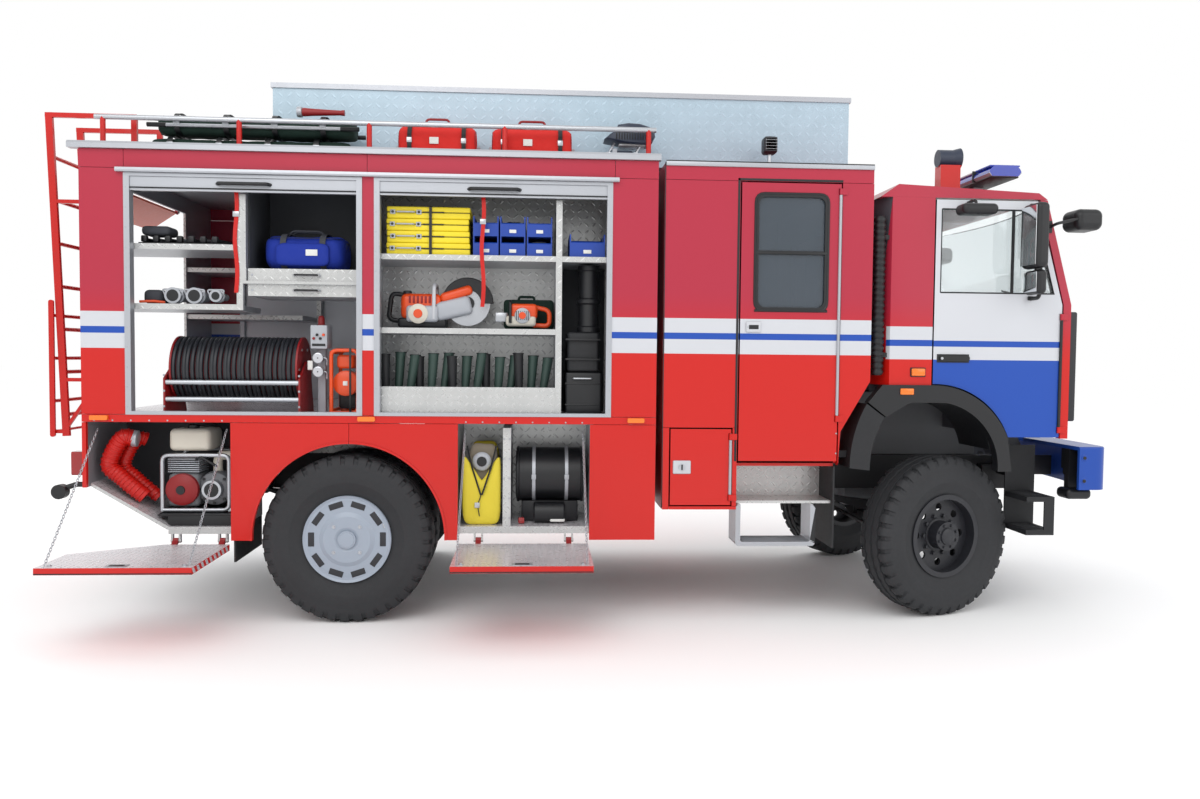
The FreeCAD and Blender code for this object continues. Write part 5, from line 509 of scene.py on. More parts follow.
def nodes():
    """Materials of the CAD nodes, which stay visible where no piece replaces them."""
    for names, materials in (
            ("body_sides crew_shell", "body_red"),
            ("crew_door_* locker_door_*", "body_red black zinc"),
            ("cab_door_*", "door_paint black"),
            ("mirrors_* cab_front cab_arches front_mirrors", "black"),
            ("cab_glass_* cab_screen", "glass"),
            ("crew_glass_*", "smoked_glass black"),
            ("flap_rear_* flap_mid_*", "tread_flat plain_red dark_red"),
            ("knuckle_* chassis_frame axles_and_springs tie_rod", "chassis_black"),
            ("tyre_front_* tyres_rear_*", "tyre_rubber"),
            ("wheel_front_*", "rim_black"),
            ("wheel_rear_*", "rim_black cover_grey"),
            ("cab_shell", "cab_red dash_grey"),
            ("cab_interior crew_seats", "seat_cloth"),
            ("cab_beacons", "blue_lens plain_red pale_grey lamp_case"),
            ("front_bumper", "blue_gloss"),
            ("body_structure", "aluminium tread_wall tread_flat body_red"),
            ("locker_frames", "aluminium"),
            ("shutters", "aluminium black"),
            ("shelves", "aluminium tread_wall"),
            ("roof_box", "box_plate aluminium"),
            ("roof_rails_and_ladder", "plain_red steel"),
            ("drop_ladder", "plain_red"),
            ("steps_and_mudguards", "zinc rubber tread_wall"),
            ("hose_reel_frame", "dark_red steel"),
            ("hose_reel_drum", "dark_red"),
            ("engine_gearbox", "cast_grey"),
            ("lamps", "amber red_lens black lens"),
            ("roof_gear", "orange_cloth"),
            ("stowed_cases", "yellow"),
            ("stowed_bins", "blue_bin"),
            ("kit_bag", "blue_cloth"),
            ("stowed_tools rear_hatch", "orange"),
            ("flap_chains", "steel")):
        dress(names, materials)
    for names, index, test in (
            ("crew_door_* locker_door_*", 1, lambda c, n: abs(n.y) < 0.3),
            ("crew_door_* locker_door_*", 2, lambda c, n: abs(c.y) > 1250.5),
            ("cab_door_*", 1, lambda c, n: abs(n.y) < 0.3 or abs(c.y) > 1221),
            ("crew_glass_*", 1, lambda c, n: abs(c.y) > 1236.5 or abs(c.y) < 1227),
            ("wheel_rear_*", 1, lambda c, n: abs(c.y) > 1187),
            ("flap_rear_right flap_mid_right", 1,
             lambda c, n: c.y < -1262 and (n.z < -0.5 or abs(n.z) < 0.5 and c.z > 480)),
            ("flap_rear_right flap_mid_right", 2, lambda c, n: c.y > -1262),
            ("flap_rear_left flap_mid_left", 1, lambda c, n: n.y > 0.5),
            ("cab_shell", 1, lambda c, n: abs(c.y) < 1166 and c.z < 2810),
            ("cab_beacons", 1, lambda c, n: c.x < 4200 and c.z < 3088),
            ("cab_beacons", 2, lambda c, n: c.x > 4200 and c.z < 3041),
            ("cab_beacons", 3, lambda c, n: c.x < 4200 and c.z >= 3088),
            ("body_structure shelves", 1, lambda c, n: abs(n.y) > 0.7),
            ("body_structure", 2, lambda c, n: n.z > 0.7),
            ("body_structure", 3, lambda c, n: c.x < -1639),
            ("shutters", 1, lambda c, n: abs(c.y) > 1251),
            ("roof_box", 1, lambda c, n: abs(n.z) > 0.7 or c.z > 3560),
            ("roof_rails_and_ladder", 1, lambda c, n: abs(abs(c.y) - 1100) < 18 and c.z > 3221),
            ("steps_and_mudguards", 1, lambda c, n: c.x > 3060 or c.x < 0),
            ("steps_and_mudguards", 2, lambda c, n: 2500 < c.x < 3070 and c.z > 775),
            ("hose_reel_frame", 1, lambda c, n: -1132 < c.x < -340),
            ("lamps", 1, lambda c, n: c.x < -1640 and c.z > 955),
            ("lamps", 2, lambda c, n: c.x > 4500 or (c.x < -1640 and c.z < 925)),
            ("lamps", 3, lambda c, n: c.x > 5080)):
        where(names, index, test)


# Plain materials: colour, roughness, and what differs from plain()'s defaults.
PLAIN = (
    ("dark_red", (140, 22, 26), 0.45),
    ("orange", (232, 78, 22), 0.4, {"Coat_Weight": 0.2}),
    ("orange_cloth", (214, 34, 26), 0.75, {"grain": 900}),
    ("yellow", (238, 214, 40), 0.45),
    ("yellow_cloth", (226, 206, 60), 0.7, {"grain": 700}),
    ("blue_bin", (24, 66, 160), 0.45),
    ("blue_cloth", (16, 48, 150), 0.8, {"grain": 900}),
    ("green_cloth", (22, 48, 40), 0.85, {"grain": 900}),
    ("boot_green", (52, 72, 66), 0.55, {"grain": 200}),
    ("grey_cloth", (66, 68, 74), 0.85, {"grain": 900}),
    ("black", (26, 27, 30), 0.42, {"grain": 500}),
    ("rubber", (34, 35, 38), 0.62, {"grain": 300}),
    ("tyre_rubber", (48, 49, 52), 0.72, {"grain": 200, "wear": 0.2}),
    ("hose", (40, 42, 47), 0.4, {"grain": 700}),
    ("chassis_black", (30, 30, 34), 0.5, {"grain": 120}),
    ("cast_grey", (112, 114, 118), 0.55, {"grain": 300}),
    ("steel", (190, 193, 198), 0.3, {"Metallic": 0.9}),
    ("zinc", (176, 179, 185), 0.38, {"Metallic": 0.5}),
    ("aluminium", (176, 179, 185), 0.36, {"wear": 0.03, "Metallic": 0.55}),
    ("pale_grey", (176, 180, 187), 0.45),
    ("canvas", (150, 140, 124), 0.85, {"grain": 500, "wear": 0.2}),
    ("lamp_case", (44, 52, 70), 0.4, {"grain": 200}),
    ("cream", (214, 208, 194), 0.45),
    ("cover_grey", (150, 160, 174), 0.4, {"wear": 0.04, "Coat_Weight": 0.2}),
    ("rim_black", (42, 43, 48), 0.45, {"grain": 150}),
    # Dark grey of the seat frames and bases, also laid as boards of painted shade at the backs of the
    # lockers.
    ("dark_grey_and_shade_board", (58, 60, 64), 0.6, {"grain": 80}),
    ("seat_cloth", (52, 56, 66), 0.85, {"grain": 800}),
    ("dash_grey", (70, 72, 78), 0.6, {"grain": 600}),
    ("white_cloth", (228, 228, 224), 0.8, {"grain": 700}),
    ("amber", (240, 120, 16), 0.2, {"Coat_Weight": 0.6}),
    ("red_lens", (150, 10, 14), 0.2, {"Coat_Weight": 0.6}),
    ("blue_lens", (20, 52, 170), 0.15, {"Coat_Weight": 0.7}))


class FIRE_OT_finishes(bpy.types.Operator):
    """Materials of the frame's own nodes"""
    bl_idname = "fire.finishes"
    bl_label = "Finishes"

    def execute(self, context):
        scene = context.scene
        colours, sizes = scene.fire_colours, scene.fire_sizes
        red_paint("body_red", colours, sizes)
        red_paint("cab_red", colours, sizes, stripe_end=CAB_STRIPE_END)
        door_paint(colours)
        plain("plain_red", colours.red, 0.35, Coat_Weight=0.2, Specular_IOR_Level=0.3)
        plain("blue_gloss", colours.blue, 0.35, Coat_Weight=0.2, Specular_IOR_Level=0.3)
        plain("white_gloss", colours.white, 0.35, Coat_Weight=0.4)
        for name, colour, rough, *extra in PLAIN:
            plain(name, rgb(*colour), rough, **(extra[0] if extra else {}))
        plain("mirror", (0.75, 0.78, 0.8, 1), 0.12, wear=0.01, Metallic=1)
        plate("tread_flat", rgb(226, 222, 226), 0, 1, 0.034, rise=0.45, metal=0.4)
        plate("tread_wall", rgb(198, 199, 198), 0, 2, 0.05, rise=0.3, metal=0.45)
        plate("box_plate", rgb(176, 198, 212), 0, 2, 0.06, rise=0.2, metal=0.1)
        smoked = Tree("smoked_glass", Roughness=0.04, IOR=1.45, Transmission_Weight=0.55,
                      Coat_Weight=0.4)
        glass = Tree("glass", Roughness=0.02, IOR=1.45, Transmission_Weight=0.92)
        lens = Tree("lens", Roughness=0.05, Transmission_Weight=0.6)
        for tree, scale, first, second in (
                (smoked, 1.5, (0.07, 0.1, 0.13, 1), (0.12, 0.15, 0.19, 1)),
                (glass, 1.5, (0.86, 0.92, 0.93, 1), (0.93, 0.96, 0.97, 1)),
                (lens, 2, (0.9, 0.9, 0.92, 1), (1, 1, 1, 1))):
            tree.feed("Base Color", tree.mix(tree.noise(scale), first, second))
        nodes()
        return {"FINISHED"}


# The running gear in millimetres, the front wheels' rest angle in degrees, and the tread.
WHEELBASE = 3950
AXLE_Z = 545
KINGPIN_Y = 960
FRONT_WHEEL_Y = 1030
TWIN_OUTER_Y = 1090
TWIN_PITCH = 332
REST_STEER = 20
GROOVE = 15
LUGS = 38


def steered(sign):
    """Carry points drawn about the rear axle's line to a front wheel at its rest angle."""
    spin = Matrix.Rotation(math.radians(REST_STEER), 3, "Z")
    pivot = Vector((WHEELBASE, sign * KINGPIN_Y, 0))

    def move(point):
        return spin @ (point + Vector((WHEELBASE, 0, 0)) - pivot) + pivot
    return move


def tyre_section(state, shift):
    """Outline of a tyre's section, (across, radius), over a lug or over the gap between two."""
    deep = 0 if state else GROOVE
    half = [(102, 263), (104, 291), (122, 322), (136, 362), (138.5, 366), (140.5, 372),
            (142.5, 408), (142, 440), (139.5, 452), (140.5, 458), (137, 486),
            (134 - deep * 0.5, 500), (127 - deep * 0.7, 520 - deep * 0.5), (116, 538 - deep),
            (98, 544.5 - deep), (74, 544.8 - deep)]
    ribs = [(70 + shift, 544.8), (66 + shift, 531), (58 + shift, 531), (54 + shift, 545),
            (14 - shift, 545), (10 - shift, 532)]
    right = half + ribs
    return right + [(-a, r) for a, r in reversed(right)]


def add_tyre(shape, y):
    """One treaded tyre about the axle line at y."""
    loops = []
    for lug in range(LUGS):
        for share, state, shift in ((0, 1, 5), (0.31, 1, -5), (0.62, 1, 5), (0.67, 0, 5), (0.95, 0, 5)):
            angle = 2 * math.pi * (lug + share) / LUGS
            loops.append([Vector((r * math.cos(angle), y + a, AXLE_Z + r * math.sin(angle)))
                          for a, r in tyre_section(state, shift)])
    shape.rings("tyre_rubber", loops, closed=True)


def add_bolts(shape, material, y, out, circle, count, size, length, turn=0):
    """Hexagon bolt heads with a washer, on a circle round the axle line."""
    for angle in around(count, turn):
        centre = (circle * math.cos(angle), y, AXLE_Z + circle * math.sin(angle))
        shape.turned(material, centre, (0, out, 0), [(0, size * 1.35), (3, size * 1.35)], 12)
        shape.turned(material, centre, (0, out, 0),
                     [(3, size), (length, size), (length + 2, size * 0.8)], 6)


class FIRE_OT_wheels(bpy.types.Operator):
    """Treaded tyres, bolts, hub caps and valve stems"""
    bl_idname = "fire.wheels"
    bl_label = "Wheels"

    def execute(self, context):
        for side, sign in SIDES:
            front = Shape("tread_front_" + side)
            add_tyre(front, sign * FRONT_WHEEL_Y)
            obj = front.done("wheel_front_" + side, move=steered(sign))
            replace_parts(obj, "tyre_front_" + side)
            rear = Shape("treads_rear_" + side)
            add_tyre(rear, sign * TWIN_OUTER_Y)
            add_tyre(rear, sign * (TWIN_OUTER_Y - TWIN_PITCH))
            obj = rear.done("wheel_rear_" + side)
            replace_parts(obj, "tyres_rear_" + side)
            hub = Shape("front_hub_parts_" + side)
            face = sign * (FRONT_WHEEL_Y + 38)
            add_bolts(hub, "rim_black", face, sign, 132, 10, 15, 18)
            add_bolts(hub, "rim_black", sign * (FRONT_WHEEL_Y + 130), sign, 78, 8, 9, 8, 0.5)
            hub.turned("rim_black", (0, sign * (FRONT_WHEEL_Y + 128), AXLE_Z), (0, sign, 0),
                       [(0, 60), (12, 58), (20, 46), (22, 30)], 24)
            hub.turned("rim_black", (0, face, AXLE_Z), (0, sign, 0), [(0, 112), (5, 112), (7, 108)], 32)
            hub.done("wheel_front_" + side, move=steered(sign))
            cap = Shape("rear_cover_parts_" + side)
            face = sign * (TWIN_OUTER_Y + 127)
            add_bolts(cap, "steel", face, sign, 118, 4, 9, 8, 0.5)
            cap.turned("cover_grey", (0, sign * (TWIN_OUTER_Y + 135), AXLE_Z), (0, sign, 0),
                       [(0, 50), (5, 48), (7, 20), (7.5, 6)], 28)
            for k in range(10):
                cap.box("rim_black", (-46, 46), sided(sign, TWIN_OUTER_Y + 112, TWIN_OUTER_Y + 117),
                        (AXLE_Z + 210, AXLE_Z + 250), 3,
                        turn=((0, 0, AXLE_Z), LEFT, 36 * (k + 0.5)))
            cap.pipe("steel", [(252 * math.cos(a), face - sign * 12, AXLE_Z + 252 * math.sin(a))
                               for a in (0.30, 0.36, 0.42)], 5)
            cap.done("wheel_rear_" + side)
        return {"FINISHED"}


# The reel's flanges and axis, the mirrored saw's two x added up, and how the pump set is enlarged.
REEL = (-1140, -330)
REEL_Y = -930
REEL_Z = 1640
SAW_MIRROR = 1177
PUMP_SCALE, PUMP_LIFT = 1.25, 75.5


def torus(shape, material, centre, axis, circle, radius, steps=36, sides=8):
    """A closed ring about an axis."""
    axis = Vector(axis).normalized()
    side = axis.orthogonal().normalized()
    other = axis.cross(side)
    shape.pipe(material, [Vector(centre) + (side * math.cos(a) + other * math.sin(a)) * circle
                          for a in around(steps)], radius, sides, closed=True)


def rivet(shape, centre, radius, height, steps=8, material="zinc", axis=RIGHT):
    """A low round or angular head on a face."""
    shape.turned(material, centre, axis, [(0, radius), (height, radius - 1)], steps)


class FIRE_OT_reel(bpy.types.Operator):
    """Hose turns, flange bolts, guide frame, control box with its dials, and the lamp on it"""
    bl_idname = "fire.reel"
    bl_label = "Hose reel"

    def execute(self, context):
        hose = Shape("hose_turns")
        first, last, turns = REEL[0] + 27, REEL[1] - 27, 27
        for i in range(turns):
            x = first + (last - first) * i / (turns - 1)
            torus(hose, "hose", (x, REEL_Y, REEL_Z), (1, 0.02 * (i % 3 - 1), 0), 199.5, 14.2)
        hose.done("hose_reel")
        trim = Shape("reel_trim")
        for x, out in zip(REEL, (-1, 1)):
            torus(trim, "dark_red", (x + out * -6, REEL_Y, REEL_Z), AHEAD, 211, 3.8, 48, 6)
            for a in around(6):
                trim.turned("steel", (x, REEL_Y + 150 * math.cos(a), REEL_Z + 150 * math.sin(a)),
                            (out, 0, 0), [(0, 9), (5, 9), (6, 7)], 6)
        trim.done("hose_reel")
        front = Shape("reel_guides")
        for z in (1446, 1555):
            for k in range(5):
                x = -1150 + 205 * k
                front.turned("steel", (x, -1150, z), AHEAD, [(0, 18.5), (8, 18.5)], 20)
        for x in (-1160, -310):
            for z in (1400, 1500, 1600):
                rivet(front, (x, -1170, z), 8, 5, 6)
        front.done()
        box = Shape("reel_controls", (-266, GEAR_OUT + 90, 0))
        box.box("pale_grey", (0, 110), (0, 170), (1778, 1934), 8)
        box.box("black", (12, 98), (-4, 4), (1796, 1812), 2)
        for k, material in enumerate(("dark_red", "black", "black", "orange")):
            box.turned(material, (24 + 21 * k, 0, 1846 + 24 * (k % 2)), RIGHT,
                       [(0, 9), (9, 9), (11, 7)], 14)
        for z in (1628, 1718):
            box.turned("steel", (55, -30, z), RIGHT,
                       [(-110, 20), (-20, 20), (-18, 33), (0, 34), (2, 30)], 28)
            box.turned("white_gloss", (55, -32.5, z), RIGHT, [(0, 28), (1, 28)], 24)
            box.turned("black", (55, -33, z), RIGHT, [(0, 4), (3, 4)], 10)
            box.bent("steel", [(55, 60, z), (96, 60, z), (96, 60, z - 50)], 8)
        box.box("pale_grey", (30, 80), (90, 140), (BAY_FLOOR, 1779), 3)
        box.turned("dark_red", (55, 85, 1934), UP,
                   [(0, 26), (6, 26), (8, 22), (50, 21), (62, 14), (66, 3)], 24)
        box.box("white_cloth", (-14, 18), (-14, -10), (1640, 1700), 1)
        box.done()
        return {"FINISHED"}


def fan():
    """Fan in a tubular frame."""
    s = Shape("fan_set", (0, GEAR_OUT + 30, 0))
    x0, x1, y1 = -122, 50, 350
    mid, z = -36, 1553
    for y in (20, y1 - 20):
        s.bent("orange", [(x0, y, 1360), (x0, y, 1770), (x1, y, 1770), (x1, y, 1360),
                          (x0 + 4, y, 1360)], 13, 40)
    for x in (x0, x1):
        for z_bar in (1375, 1755):
            s.pipe("orange", [(x, 20, z_bar), (x, y1 - 20, z_bar)], 11)
    s.turned("orange", (mid, 60, z), LEFT,
             [(0, 84), (0, 72), (150, 66), (150, 80)], 32, closed=True)
    s.turned("orange", (mid, 62, z), RIGHT, [(0, 83), (9, 79), (17, 52), (20, 22)], 32)
    s.box("white_cloth", (mid - 15, mid + 15), (38, 43), (z - 15, z + 15), 3)
    s.box("black", (mid + 32, mid + 46), (2, 6), (1356, 1784), 1.5)
    s.box("black", (x0 + 20, x1 - 20), (150, y1 - 60), (1380, 1500), 20, 3)
    s.box("orange", (x0 + 25, x1 - 30), (60, 200), (1650, 1740), 22, 3)
    return s.done()


def saw():
    """Disc cutter, drawn the other way round and mirrored along the shelf."""
    s = Shape("disc_saw", (262, GEAR_OUT + 120, MID_SHELF))
    s.box("orange", (330, 600), (0, 190), (60, 230), 36, 4)
    s.box("pale_grey", (350, 560), (-30, 20), (40, 150), 22, 3)
    s.box("black", (300, 620), (10, 180), (4, 70), 18, 3)
    s.turned("cream", (480, -28, 95), RIGHT, [(0, 66), (8, 64), (14, 40), (16, 12)], 28)
    s.turned("steel", (160, 40, 170), LEFT, [(0, 150), (3, 150)], 48)
    guard = ((90, 30), (168, 26), (174, 44), (168, 62), (90, 58))
    s.rings("black", [[Vector((160 + r * math.cos(a), w, 170 + r * math.sin(a))) for r, w in guard]
                      for a in map(math.radians, range(-40, 190, 10))])
    s.box("pale_grey", (130, 380), (-8, 60), (70, 196), 30, 3, turn=((260, 0, 130), LEFT, 14))
    s.box("orange", (120, 340), (-2, 66), (196, 262), 28, 3, turn=((240, 0, 220), LEFT, 18))
    s.turned("black", (160, 24, 170), LEFT, [(0, 44), (10, 46), (16, 44)], 28)
    s.bent("black", [(560, 90, 40), (690, 90, 60), (668, 90, 236), (560, 90, 220)], 16, 40)
    s.bent("white_gloss", [(380, -20, 60), (376, -20, 290),
                           (376, 190, 290), (380, 190, 60)], 13, 50)
    for k in range(6):
        s.box("dark_red", (400 + 26 * k, 414 + 26 * k), (-6, 4), (166, 214), 3)
    s.turned("orange", (480, -44, 95), RIGHT, [(0, 30), (3, 28)], 24)
    s.turned("black", (560, 60, 225), UP, [(0, 30), (22, 28), (26, 20)], 20)
    return s.done(move=lambda point: Vector((SAW_MIRROR - point.x, point.y, point.z)))


def chainsaw():
    """Chain saw, and a cloth case behind it."""
    s = Shape("chain_saw", (972, GEAR_OUT + 90, MID_SHELF))
    s.box("green_cloth", (20, 362), (150, 300), (4, 205), 26, 4)
    s.box("orange", (60, 250), (0, 130), (70, 170), 26, 4)
    s.box("cream", (40, 240), (-6, 120), (20, 90), 20, 3)
    s.turned("pale_grey", (150, -6, 90), RIGHT, [(0, 52), (8, 50), (13, 26), (14, 8)], 24)
    for k in range(7):
        s.box("black", (108 + 13 * k, 113 + 13 * k), (-19, -12), (60, 120), 1)
    s.turned("orange", (150, -20, 90), RIGHT, [(0, 24), (3, 22)], 24)
    s.bent("green_cloth", [(120, 220, 200), (126, 220, 226),
                           (224, 220, 226), (230, 220, 200)], 9, 14)
    s.bent("black", [(70, 130, 40), (66, 130, 186), (70, -16, 186), (70, -16, 40)], 10, 36)
    s.bent("orange", [(230, 60, 150), (330, 60, 130), (330, 60, 24), (220, 60, 30)], 16, 36)
    s.box("steel", (-30, 50), (50, 58), (50, 110), 3)
    return s.done()


def boots():
    """Rubber boots standing in a leaning row behind the fence."""
    s = Shape("boots")
    for i in range(15):
        x = 226 + 66 * i + 22 * (i // 3)
        lean = 34 * (i % 3 - 0.3)
        y = GEAR_OUT + 40 + 34 * (i % 2)
        top = 1668 + 14 * math.sin(i * 1.7)
        loops = []
        for share, rx, ry in ((0, 30, 40), (0.06, 31, 60), (0.22, 29, 52), (0.36, 25, 36),
                              (0.7, 30, 40), (1, 34, 46)):
            z = BAY_FLOOR + share * (top + 80 - BAY_FLOOR)
            mid_x, mid_y = x + lean * share, y + 70 - 16 * (share < 0.1)
            loops.append([Vector((mid_x + rx * math.cos(a), mid_y + ry * math.sin(a), z))
                          for a in around(14)])
        s.rings("boot_green" if i % 3 else "rubber", loops)
        torus(s, "rubber", (x + lean, y + 70, top + 78), UP, 34, 5, 18, 6)
    return s.done()


def column():
    """Black cylinder on two cases at the front bay's end."""
    s = Shape("pump_column", (1360, GEAR_OUT, 0))
    s.turned("black", (202, 110, 1908), UP,
             [(0, 78), (30, 82), (40, 70), (180, 68), (190, 80), (214, 80), (224, 66),
              (400, 64), (410, 74), (440, 70), (446, 30)], 32)
    s.box("black", (50, 290), (0, 430), (BAY_FLOOR, 1640), 14, 3)
    s.box("rubber", (60, 270), (20, 420), (1642, 1905), 20, 3)
    for z in (1420, 1560, 1720, 1850):
        s.box("black", (46, 280), (-4, 12), (z, z + 12), 3)
    s.bent("steel", [(100, 2, 1600), (100, -18, 1600), (220, -18, 1600), (220, 2, 1600)], 6, 10)
    return s.done()


def hydraulics():
    """Spreader, couplings and a flat tool set on the rear bay's two shelves."""
    s = Shape("hydraulic_tools", (0, GEAR_OUT, 0))
    s.box("rubber", (-1340, -790), (40, 330), (2437, 2452), 5)
    for k in range(7):
        x = -1310 + 74 * k
        s.pipe("steel" if k % 2 else "black", [(x, 60, 2470), (x + 30, 300, 2476)], 13, 12)
        s.box("black", (x - 14, x + 24), (40, 80), (2454, 2496), 8)
    s.box("grey_cloth", (-1330, -1150), (60, 240), (2500, 2560), 24, 3)
    for x, r in ((-1120, 52), (-985, 52), (-850, 40)):
        s.turned("zinc", (x, 20, 2112), LEFT,
                 [(0, r - 12), (0, r), (16, r), (20, r - 10), (60, r - 10), (64, r), (84, r),
                  (90, r - 16), (220, r - 18)], 28)
        s.turned("black", (x, 19, 2112), LEFT, [(0, r - 14), (2, r - 14)], 24)
        s.bent("zinc", [(x - r, 40, 2112), (x - r - 14, 30, 2150),
                        (x + r + 14, 30, 2150), (x + r, 40, 2112)], 6, 14)
    s.box("grey_cloth", (-1320, -1200), (60, 330), (2058, 2150), 30, 4)
    s.pipe("orange", [(-1330, 30, 2070), (-1240, 40, 2074), (-1180, 60, 2068)], 9)
    return s.done()


def pump():
    """Portable motor pump in the rear lower locker."""
    s = Shape("motor_pump_set", (-760, -1100, LOW_FLOOR))
    for yy in (0, 330):
        s.bent("steel", [(-350, yy, 14), (-350, yy, 300), (-10, yy, 300),
                         (-10, yy, 14), (-346, yy, 14)], 11, 34)
    for xx in (-350, -10):
        s.pipe("steel", [(xx, 0, 16), (xx, 330, 16)], 11)
    s.box("cast_grey", (-330, -170), (20, 250), (26, 200), 22, 3)
    for k in range(7):
        s.box("pale_grey", (-336, -176), (40, 200), (206 + 11 * k, 211 + 11 * k), 1.5)
    s.turned("dark_red", (-250, 20, 120), RIGHT, [(0, 84), (26, 82), (38, 62), (44, 22)], 32)
    s.turned("black", (-250, -23, 120), RIGHT, [(0, 24), (6, 22)], 20)
    for a in around(10):
        s.box("black", (-252, -248), (-14, -8), (160, 186), 1,
              turn=((-250, 0, 120), LEFT, math.degrees(a)))
    s.box("cream", (-320, -110), (10, 230), (320, 436), 26, 4)
    s.turned("black", (-215, 80, 436), UP, [(0, 30), (16, 30), (20, 24)], 20)
    s.turned("cast_grey", (-100, 40, 118), LEFT,
             [(0, 60), (10, 84), (40, 92), (110, 90), (140, 60)], 36)
    for a in around(8):
        s.turned("black", (-100 + 74 * math.cos(a), 46, 118 + 74 * math.sin(a)), RIGHT,
                 [(0, 8), (9, 8)], 6)
    s.turned("steel", (-100, 40, 118), RIGHT, [(0, 52), (44, 50), (46, 40)], 28)
    s.turned("black", (-100, -5.5, 118), RIGHT, [(0, 38), (1, 37)], 24)
    s.bent("cream", [(-100, 110, 200), (-100, 110, 290), (-30, 110, 290)], 24, 40, 16)
    s.bent("black", [(-200, 60, 260), (-160, -10, 300), (-70, 0, 240)], 7)
    tray = Vector((-742, -1100, LOW_FLOOR))
    lift = Vector((0, 0, PUMP_LIFT))
    s.box("black", (-358, 18), (-52, 350), (-10, 0), 3)
    s.box("black", (-306, 18), (-52, -44), (-60, -10), 2)
    return s.done(move=lambda point: tray + (point - tray) * PUMP_SCALE + lift)


def drum():
    """Wide drum in the middle lower locker, with small gear under it."""
    s = Shape("hose_drum", (1084, -900, 940))
    long = 459
    s.turned("black", (0, 0, 0), AHEAD, [(0, 150), (6, 188), (20, 190), (26, 182), (long - 26, 182),
              (long - 20, 190), (long - 6, 188), (long, 150)], 40)
    for x in (110, long - 130):
        s.turned("zinc", (x, 0, 0), AHEAD, [(0, 186), (0, 191), (22, 191), (22, 186)], 40,
                 closed=True)
        s.box("zinc", (x - 4, x + 26), (-200, -184), (-16, 16), 3)
    s.box("chassis_black", (40, long - 40), (-100, 100), (-311, -170), 12)
    s.turned("black", (120, -150, -240), AHEAD, [(0, 60), (10, 70), (200, 70), (210, 60)], 28)
    s.box("white_cloth", (230, 330), (-210, -120), (-300, -276), 10, 3)
    s.box("red_lens", (20, 60), (-220, -190), (-308, -268), 6)
    return s.done()


class FIRE_OT_tools(bpy.types.Operator):
    """Fan set, saws, boots, column, hydraulic tools, pump set and drum in the open lockers"""
    bl_idname = "fire.tools"
    bl_label = "Stowed tools"

    def execute(self, context):
        for draw in (fan, saw, chainsaw, boots, column, hydraulics, pump, drum):
            part = draw()
            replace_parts(part, "stowed_tools")
        return {"FINISHED"}


def span(node):
    """A node's box as three (low, high) pairs, in millimetres from the rear axle."""
    return tuple(zip(*((1000 * (point.x + AXLE_BACK), 1000 * (point.y - MIDDLE_Y), 1000 * point.z)
                       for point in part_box(node))))


def outline(y, z, square, count, share=1):
    """A rounded section, (across, up) pairs, squarer as square grows."""
    half_y, half_z = 0.5 * (y[1] - y[0]) * share, 0.5 * (z[1] - z[0]) * share
    mid_y, mid_z = 0.5 * (y[0] + y[1]), 0.5 * (z[0] + z[1])
    path = []
    for a in around(count):
        c, s = math.cos(a), math.sin(a)
        path.append((mid_y + half_y * math.copysign(abs(c) ** (2 / square), c),
                     mid_z + half_z * math.copysign(abs(s) ** (2 / square), s)))
    return path


def plump(shape, material, x, y, z, square=3, ends=5, sag=0, rough=4, scale=0.012, seed=0,
          sections=30, sides=44, rest=True):
    """A filled form lofted along x: crowned, creased by its filling, flat only where it rests."""
    y = (y[0] + rough, y[1] - rough)
    z = (z[0] if rest else z[0] + rough, z[1] - rough)
    mid, half = 0.5 * (x[0] + x[1]), 0.5 * (x[1] - x[0]) - rough
    loops = []
    for i in range(sections + 1):
        t = math.sin(math.pi * (i / sections - 0.5))
        share = max((1 - abs(t) ** ends) ** (1 / ends), 0.03)
        loop = []
        for a, b in outline(y, z, square, sides, share):
            up = (b - z[0]) / (z[1] - z[0])
            b -= sag * up * (1 - t * t)
            point = Vector((mid + half * t, a, b))
            push = rough * wave(point * scale + Vector((seed, 0, 0)))
            fine = 0.35 * rough * wave(point * scale * 3.1 + Vector((0, seed, 0)))
            out = Vector((0, a - 0.5 * (y[0] + y[1]), b - 0.5 * (z[0] + z[1]))).normalized()
            point += out * (push + fine)
            if rest:
                point.z = max(point.z, z[0])
            loop.append(point)
        loops.append(loop)
    shape.rings(material, loops)


def band(shape, material, x, path, thick=3):
    """A flat strap laid round a closed path of (across, up) pairs, as wide as x."""
    count = len(path)
    loops = []
    for i, (a, b) in enumerate(path):
        before, after = path[i - 1], path[(i + 1) % count]
        out = Vector((0, after[1] - before[1], before[0] - after[0])).normalized() * thick
        here = [Vector((x[0], a, b)), Vector((x[1], a, b))]
        loops.append([here[0], here[1], here[1] + out, here[0] + out])
    shape.rings(material, loops, closed=True)


def seam(shape, points):
    """A closed line of black piping."""
    shape.pipe("black", points, 2.4, 6, closed=True)


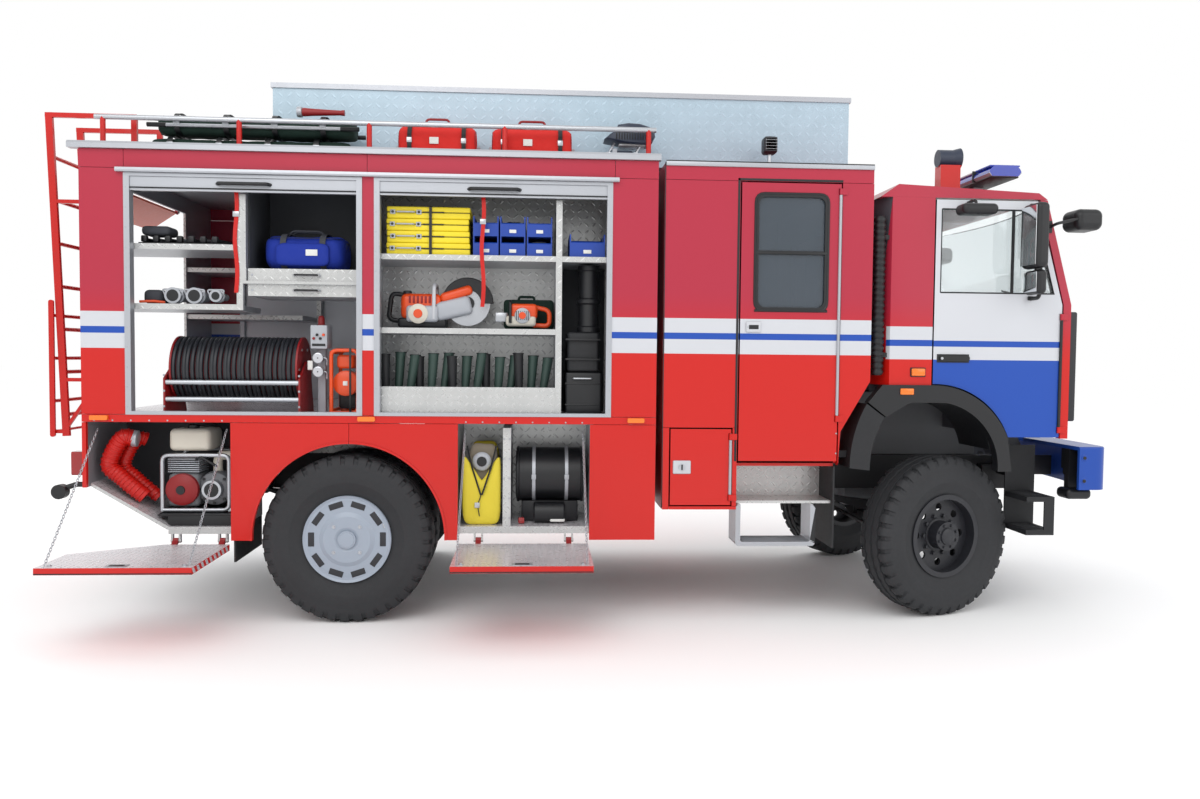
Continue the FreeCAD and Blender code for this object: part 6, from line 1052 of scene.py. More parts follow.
def kit_bag():
    """Bag with a front pocket, two straps, handles, a zip and a card."""
    x, y, z = span("kit_bag")
    top = z[1] - 22
    s = Shape("blue_bag")
    plump(s, "blue_cloth", x, (y[0] + 26, y[1]), (z[0], top), 3.4, 5.5, 16, 7, seed=3,
          sections=44, sides=60)
    pocket = (x[0] + 90, x[1] - 90)
    plump(s, "blue_cloth", pocket, (y[0], y[0] + 70), (z[0] + 20, top - 70), 4, 6, 0, 4, seed=9,
          rest=False)
    for along in (x[0] + 120, x[1] - 158):
        path = outline((y[0] + 24, y[1]), (z[0] + 1, top - 5), 3.4, 60)
        band(s, "grey_cloth", (along, along + 38), [(a, max(b, z[0] + 1)) for a, b in path], 3)
    for lift in (y[0] + 150, y[0] + 230):
        s.bent("grey_cloth", [(x[0] + 139, lift, top - 30), (x[0] + 170, lift, z[1] - 5),
                              (x[1] - 170, lift, z[1] - 7), (x[1] - 139, lift, top - 30)], 7, 60)
    seam(s, [(p, q, top - 42) for p, q in
                      outline((x[0] + 22, x[1] - 22), (y[0] + 40, y[1] - 14), 5, 60)])
    for along in (x[0] + 6, x[1] - 10):
        s.bent("grey_cloth", [(along, y[0] + 160, z[0] + 150), (along, y[0] + 170, z[0] + 190),
                              (along, y[0] + 240, z[0] + 190), (along, y[0] + 250, z[0] + 150)], 5, 20)
    s.box("white_cloth", (x[1] - 240, x[1] - 165), (y[0] - 2, y[0] + 3), (z[0] + 90, z[0] + 130), 1)
    obj = s.done()
    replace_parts(obj, "kit_bag")


def cases():
    """Four flat cases in a stack, strapped."""
    y0, y1 = GEAR_OUT, GEAR_IN
    s = Shape("yellow_cases")
    for k in range(4):
        x0, x1, z0 = 240 + 3 * (k % 2), 780 - 4 * (k % 3), TOP_SHELF + 78 * k
        s.box("yellow", (x0, x1), (y0 + 6, y1), (z0, z0 + 40), 9, 3)
        s.box("yellow", (x0 - 1, x1 + 1), (y0 + 4, y1 + 1), (z0 + 41.5, z0 + 77), 9, 3)
        s.box("black", (x0 + 4, x1 - 4), (y0 + 8, y1 - 2), (z0 + 38, z0 + 43), 1)
        for clasp in (x0 + 22, x0 + 190):
            s.box("pale_grey", (clasp, clasp + 34), (y0 - 3, y0 + 8), (z0 + 26, z0 + 56), 4)
            s.turned("black", (clasp + 17, y0 - 3, z0 + 41), RIGHT, [(0, 9), (2, 8)], 12)
        s.bent("pale_grey", [(x0 + 68, y0 + 6, z0 + 41), (x0 + 68, y0 - 10, z0 + 41),
                             (x0 + 178, y0 - 10, z0 + 41), (x0 + 178, y0 + 6, z0 + 41)], 5, 8)
        s.box("black", (x0 + 232, x0 + 370), (y0 + 1, y0 + 8), (z0 + 37, z0 + 45), 2)
    path = [(y0 - 5, 2400), (y0 - 5, 2702), (y0 + 12, 2708.5), (y1 - 12, 2708.5), (y1 + 3, 2702),
            (y1 + 3, 2400), (y1 - 12, 2395.6), (y0 + 12, 2395.6)]
    band(s, "black", (516, 534), list(reversed(path)), 2.4)
    obj = s.done()
    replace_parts(obj, "stowed_cases")


def sheet():
    """Folded yellow sheet in the lower locker, with its buckle and cords."""
    s = Shape("yellow_sheet")
    loops = []
    for i in range(33):
        t = math.sin(math.pi * (i / 32 - 0.5))
        x = 862 + 126 * t
        top = 925 + 205 * abs(t) ** 1.2 + 9 * wave(Vector((x * 0.02, 0, 3)))
        share = max((1 - abs(t) ** 6) ** (1 / 6), 0.05)
        lean = 8 * wave(Vector((x * 0.015, 5, 0)))
        loops.append([Vector((x, a + lean, b))
                      for a, b in outline((-1152, -1096), (LOW_FLOOR, top), 3, 34, share)])
    s.rings("yellow_cloth", loops)
    for k in range(6):
        y = -1092 + 66 * k
        plump(s, "yellow_cloth" if k % 2 else "canvas", (768, 972), (y, y + 70),
              (LOW_FLOOR, 1176 - 14 * (k % 3)), 3.2, 5, 10, 6, seed=2 * k, sections=20, sides=30)
    s.turned("pale_grey", (862, -1100, 1046), RIGHT, [(0, 60), (14, 62), (26, 52), (32, 30)], 28)
    s.turned("black", (862, -1128, 1046), RIGHT, [(0, 34), (12, 32), (14, 12)], 24)
    for side in (-1, 1):
        s.pipe("black", [(862 + side * 96, -1118, 1150), (862 + side * 62, -1150, 1010),
                         (862 + side * 4, -1164, 830)], 4, 8, flat=2)
    s.pipe("black", [(862, -1164, 836), (838, -1166, 760), (850, -1166, 690)], 3.5, 8)
    s.box("steel", (818, 852), (-1170, -1160), (744, 780), 4)
    obj = s.done()
    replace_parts(obj, "stowed_cases")


def contents():
    """Packed small gear in the open bins, and a blank card on each bin's front."""
    s = Shape("bin_contents")
    for i in range(3):
        for row, z0 in enumerate((TOP_SHELF, 2523.6)):
            x0 = 800 + 175 * i
            for k in range(3):
                y = -1120 + 116 * k
                plump(s, "black" if (i + k) % 2 else "grey_cloth", (x0 + 10, x0 + 155), (y, y + 110),
                      (z0 + 6, z0 + 88 + 14 * ((i + k + row) % 3)), 2.6, 3, 6, 7, 0.03, seed=i + 3 * k,
                      sections=14, sides=20)
            s.box("white_cloth", (x0 + 60, x0 + 105), (-1143, -1139), (z0 + 22, z0 + 44), 1)
            s.box("blue_bin", (x0 + 54, x0 + 111), (-1141.5, -1138), (z0 + 17, z0 + 49), 1.5)
    for k in range(4):
        s.turned("black" if k % 2 else "orange", (1465 + 52 * k, -1120, 2440), LEFT,
                 [(0, 20), (4, 24), (330, 24), (334, 18)], 16)
    s.box("white_cloth", (1520, 1572), (-1143, -1139), (2420, 2444), 1)
    s.done()


class FIRE_OT_bags(bpy.types.Operator):
    """Kit bag, strapped cases, bins' contents and the yellow sheet"""
    bl_idname = "fire.bags"
    bl_label = "Bags and cases"

    def execute(self, context):
        kit_bag()
        cases()
        sheet()
        contents()
        return {"FINISHED"}


def floodlight():
    """Finned floodlight on its feet."""
    s = Shape("floodlight", (0, 0, ROOF_Z))
    outer = [(1662, 192), (1700, 226), (1738, 252), (1752, 288), (1820, 300), (1900, 296),
             (1968, 276), (2000, 246), (2004, 210), (1984, 172), (1940, 158), (1800, 166)]
    middle = Vector((1850, 0, 225))
    loops = []
    for y, share in ((-1002, 0.86), (-994, 0.96), (-976, 1), (-828, 1), (-808, 0.96), (-800, 0.86)):
        loops.append([middle + (Vector((x, 0, up)) - middle) * share + Vector((0, y, 0))
                      for x, up in outer])
    s.rings("lamp_case", loops)
    for k in range(14):
        x = 1738 + 18 * k
        s.box("black", (x, x + 7), (-1007, -996), (188, 236), 2)
    s.box("lens", (1760, 1940), (-970, -830), (152, 166), 5)
    s.box("lamp_case", (1742, 1852), (-980, -830), (0, 118), 10, 3)
    s.box("pale_grey", (1716, 1748), (-990, -960), (60, 128), 5)
    for x in (1700, 1880):
        s.bent("steel", [(x, -960, 0), (x - 10, -960, 90), (x + 30, -940, 172)], 9, 30)
        torus(s, "steel", (x - 12, -992, 66), (0.4, 1, 0), 34, 5, 24, 6)
    s.box("steel", (1690, 1920), (-1000, -820), (0, 8), 3)
    return s.done()


def work_lamp():
    """Square lamp on a post."""
    s = Shape("work_lamp", (2752, -910, 3140))
    wide = 96
    s.turned("steel", (48, 0, -128), UP, [(0, 34), (6, 32), (10, 15), (126, 13)], 20)
    s.box("rim_black", (0, wide), (-52, 56), (0, 116), 22, 4)
    s.box("rim_black", (6, wide - 6), (-60, -46), (8, 108), 10, 3)
    s.box("lens", (13, wide - 13), (-60, -54), (16, 100), 6, 2)
    for k in range(4):
        s.pipe("steel", [(8, -60, 28 + 20 * k), (wide - 8, -60, 28 + 20 * k)], 1.8, 6)
    return s.done()


ROOF_LOAD_Y = -910


class FIRE_OT_roof_load(bpy.types.Operator):
    """Folded stretchers, floodlight bags, floodlight and work lamp on the roofs"""
    bl_idname = "fire.roof_load"
    bl_label = "Roof load"

    def execute(self, context):
        y, z = ROOF_LOAD_Y, ROOF_Z
        s = Shape("folded_stretchers")
        for x0, x1, low, seed in ((-1343, 20, z, 1), (-1300, 50, z + 148, 6)):
            plump(s, "green_cloth", (x0 + 40, x1 - 30), (y - 118, y + 118), (low, low + 144),
                  3, 9, 9, 9, 0.008, seed, 60, 48)
            for side in (-126, 124):
                s.pipe("steel", [(x0, y + side, low + 54), (x1, y + side, low + 54)], 13, 12)
                for a, b in ((x0, x0 + 120), (x1 - 120, x1)):
                    s.pipe("black", [(a, y + side, low + 54), (b, y + side, low + 54)], 15, 12)
            for k in range(4):
                at_x = x0 + 170 + 310 * k
                path = outline((y - 134, y + 132), (low + 2, low + 142), 3, 44)
                band(s, "black", (at_x, at_x + 34), path, 3)
                s.box("steel", (at_x - 4, at_x + 38), (y - 140, y - 132), (low + 60, low + 92), 2)
        s.turned("dark_red", (-330, y - 70, z + 318), AHEAD,
                 [(0, 26), (14, 28), (60, 24), (250, 16), (262, 19), (276, 19)], 24)
        s.turned("zinc", (-360, y - 70, z + 318), AHEAD, [(0, 33), (10, 35), (30, 35), (34, 27)], 16)
        obj = s.done()
        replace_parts(obj, "roof_gear")
        s = Shape("floodlight_bags")
        for x0, x1, seed in ((290, 812, 2), (905, 1449, 11)):
            level = z + 140
            plump(s, "orange_cloth", (x0, x1), (y - 126, y + 126), (z + 2, level + 126),
                  2.25, 7, 6, 5, 0.014, seed, 44, 52)
            for at_x in (x0 + 70, x1 - 98):
                path = outline((y - 127, y + 127), (z + 4, level + 122), 2.25, 52)
                band(s, "black", (at_x, at_x + 28), path, 3.5)
                s.box("steel", (at_x - 3, at_x + 31), (y - 134, y - 124), (level - 14, level + 20), 2)
            s.bent("dark_red", [(x0 + 180, y - 40, level + 116), (x0 + 190, y - 40, level + 158),
                                (x1 - 190, y - 40, level + 158), (x1 - 180, y - 40, level + 116)],
                   8, 26)
            for end, out in ((x0 + 12, -1), (x1 - 12, 1)):
                torus(s, "dark_red", (end, y, level), AHEAD, 92, 4, 32, 6)
                s.turned("pale_grey", (end, y + 30, level - 20), (out, 0, 0),
                         [(0, 20), (26, 18), (30, 14)], 16)
            s.box("white_cloth", (x0 + 215, x0 + 275), (y - 132, y - 126), (level - 20, level + 24), 2)
        obj = s.done()
        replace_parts(obj, "roof_gear")
        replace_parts(floodlight(), "roof_gear")
        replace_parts(work_lamp(), "roof_gear")
        return {"FINISHED"}


def bench():
    """The crew's four seats on one frame, with belts."""
    x, y, z = span("crew_seats")
    s = Shape("bench_frame")
    for k in range(5):
        at_y = y[0] + 40 + (y[1] - y[0] - 110) * k / 4
        s.box("dark_grey_and_shade_board", (x[0] + 40, x[0] + 396), (at_y, at_y + 30), (z[0], 1418), 4)
    s.box("dark_grey_and_shade_board", (x[0] + 38, x[0] + 398), (y[0], y[1]), (1396, 1419), 5)
    s.box("dark_grey_and_shade_board", (x[0] + 380, x[0] + 398), (y[0] + 20, y[1] - 20), (z[0] + 2, 1400), 4)
    for k in range(4):
        low = y[0] + (y[1] - y[0]) * k / 4
        at_y = low + 0.5 * (y[1] - y[0]) / 4
        s.box("black", (x[0] + 124, x[0] + 132), (at_y - 100, at_y - 60), (1500, 1560), 3)
        s.bent("black", [(x[0] + 120, at_y + 170, 2120), (x[0] + 130, at_y + 160, 2050),
                         (x[0] + 140, at_y - 60, 1600), (x[0] + 136, at_y - 80, 1545)], 5, 40)
    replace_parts(s.done(), "crew_seats")
    s = Shape("bench_cushions")
    for k in range(4):
        low, high = (y[0] + (y[1] - y[0]) * n / 4 for n in (k, k + 1))
        plump(s, "seat_cloth", (x[0] + 2, x[1]), (low, high), (1420, 1538), 5, 7, 8, 4, 0.01, k, 26, 44)
        plump(s, "seat_cloth", (x[0], x[0] + 116), (low, high), (1541, z[1]),
              6, 4, 0, 4, 0.01, 7 + k, 16, 48)
        seam(s, [(p, q, 1479) for p, q in outline((x[0] + 6, x[1] - 3), (low + 2, high - 2), 7, 44)])
        seam(s, [(x[0] + 58, p, q)
                 for p, q in outline((low + 2, high - 2), (1545, z[1] - 4), 6, 44)])
    obj = s.done()
    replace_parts(obj, "crew_seats")


def cab():
    """Seat bases, dash with its dials, steering wheel and the two seats."""
    floor = span("cab_interior")[2][0]
    s = Shape("cab_fittings")
    for mid in (-640, 640):
        s.box("dark_grey_and_shade_board", (3764, 4156), (mid - 196, mid + 196), (floor, floor + 40), 6)
        for k in range(5):
            s.box("black", (3790, 4140), (mid - 180 + 2 * k, mid + 180 - 2 * k),
                  (floor + 44 + 34 * k, floor + 70 + 34 * k), 10)
        s.box("dark_grey_and_shade_board", (3770, 4180), (mid - 190, mid + 190), (floor + 205, floor + 219), 5)
        s.pipe("black", [(4120, mid - 215, floor + 205), (4200, mid - 215, floor + 190)], 8)
    section = [(4480, 1850), (4486, 1960), (4505, 2050), (4545, 2080), (4700, 2080), (4700, 1800),
               (4545, 1800)]
    loops = []
    for k in range(25):
        yy = 1100 * (k / 12 - 1)
        swell = 26 * math.exp(-((yy - 640) / 260) ** 2)
        loops.append([Vector((px - swell * (0.3 if pz < 1900 else 1) * (px < 4600), yy, pz))
                      for px, pz in section])
    s.rings("dash_grey", loops)
    s.box("dash_grey", (4555, 4685), (-200, 200), (floor, 1830), 14, 3)
    s.box("black", (4470, 4500), (430, 850), (1975, 2062), 12, 3)
    for yy in (520, 640, 760):
        s.turned("rim_black", (4472, yy, 2020), (-1, 0, 0), [(0, 36), (6, 36), (8, 32)], 24)
        s.turned("white_gloss", (4466, yy, 2020), (-1, 0, 0), [(0, 30), (1, 30)], 24)
        s.box("red_lens", (4463, 4465.5), (yy - 2, yy + 2), (2016, 2046), 0.5)
    for yy in (-900, -500, -120, 160):
        for k in range(5):
            s.box("black", (4478, 4500), (yy, yy + 130), (1970 + 12 * k, 1976 + 12 * k), 2)
    centre = Vector((4370, 640, 2190))
    tilt = Matrix.Rotation(math.radians(-28), 3, "Y")
    ring = [centre + tilt @ Vector((225 * math.cos(a), 225 * math.sin(a), 0)) for a in around(48)]
    s.pipe("black", ring, 15, 12, closed=True)
    for a in around(4):
        s.pipe("black", [centre + tilt @ Vector((30 * math.cos(a), 30 * math.sin(a), -12)),
                         centre + tilt @ Vector((222 * math.cos(a), 222 * math.sin(a), 0))], 10, 10)
    axis = tilt @ Vector((0, 0, 1))
    s.turned("black", centre, axis, [(-285, 30), (-60, 30), (-40, 46), (4, 46), (9, 30)], 28)
    for side in (-1, 1):
        start = centre - axis * 50
        s.pipe("black", [start, start + Vector((0, 150 * side, 14))], 6, 8)
    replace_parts(s.done("cab"), "cab_interior")
    s = Shape("cab_seats")
    for mid in (-640, 640):
        for x, half, low, high, more in (
                ((3720, 4228), 248, 220, 338, (4.6, 6, 9, 4, 0.01, mid, 30, 48)),
                ((3620, 3738), 238, 345, 780, (5, 3.4, 0, 4, 0.01, mid + 5, 20, 52)),
                ((3630, 3730), 140, 800, 998, (3.4, 3, 0, 4, 0.012, mid + 9, 16, 36, False)),
                ((3700, 3800), 190, 300, 400, (3, 3, 0, 4, 0.012, mid + 2, 12, 30))):
            plump(s, "seat_cloth", x, (mid - half, mid + half), (floor + low, floor + high), *more)
        for yy in (-90, 90):
            s.pipe("steel", [(3680, mid + yy, floor + 760), (3680, mid + yy, floor + 830)], 7, 8)
        seam(s, [(p, q, floor + 279) for p, q in
                          outline((3723, 4225), (mid - 246, mid + 246), 6, 48)])
        seam(s, [(3679, p, q) for p, q in
                          outline((mid - 236, mid + 236), (floor + 348, floor + 777), 5, 52)])
    obj = s.done("cab")
    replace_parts(obj, "cab_interior")


class FIRE_OT_seats(bpy.types.Operator):
    """Cab seats, dash and steering wheel, and the crew's bench"""
    bl_idname = "fire.seats"
    bl_label = "Seats"

    def execute(self, context):
        bench()
        cab()
        return {"FINISHED"}


# The chains' and the flaps' ends in x, the chains' anchors in (y, z), and the open bays' x.
CHAINS = (("rear", -1570, -766), ("mid", 757, 1525))
FLAPS = (("rear", -1604, -732), ("mid", 723, 1559))
CHAIN_TOP, CHAIN_FOOT = (-1180, 1255), (-1890, 527.4)
LINK_PITCH = 19
BAYS = ((-1366, 104), (181, 1702))
LOW_BAYS = ((-1612, -724), (715, 1567))


def slant(s, x, y, width, lean):
    """One slanting white field of the hazard strip on a flap's forward edge."""
    loops = []
    for shift, z in ((lean, 486), (-lean, 520)):
        a, b = y + shift, y + shift + width
        loops.append([Vector((px, py, z)) for px, py in ((x, a), (x, b), (x + 1.2, b), (x + 1.2, a))])
    s.rings("white_gloss", loops)


def chain(s, start, end):
    """Oval links, each turned a quarter from the last."""
    ahead = (end - start).normalized()
    count = int((end - start).length / LINK_PITCH)
    side = ahead.orthogonal().normalized()
    other = ahead.cross(side)
    for k in range(count):
        centre = start + (end - start) * (k + 0.5) / count
        across = side if k % 2 else other
        ring = [centre + ahead * (12.6 * math.cos(a)) + across * (7 * math.sin(a)) for a in around(12)]
        s.pipe("steel", ring, 2.3, 6, closed=True)


class FIRE_OT_flaps(bpy.types.Operator):
    """Chains, hazard strips, rivets and handles of the fold-down flaps"""
    bl_idname = "fire.flaps"
    bl_label = "Flaps"

    def execute(self, context):
        top, foot = CHAIN_TOP, CHAIN_FOOT
        for which, x0, x1 in CHAINS:
            s = Shape("chains_" + which)
            for x in (x0, x1):
                chain(s, Vector((x, *top)), Vector((x, *foot)))
            obj = s.done()
            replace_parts(obj, "flap_chains")
            pull = at(x0, *foot) - at(x0, *top)
            tuple(at(x0, *top))
            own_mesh(obj)
        for which, x0, x1 in FLAPS:
            mid = 0.5 * (x0 + x1)
            s = Shape("flap_trim_" + which)
            for k in range(9):
                slant(s, x1, -1936 + 76 * k, 36, 14)
            s.box("black", (x0, x1), (-1951.5, -1949), (485, 492), 1)
            for x in (x0 + 60, x1 - 60):
                s.turned("steel", (x, -1890, 523), UP, [(0, 15), (4, 15), (5, 9), (9, 8)], 16)
            for k in range(9):
                x = x0 + 40 + (x1 - x0 - 80) * k / 8
                s.turned("zinc", (x, -1925, 523), UP, [(0, 6), (2, 5)], 10)
            s.box("zinc", (mid - 60, mid + 60), (-1932, -1860), (522, 526), 1.5)
            s.box("black", (mid - 42, mid + 42), (-1916, -1880), (524, 528), 2)
            s.done("flap_%s_right" % which)
        return {"FINISHED"}


NOSE_X, NOSE_BACK, NOSE_HALF = 4990, 190, 1165


def nose(y):
    """How far forward the cab's nose is at y."""
    return NOSE_X - NOSE_BACK * (abs(y) / NOSE_HALF) ** 2.4


def grille():
    """Black bars across the nose, their end pieces, and the wipers."""
    s = Shape("grille")
    for low, high, ahead in ((1335, 1378, 66), (2036, 2080, 62), (1600, 1640, 64), (1378, 2036, 4)):
        across(s, low, high, -6, ahead)
    for k in range(9):
        z = 1394 + 70 * k
        across(s, z, z + 26, 10, 52)
    for sign in (-1, 1):
        x = nose(1112)
        s.box("rim_black", (x - 10, x + 70), sided(sign, 1112, 1146), (1335, 2080), 14, 4)
        x = nose(NOSE_HALF)
        s.pipe("black", [(x + 6, sign * 1150, 1330), (x - 8, sign * 1150, 2060)], 9)
    for y in (-720, 120):
        x = nose(y) - 6
        s.turned("black", (x - 8, y, 2090), (1, 0, 0.3), [(0, 16), (16, 16), (20, 8)], 14)
        s.pipe("black", [(x + 6, y, 2092), (x - 20, y + 260, 2180), (x - 42, y + 480, 2230)], 6, 8)
        s.pipe("black", [(x - 10, y + 150, 2190), (x - 60, y + 640, 2290)], 5, 8, flat=2.2)
    s.done("cab")


def across(s, low, high, back, ahead):
    """A black bar that follows the nose from side to side."""
    loops = []
    for i in range(33):
        y = -1120 + 70 * i
        x = nose(y)
        loops.append([Vector((x + reach, y, z)) for reach, z in (
            (back, low), (ahead - 5, low), (ahead, low + 5), (ahead, high - 8), (ahead - 8, high),
            (back, high))])
    s.rings("rim_black", loops)


def beacons():
    """Ribs and bands of the light bar, and the horn's bell."""
    s = Shape("light_bar_parts")
    for y in (-955, 705):
        for k in range(9):
            s.box("blue_lens", (4336, 4554), (y + 6 + 26 * k, y + 24 + 26 * k), (3086, 3098), 4)
    s.box("white_gloss", (4340, 4550), (-690, 690), (3084, 3099), 6)
    s.box("black", (4342, 4548), (-945, 945), (3011, 3021), 4)
    for y in (-700, 0, 700):
        s.box("black", (4325, 4565), (y - 6, y + 6), (3018, 3098), 3)
    s.turned("lamp_case", (4062, -900, 3140), AHEAD,
             [(-70, 26), (-20, 30), (0, 44), (60, 58), (72, 70), (76, 66)], 32)
    s.done("cab")


def mirrors():
    """Mirror glass and clamps, handles and window seals of the cab doors."""
    for side, sign in SIDES:
        s = Shape("mirror_glass_" + side)
        s.box("mirror", (4397, 4401), sided(sign, 1302, 1498), (2365, 2744), 1.5)
        s.box("mirror", (4417, 4421), sided(sign, 1312, 1478), (2192, 2320), 1.5)
        for z in (2240, 2680):
            s.box("black", (4478, 4506), sided(sign, 1318, 1362), (z, z + 40), 6)
        for z in (2148, 2763):
            s.box("black", (4492, 4538), sided(sign, 1221, 1236), (z, z + 28), 5)
        s.box("rubber", (3882, 4102), sided(sign, 1220, 1224), (1728, 1784), 3)
        s.turned("steel", (3912, sign * 1235, 1756), (0, sign, 0), [(0, 10), (3.5, 9)], 16)
        for x0, x1, z0, z1 in ((3896, 4682, 2189, 2199), (3892, 3900, 2192, 2748),
                               (4380, 4396, 2196, 2748), (3896, 4534, 2744, 2751)):
            s.box("rubber", (x0, x1), sided(sign, 1204, 1221.5), (z0, z1), 2)
        s.done("cab_door_" + side)


def bumper():
    """Bolts, fog lamps, towing eyes and a blank board."""
    s = Shape("bumper_fittings")
    for sign in (-1, 1):
        for z in (933, 1090):
            s.turned("blue_gloss", (4930, sign * 1208, z), (0, sign, 0),
                     [(0, 22), (4, 22), (6, 18)], 20)
            s.turned("black", (4930, sign * 1213, z), (0, sign, 0), [(0, 13), (5, 12), (6, 8)], 6)
        s.turned("black", (5142, sign * 900, 1020), AHEAD, [(0, 98), (7, 98), (7, 84), (4, 80)], 36)
        s.turned("lens", (5142, sign * 900, 1020), AHEAD, [(0, 80), (6, 60), (8, 10)], 32)
        s.turned("steel", (5146, sign * 430, 940), AHEAD, [(0, 34), (3, 34), (3, 22)], 20)
    s.box("white_gloss", (5148, 5152), (-260, 260), (900, 1010), 3)
    s.box("black", (5144, 5149.5), (-268, 268), (892, 1018), 3)
    s.done()


class FIRE_OT_front(bpy.types.Operator):
    """Grille, wipers, light bar, horn, mirror glass, door fittings and bumper fittings"""
    bl_idname = "fire.front"
    bl_label = "Front"

    def execute(self, context):
        grille()
        beacons()
        mirrors()
        bumper()
        return {"FINISHED"}


def lockers():
    """Straps, shutter rails with rivets, dark boards of painted shade behind the gear, and a grip."""
    s = Shape("locker_straps")
    for x, y, z0, z1 in ((-712, -1186, 2130, 2800), (852, -1186, 2060, 2800)):
        drift = [Vector((x + 7 * math.sin(0.8 * k), y - 2 * math.sin(1.3 * k), z1 + (z0 - z1) * k / 12))
                 for k in range(13)]
        loops = [[p + Vector((wide, deep, 0)) for wide, deep in ((0, 0), (26, 0), (26, 2.5), (0, 2.5))]
                 for p in drift]
        s.rings("plain_red", loops)
        buckle = z0 + 0.72 * (z1 - z0)
        s.box("steel", (x - 6, x + 34), (y - 5, y + 5), (buckle, buckle + 34), 2)
    for x0, x1 in BAYS:
        for x in (x0 + 1, x1 - 9):
            s.box("rubber", (x, x + 8), (-1254, -1190), (1354, 2865), 2)
        s.box("rubber", (x0 + 1, x1 - 1), (-1254, -1200), (2772, 2780), 2)
        for x in (x0 + 8, x1 - 14):
            for k in range(12):
                rivet(s, (x + 3, -1255.5, 1400 + 125 * k), 5, 1.6)
    # Painted shade: dark boards at the backs of the open bays, behind the gear.
    s.box("dark_grey_and_shade_board", (-638, 102), (-632, -626), (2212, 2864), 2)
    s.box("dark_grey_and_shade_board", (-638, -632), (-1130, -632), (2296, 2864), 2)
    s.box("dark_grey_and_shade_board", (1384, 1696), (-632, -626), (1354, 2392), 2)
    for z in (2249, 2151):
        s.bent("black", [(-330, -1182, z), (-330, -1206, z), (-190, -1206, z), (-190, -1182, z)], 6, 14)
        for x in (-610, 84):
            rivet(s, (x, -1150, z), 8, 3, 10)
    s.done()


# The rear lower locker's sloping floor.
SLOPE_X, SLOPE_Z, SLOPE = -1612, 889, 0.554


def low_lockers():
    """Ribbed red hoses, a dark board of painted shade, and rivets of the lower lockers."""
    s = Shape("red_hose")
    path = [(-1392, -1090, 1188), (-1440, -1110, 1196), (-1500, -1112, 1110), (-1530, -1110, 1010),
            (-1470, -1104, 948), (-1400, -1096, 880), (-1310, -1080, 800)]
    smooth = []
    for i in range(len(path) - 1):
        p0 = Vector(path[max(i - 1, 0)])
        p1, p2 = Vector(path[i]), Vector(path[i + 1])
        p3 = Vector(path[min(i + 2, len(path) - 1)])
        for k in range(8):
            t = k / 8
            smooth.append(0.5 * ((2 * p1) + (p2 - p0) * t + (2 * p0 - 5 * p1 + 4 * p2 - p3) * t * t
                                 + (3 * p1 - 3 * p2 + p3 - p0) * t * t * t))
    for radius, shift in ((50, Vector((0, 0, 0))), (40, Vector((52, 104, -16)))):
        lift = []
        for p in smooth:
            p = p + shift
            floor = SLOPE_Z - SLOPE * (p.x - SLOPE_X)
            lift.append(Vector((p.x, p.y, max(p.z, floor + 1.22 * radius))))
        s.pipe("plain_red", lift, radius, 20)
        for i in range(1, len(lift) - 1, 2):
            torus(s, "plain_red", lift[i], lift[i + 1] - lift[i - 1], radius, 6, 22, 6)
    s.turned("zinc", (-1392, -1090, 1188), (1, 0.1, -0.1), [(0, 50), (6, 54), (34, 54), (40, 40)], 24)
    s.done()
    s = Shape("locker_details")
    # Painted shade: a dark board across the back of the rear lower locker.
    board = ((-1606, 890), (-1149, 632), (-738, 632), (-738, 1296), (-1606, 1296))
    s.rings("dark_grey_and_shade_board", [[Vector((x, y, z)) for x, z in board] for y in (-636, -629)])
    for x in (1010, 1046):
        for k in range(5):
            rivet(s, (x, -1182, 680 + 130 * k), 6, 2, 10)
    for x0, x1 in LOW_BAYS:
        for k in range(8):
            x = x0 + 50 + (x1 - x0 - 100) * k / 7
            rivet(s, (x, -1250, 1314), 6, 1.5)
    s.done()


def doors():
    """Window seals, handles and rivets of the crew and low locker doors."""
    for side, sign in SIDES:
        s = Shape("crew_door_parts_" + side)
        pane = [(2637, 2057), (3121, 2057), (3121, 2819), (2637, 2819)]
        s.bent("black", [(p, sign * 1250, q) for p, q in pane + pane[:2]], 9, 60, 8)
        s.box("black", (2640, 3118), sided(sign, 1251, 1255), (2425, 2441), 2)
        s.box("white_gloss", (2584, 2682), sided(sign, 1251, 1262), (1914, 1984), 10, 3)
        s.box("black", (2602, 2666), sided(sign, 1260, 1264), (1934, 1962), 5)
        s.turned("steel", (2596, sign * 1262, 1948), (0, sign, 0), [(0, 7), (2, 6)], 12)
        for k in range(14):
            s.turned("zinc", (3199, sign * 1252, 1120 + 132 * k), (0, sign, 0), [(0, 6), (3, 5)], 8)
        s.done("crew_door_" + side)
        s = Shape("locker_door_parts_" + side)
        s.box("white_gloss", (2116, 2230), sided(sign, 1251, 1258), (984, 1068), 8, 3)
        s.turned("steel", (2173, sign * 1258, 1026), (0, sign, 0), [(0, 22), (5, 22), (6, 16)], 24)
        s.box("black", (2168, 2178), sided(sign, 1262, 1268), (1008, 1044), 2)
        s.done("locker_door_" + side)


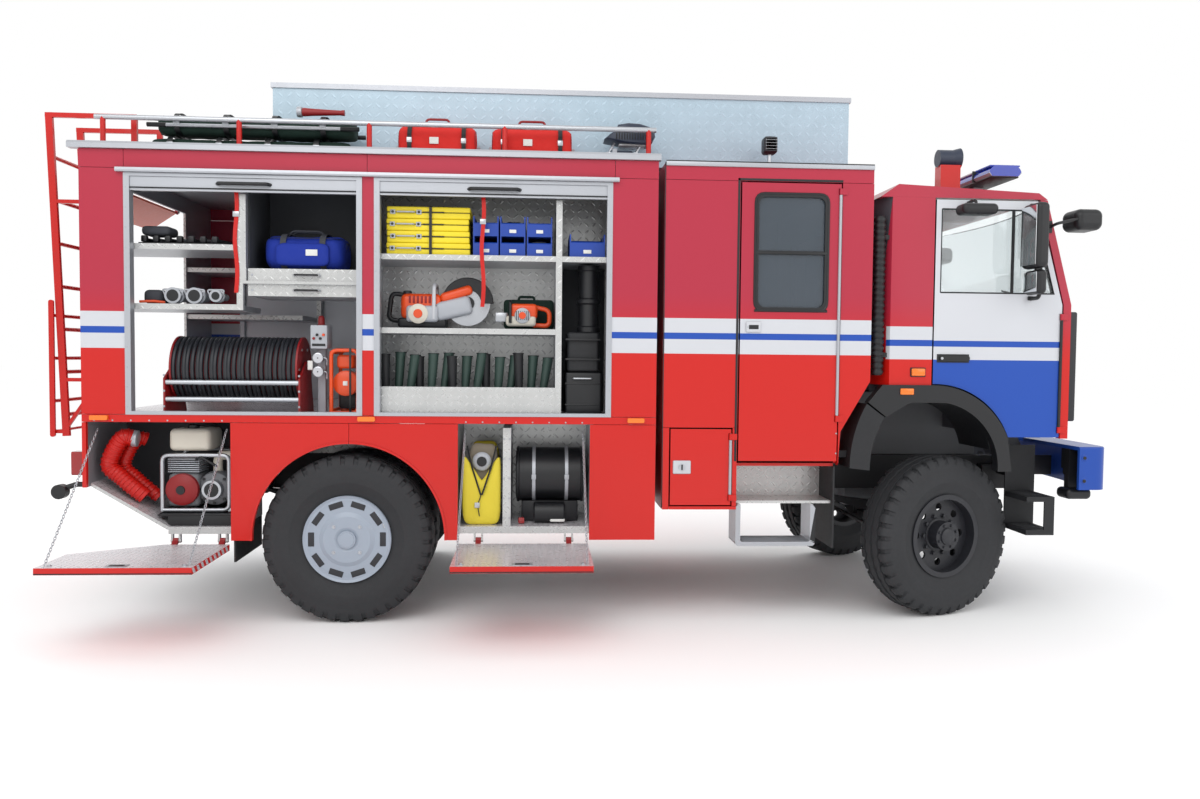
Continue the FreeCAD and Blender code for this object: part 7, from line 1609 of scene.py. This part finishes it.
def lamps():
    """Crew cabin's gutters and door gaps, and the cab's side lamps."""
    s = Shape("crew_cabin_trim")
    for sign in (-1, 1):
        def strip(material, x, z, out):
            s.box(material, x, sided(sign, 1249, out), z, 1.5)
        strip("zinc", (2047, 3421), (2984, 3012), 1262)
        strip("black", (2047, 3421), (3012, 3020), 1258)
        strip("rubber", (2519, 2534), (1066, 2914), 1252.5)
        strip("rubber", (2519, 3214), (2899, 2914), 1252.5)
        strip("rubber", (2040, 2047.5), (760, 3008), 1251)
    s.done()
    s = Shape("cab_lamps")
    for sign in (-1, 1):
        s.box("black", (3702, 3806), sided(sign, 1220, 1226), (1631, 1693), 5)
        s.box("amber", (3708, 3800), sided(sign, 1224, 1240), (1637, 1687), 8, 3)
        s.box("amber", (3628, 3720), sided(sign, 1243, 1256), (1512, 1554), 7, 3)
    s.done("cab")


class FIRE_OT_sides(bpy.types.Operator):
    """Straps, shutter rails, hoses, handles, door seals, rivets and small lamps along the sides"""
    bl_idname = "fire.sides"
    bl_label = "Sides"

    def execute(self, context):
        lockers()
        low_lockers()
        doors()
        lamps()
        return {"FINISHED"}


class FIRE_PT_panel(bpy.types.Panel):
    """Sizes, colours and pieces of the fire engine"""
    bl_label = "Fire engine"
    bl_idname = "FIRE_PT_panel"
    bl_space_type = "VIEW_3D"
    bl_region_type = "UI"
    bl_category = "Fire engine"

    def draw(self, context):
        for group in (context.scene.fire_sizes, context.scene.fire_colours):
            for name in group.__annotations__:
                self.layout.prop(group, name)
        for operator in OPERATORS:
            self.layout.operator(operator.bl_idname)


OPERATORS = (FIRE_OT_stage, FIRE_OT_finishes, FIRE_OT_wheels, FIRE_OT_reel, FIRE_OT_tools,
             FIRE_OT_bags, FIRE_OT_roof_load, FIRE_OT_seats, FIRE_OT_flaps, FIRE_OT_front,
             FIRE_OT_sides)
CLASSES = (EngineColours, EngineSizes) + OPERATORS + (FIRE_PT_panel,)


def register():
    for cls in CLASSES:
        bpy.utils.register_class(cls)
    bpy.types.Scene.fire_colours = PointerProperty(type=EngineColours)
    bpy.types.Scene.fire_sizes = PointerProperty(type=EngineSizes)


def unregister():
    del bpy.types.Scene.fire_colours
    del bpy.types.Scene.fire_sizes
    for cls in reversed(CLASSES):
        bpy.utils.unregister_class(cls)


def main():
    register()
    for operator in OPERATORS:
        group, name = operator.bl_idname.split(".")
        getattr(getattr(bpy.ops, group), name)()


if __name__ == "__main__":
    main()
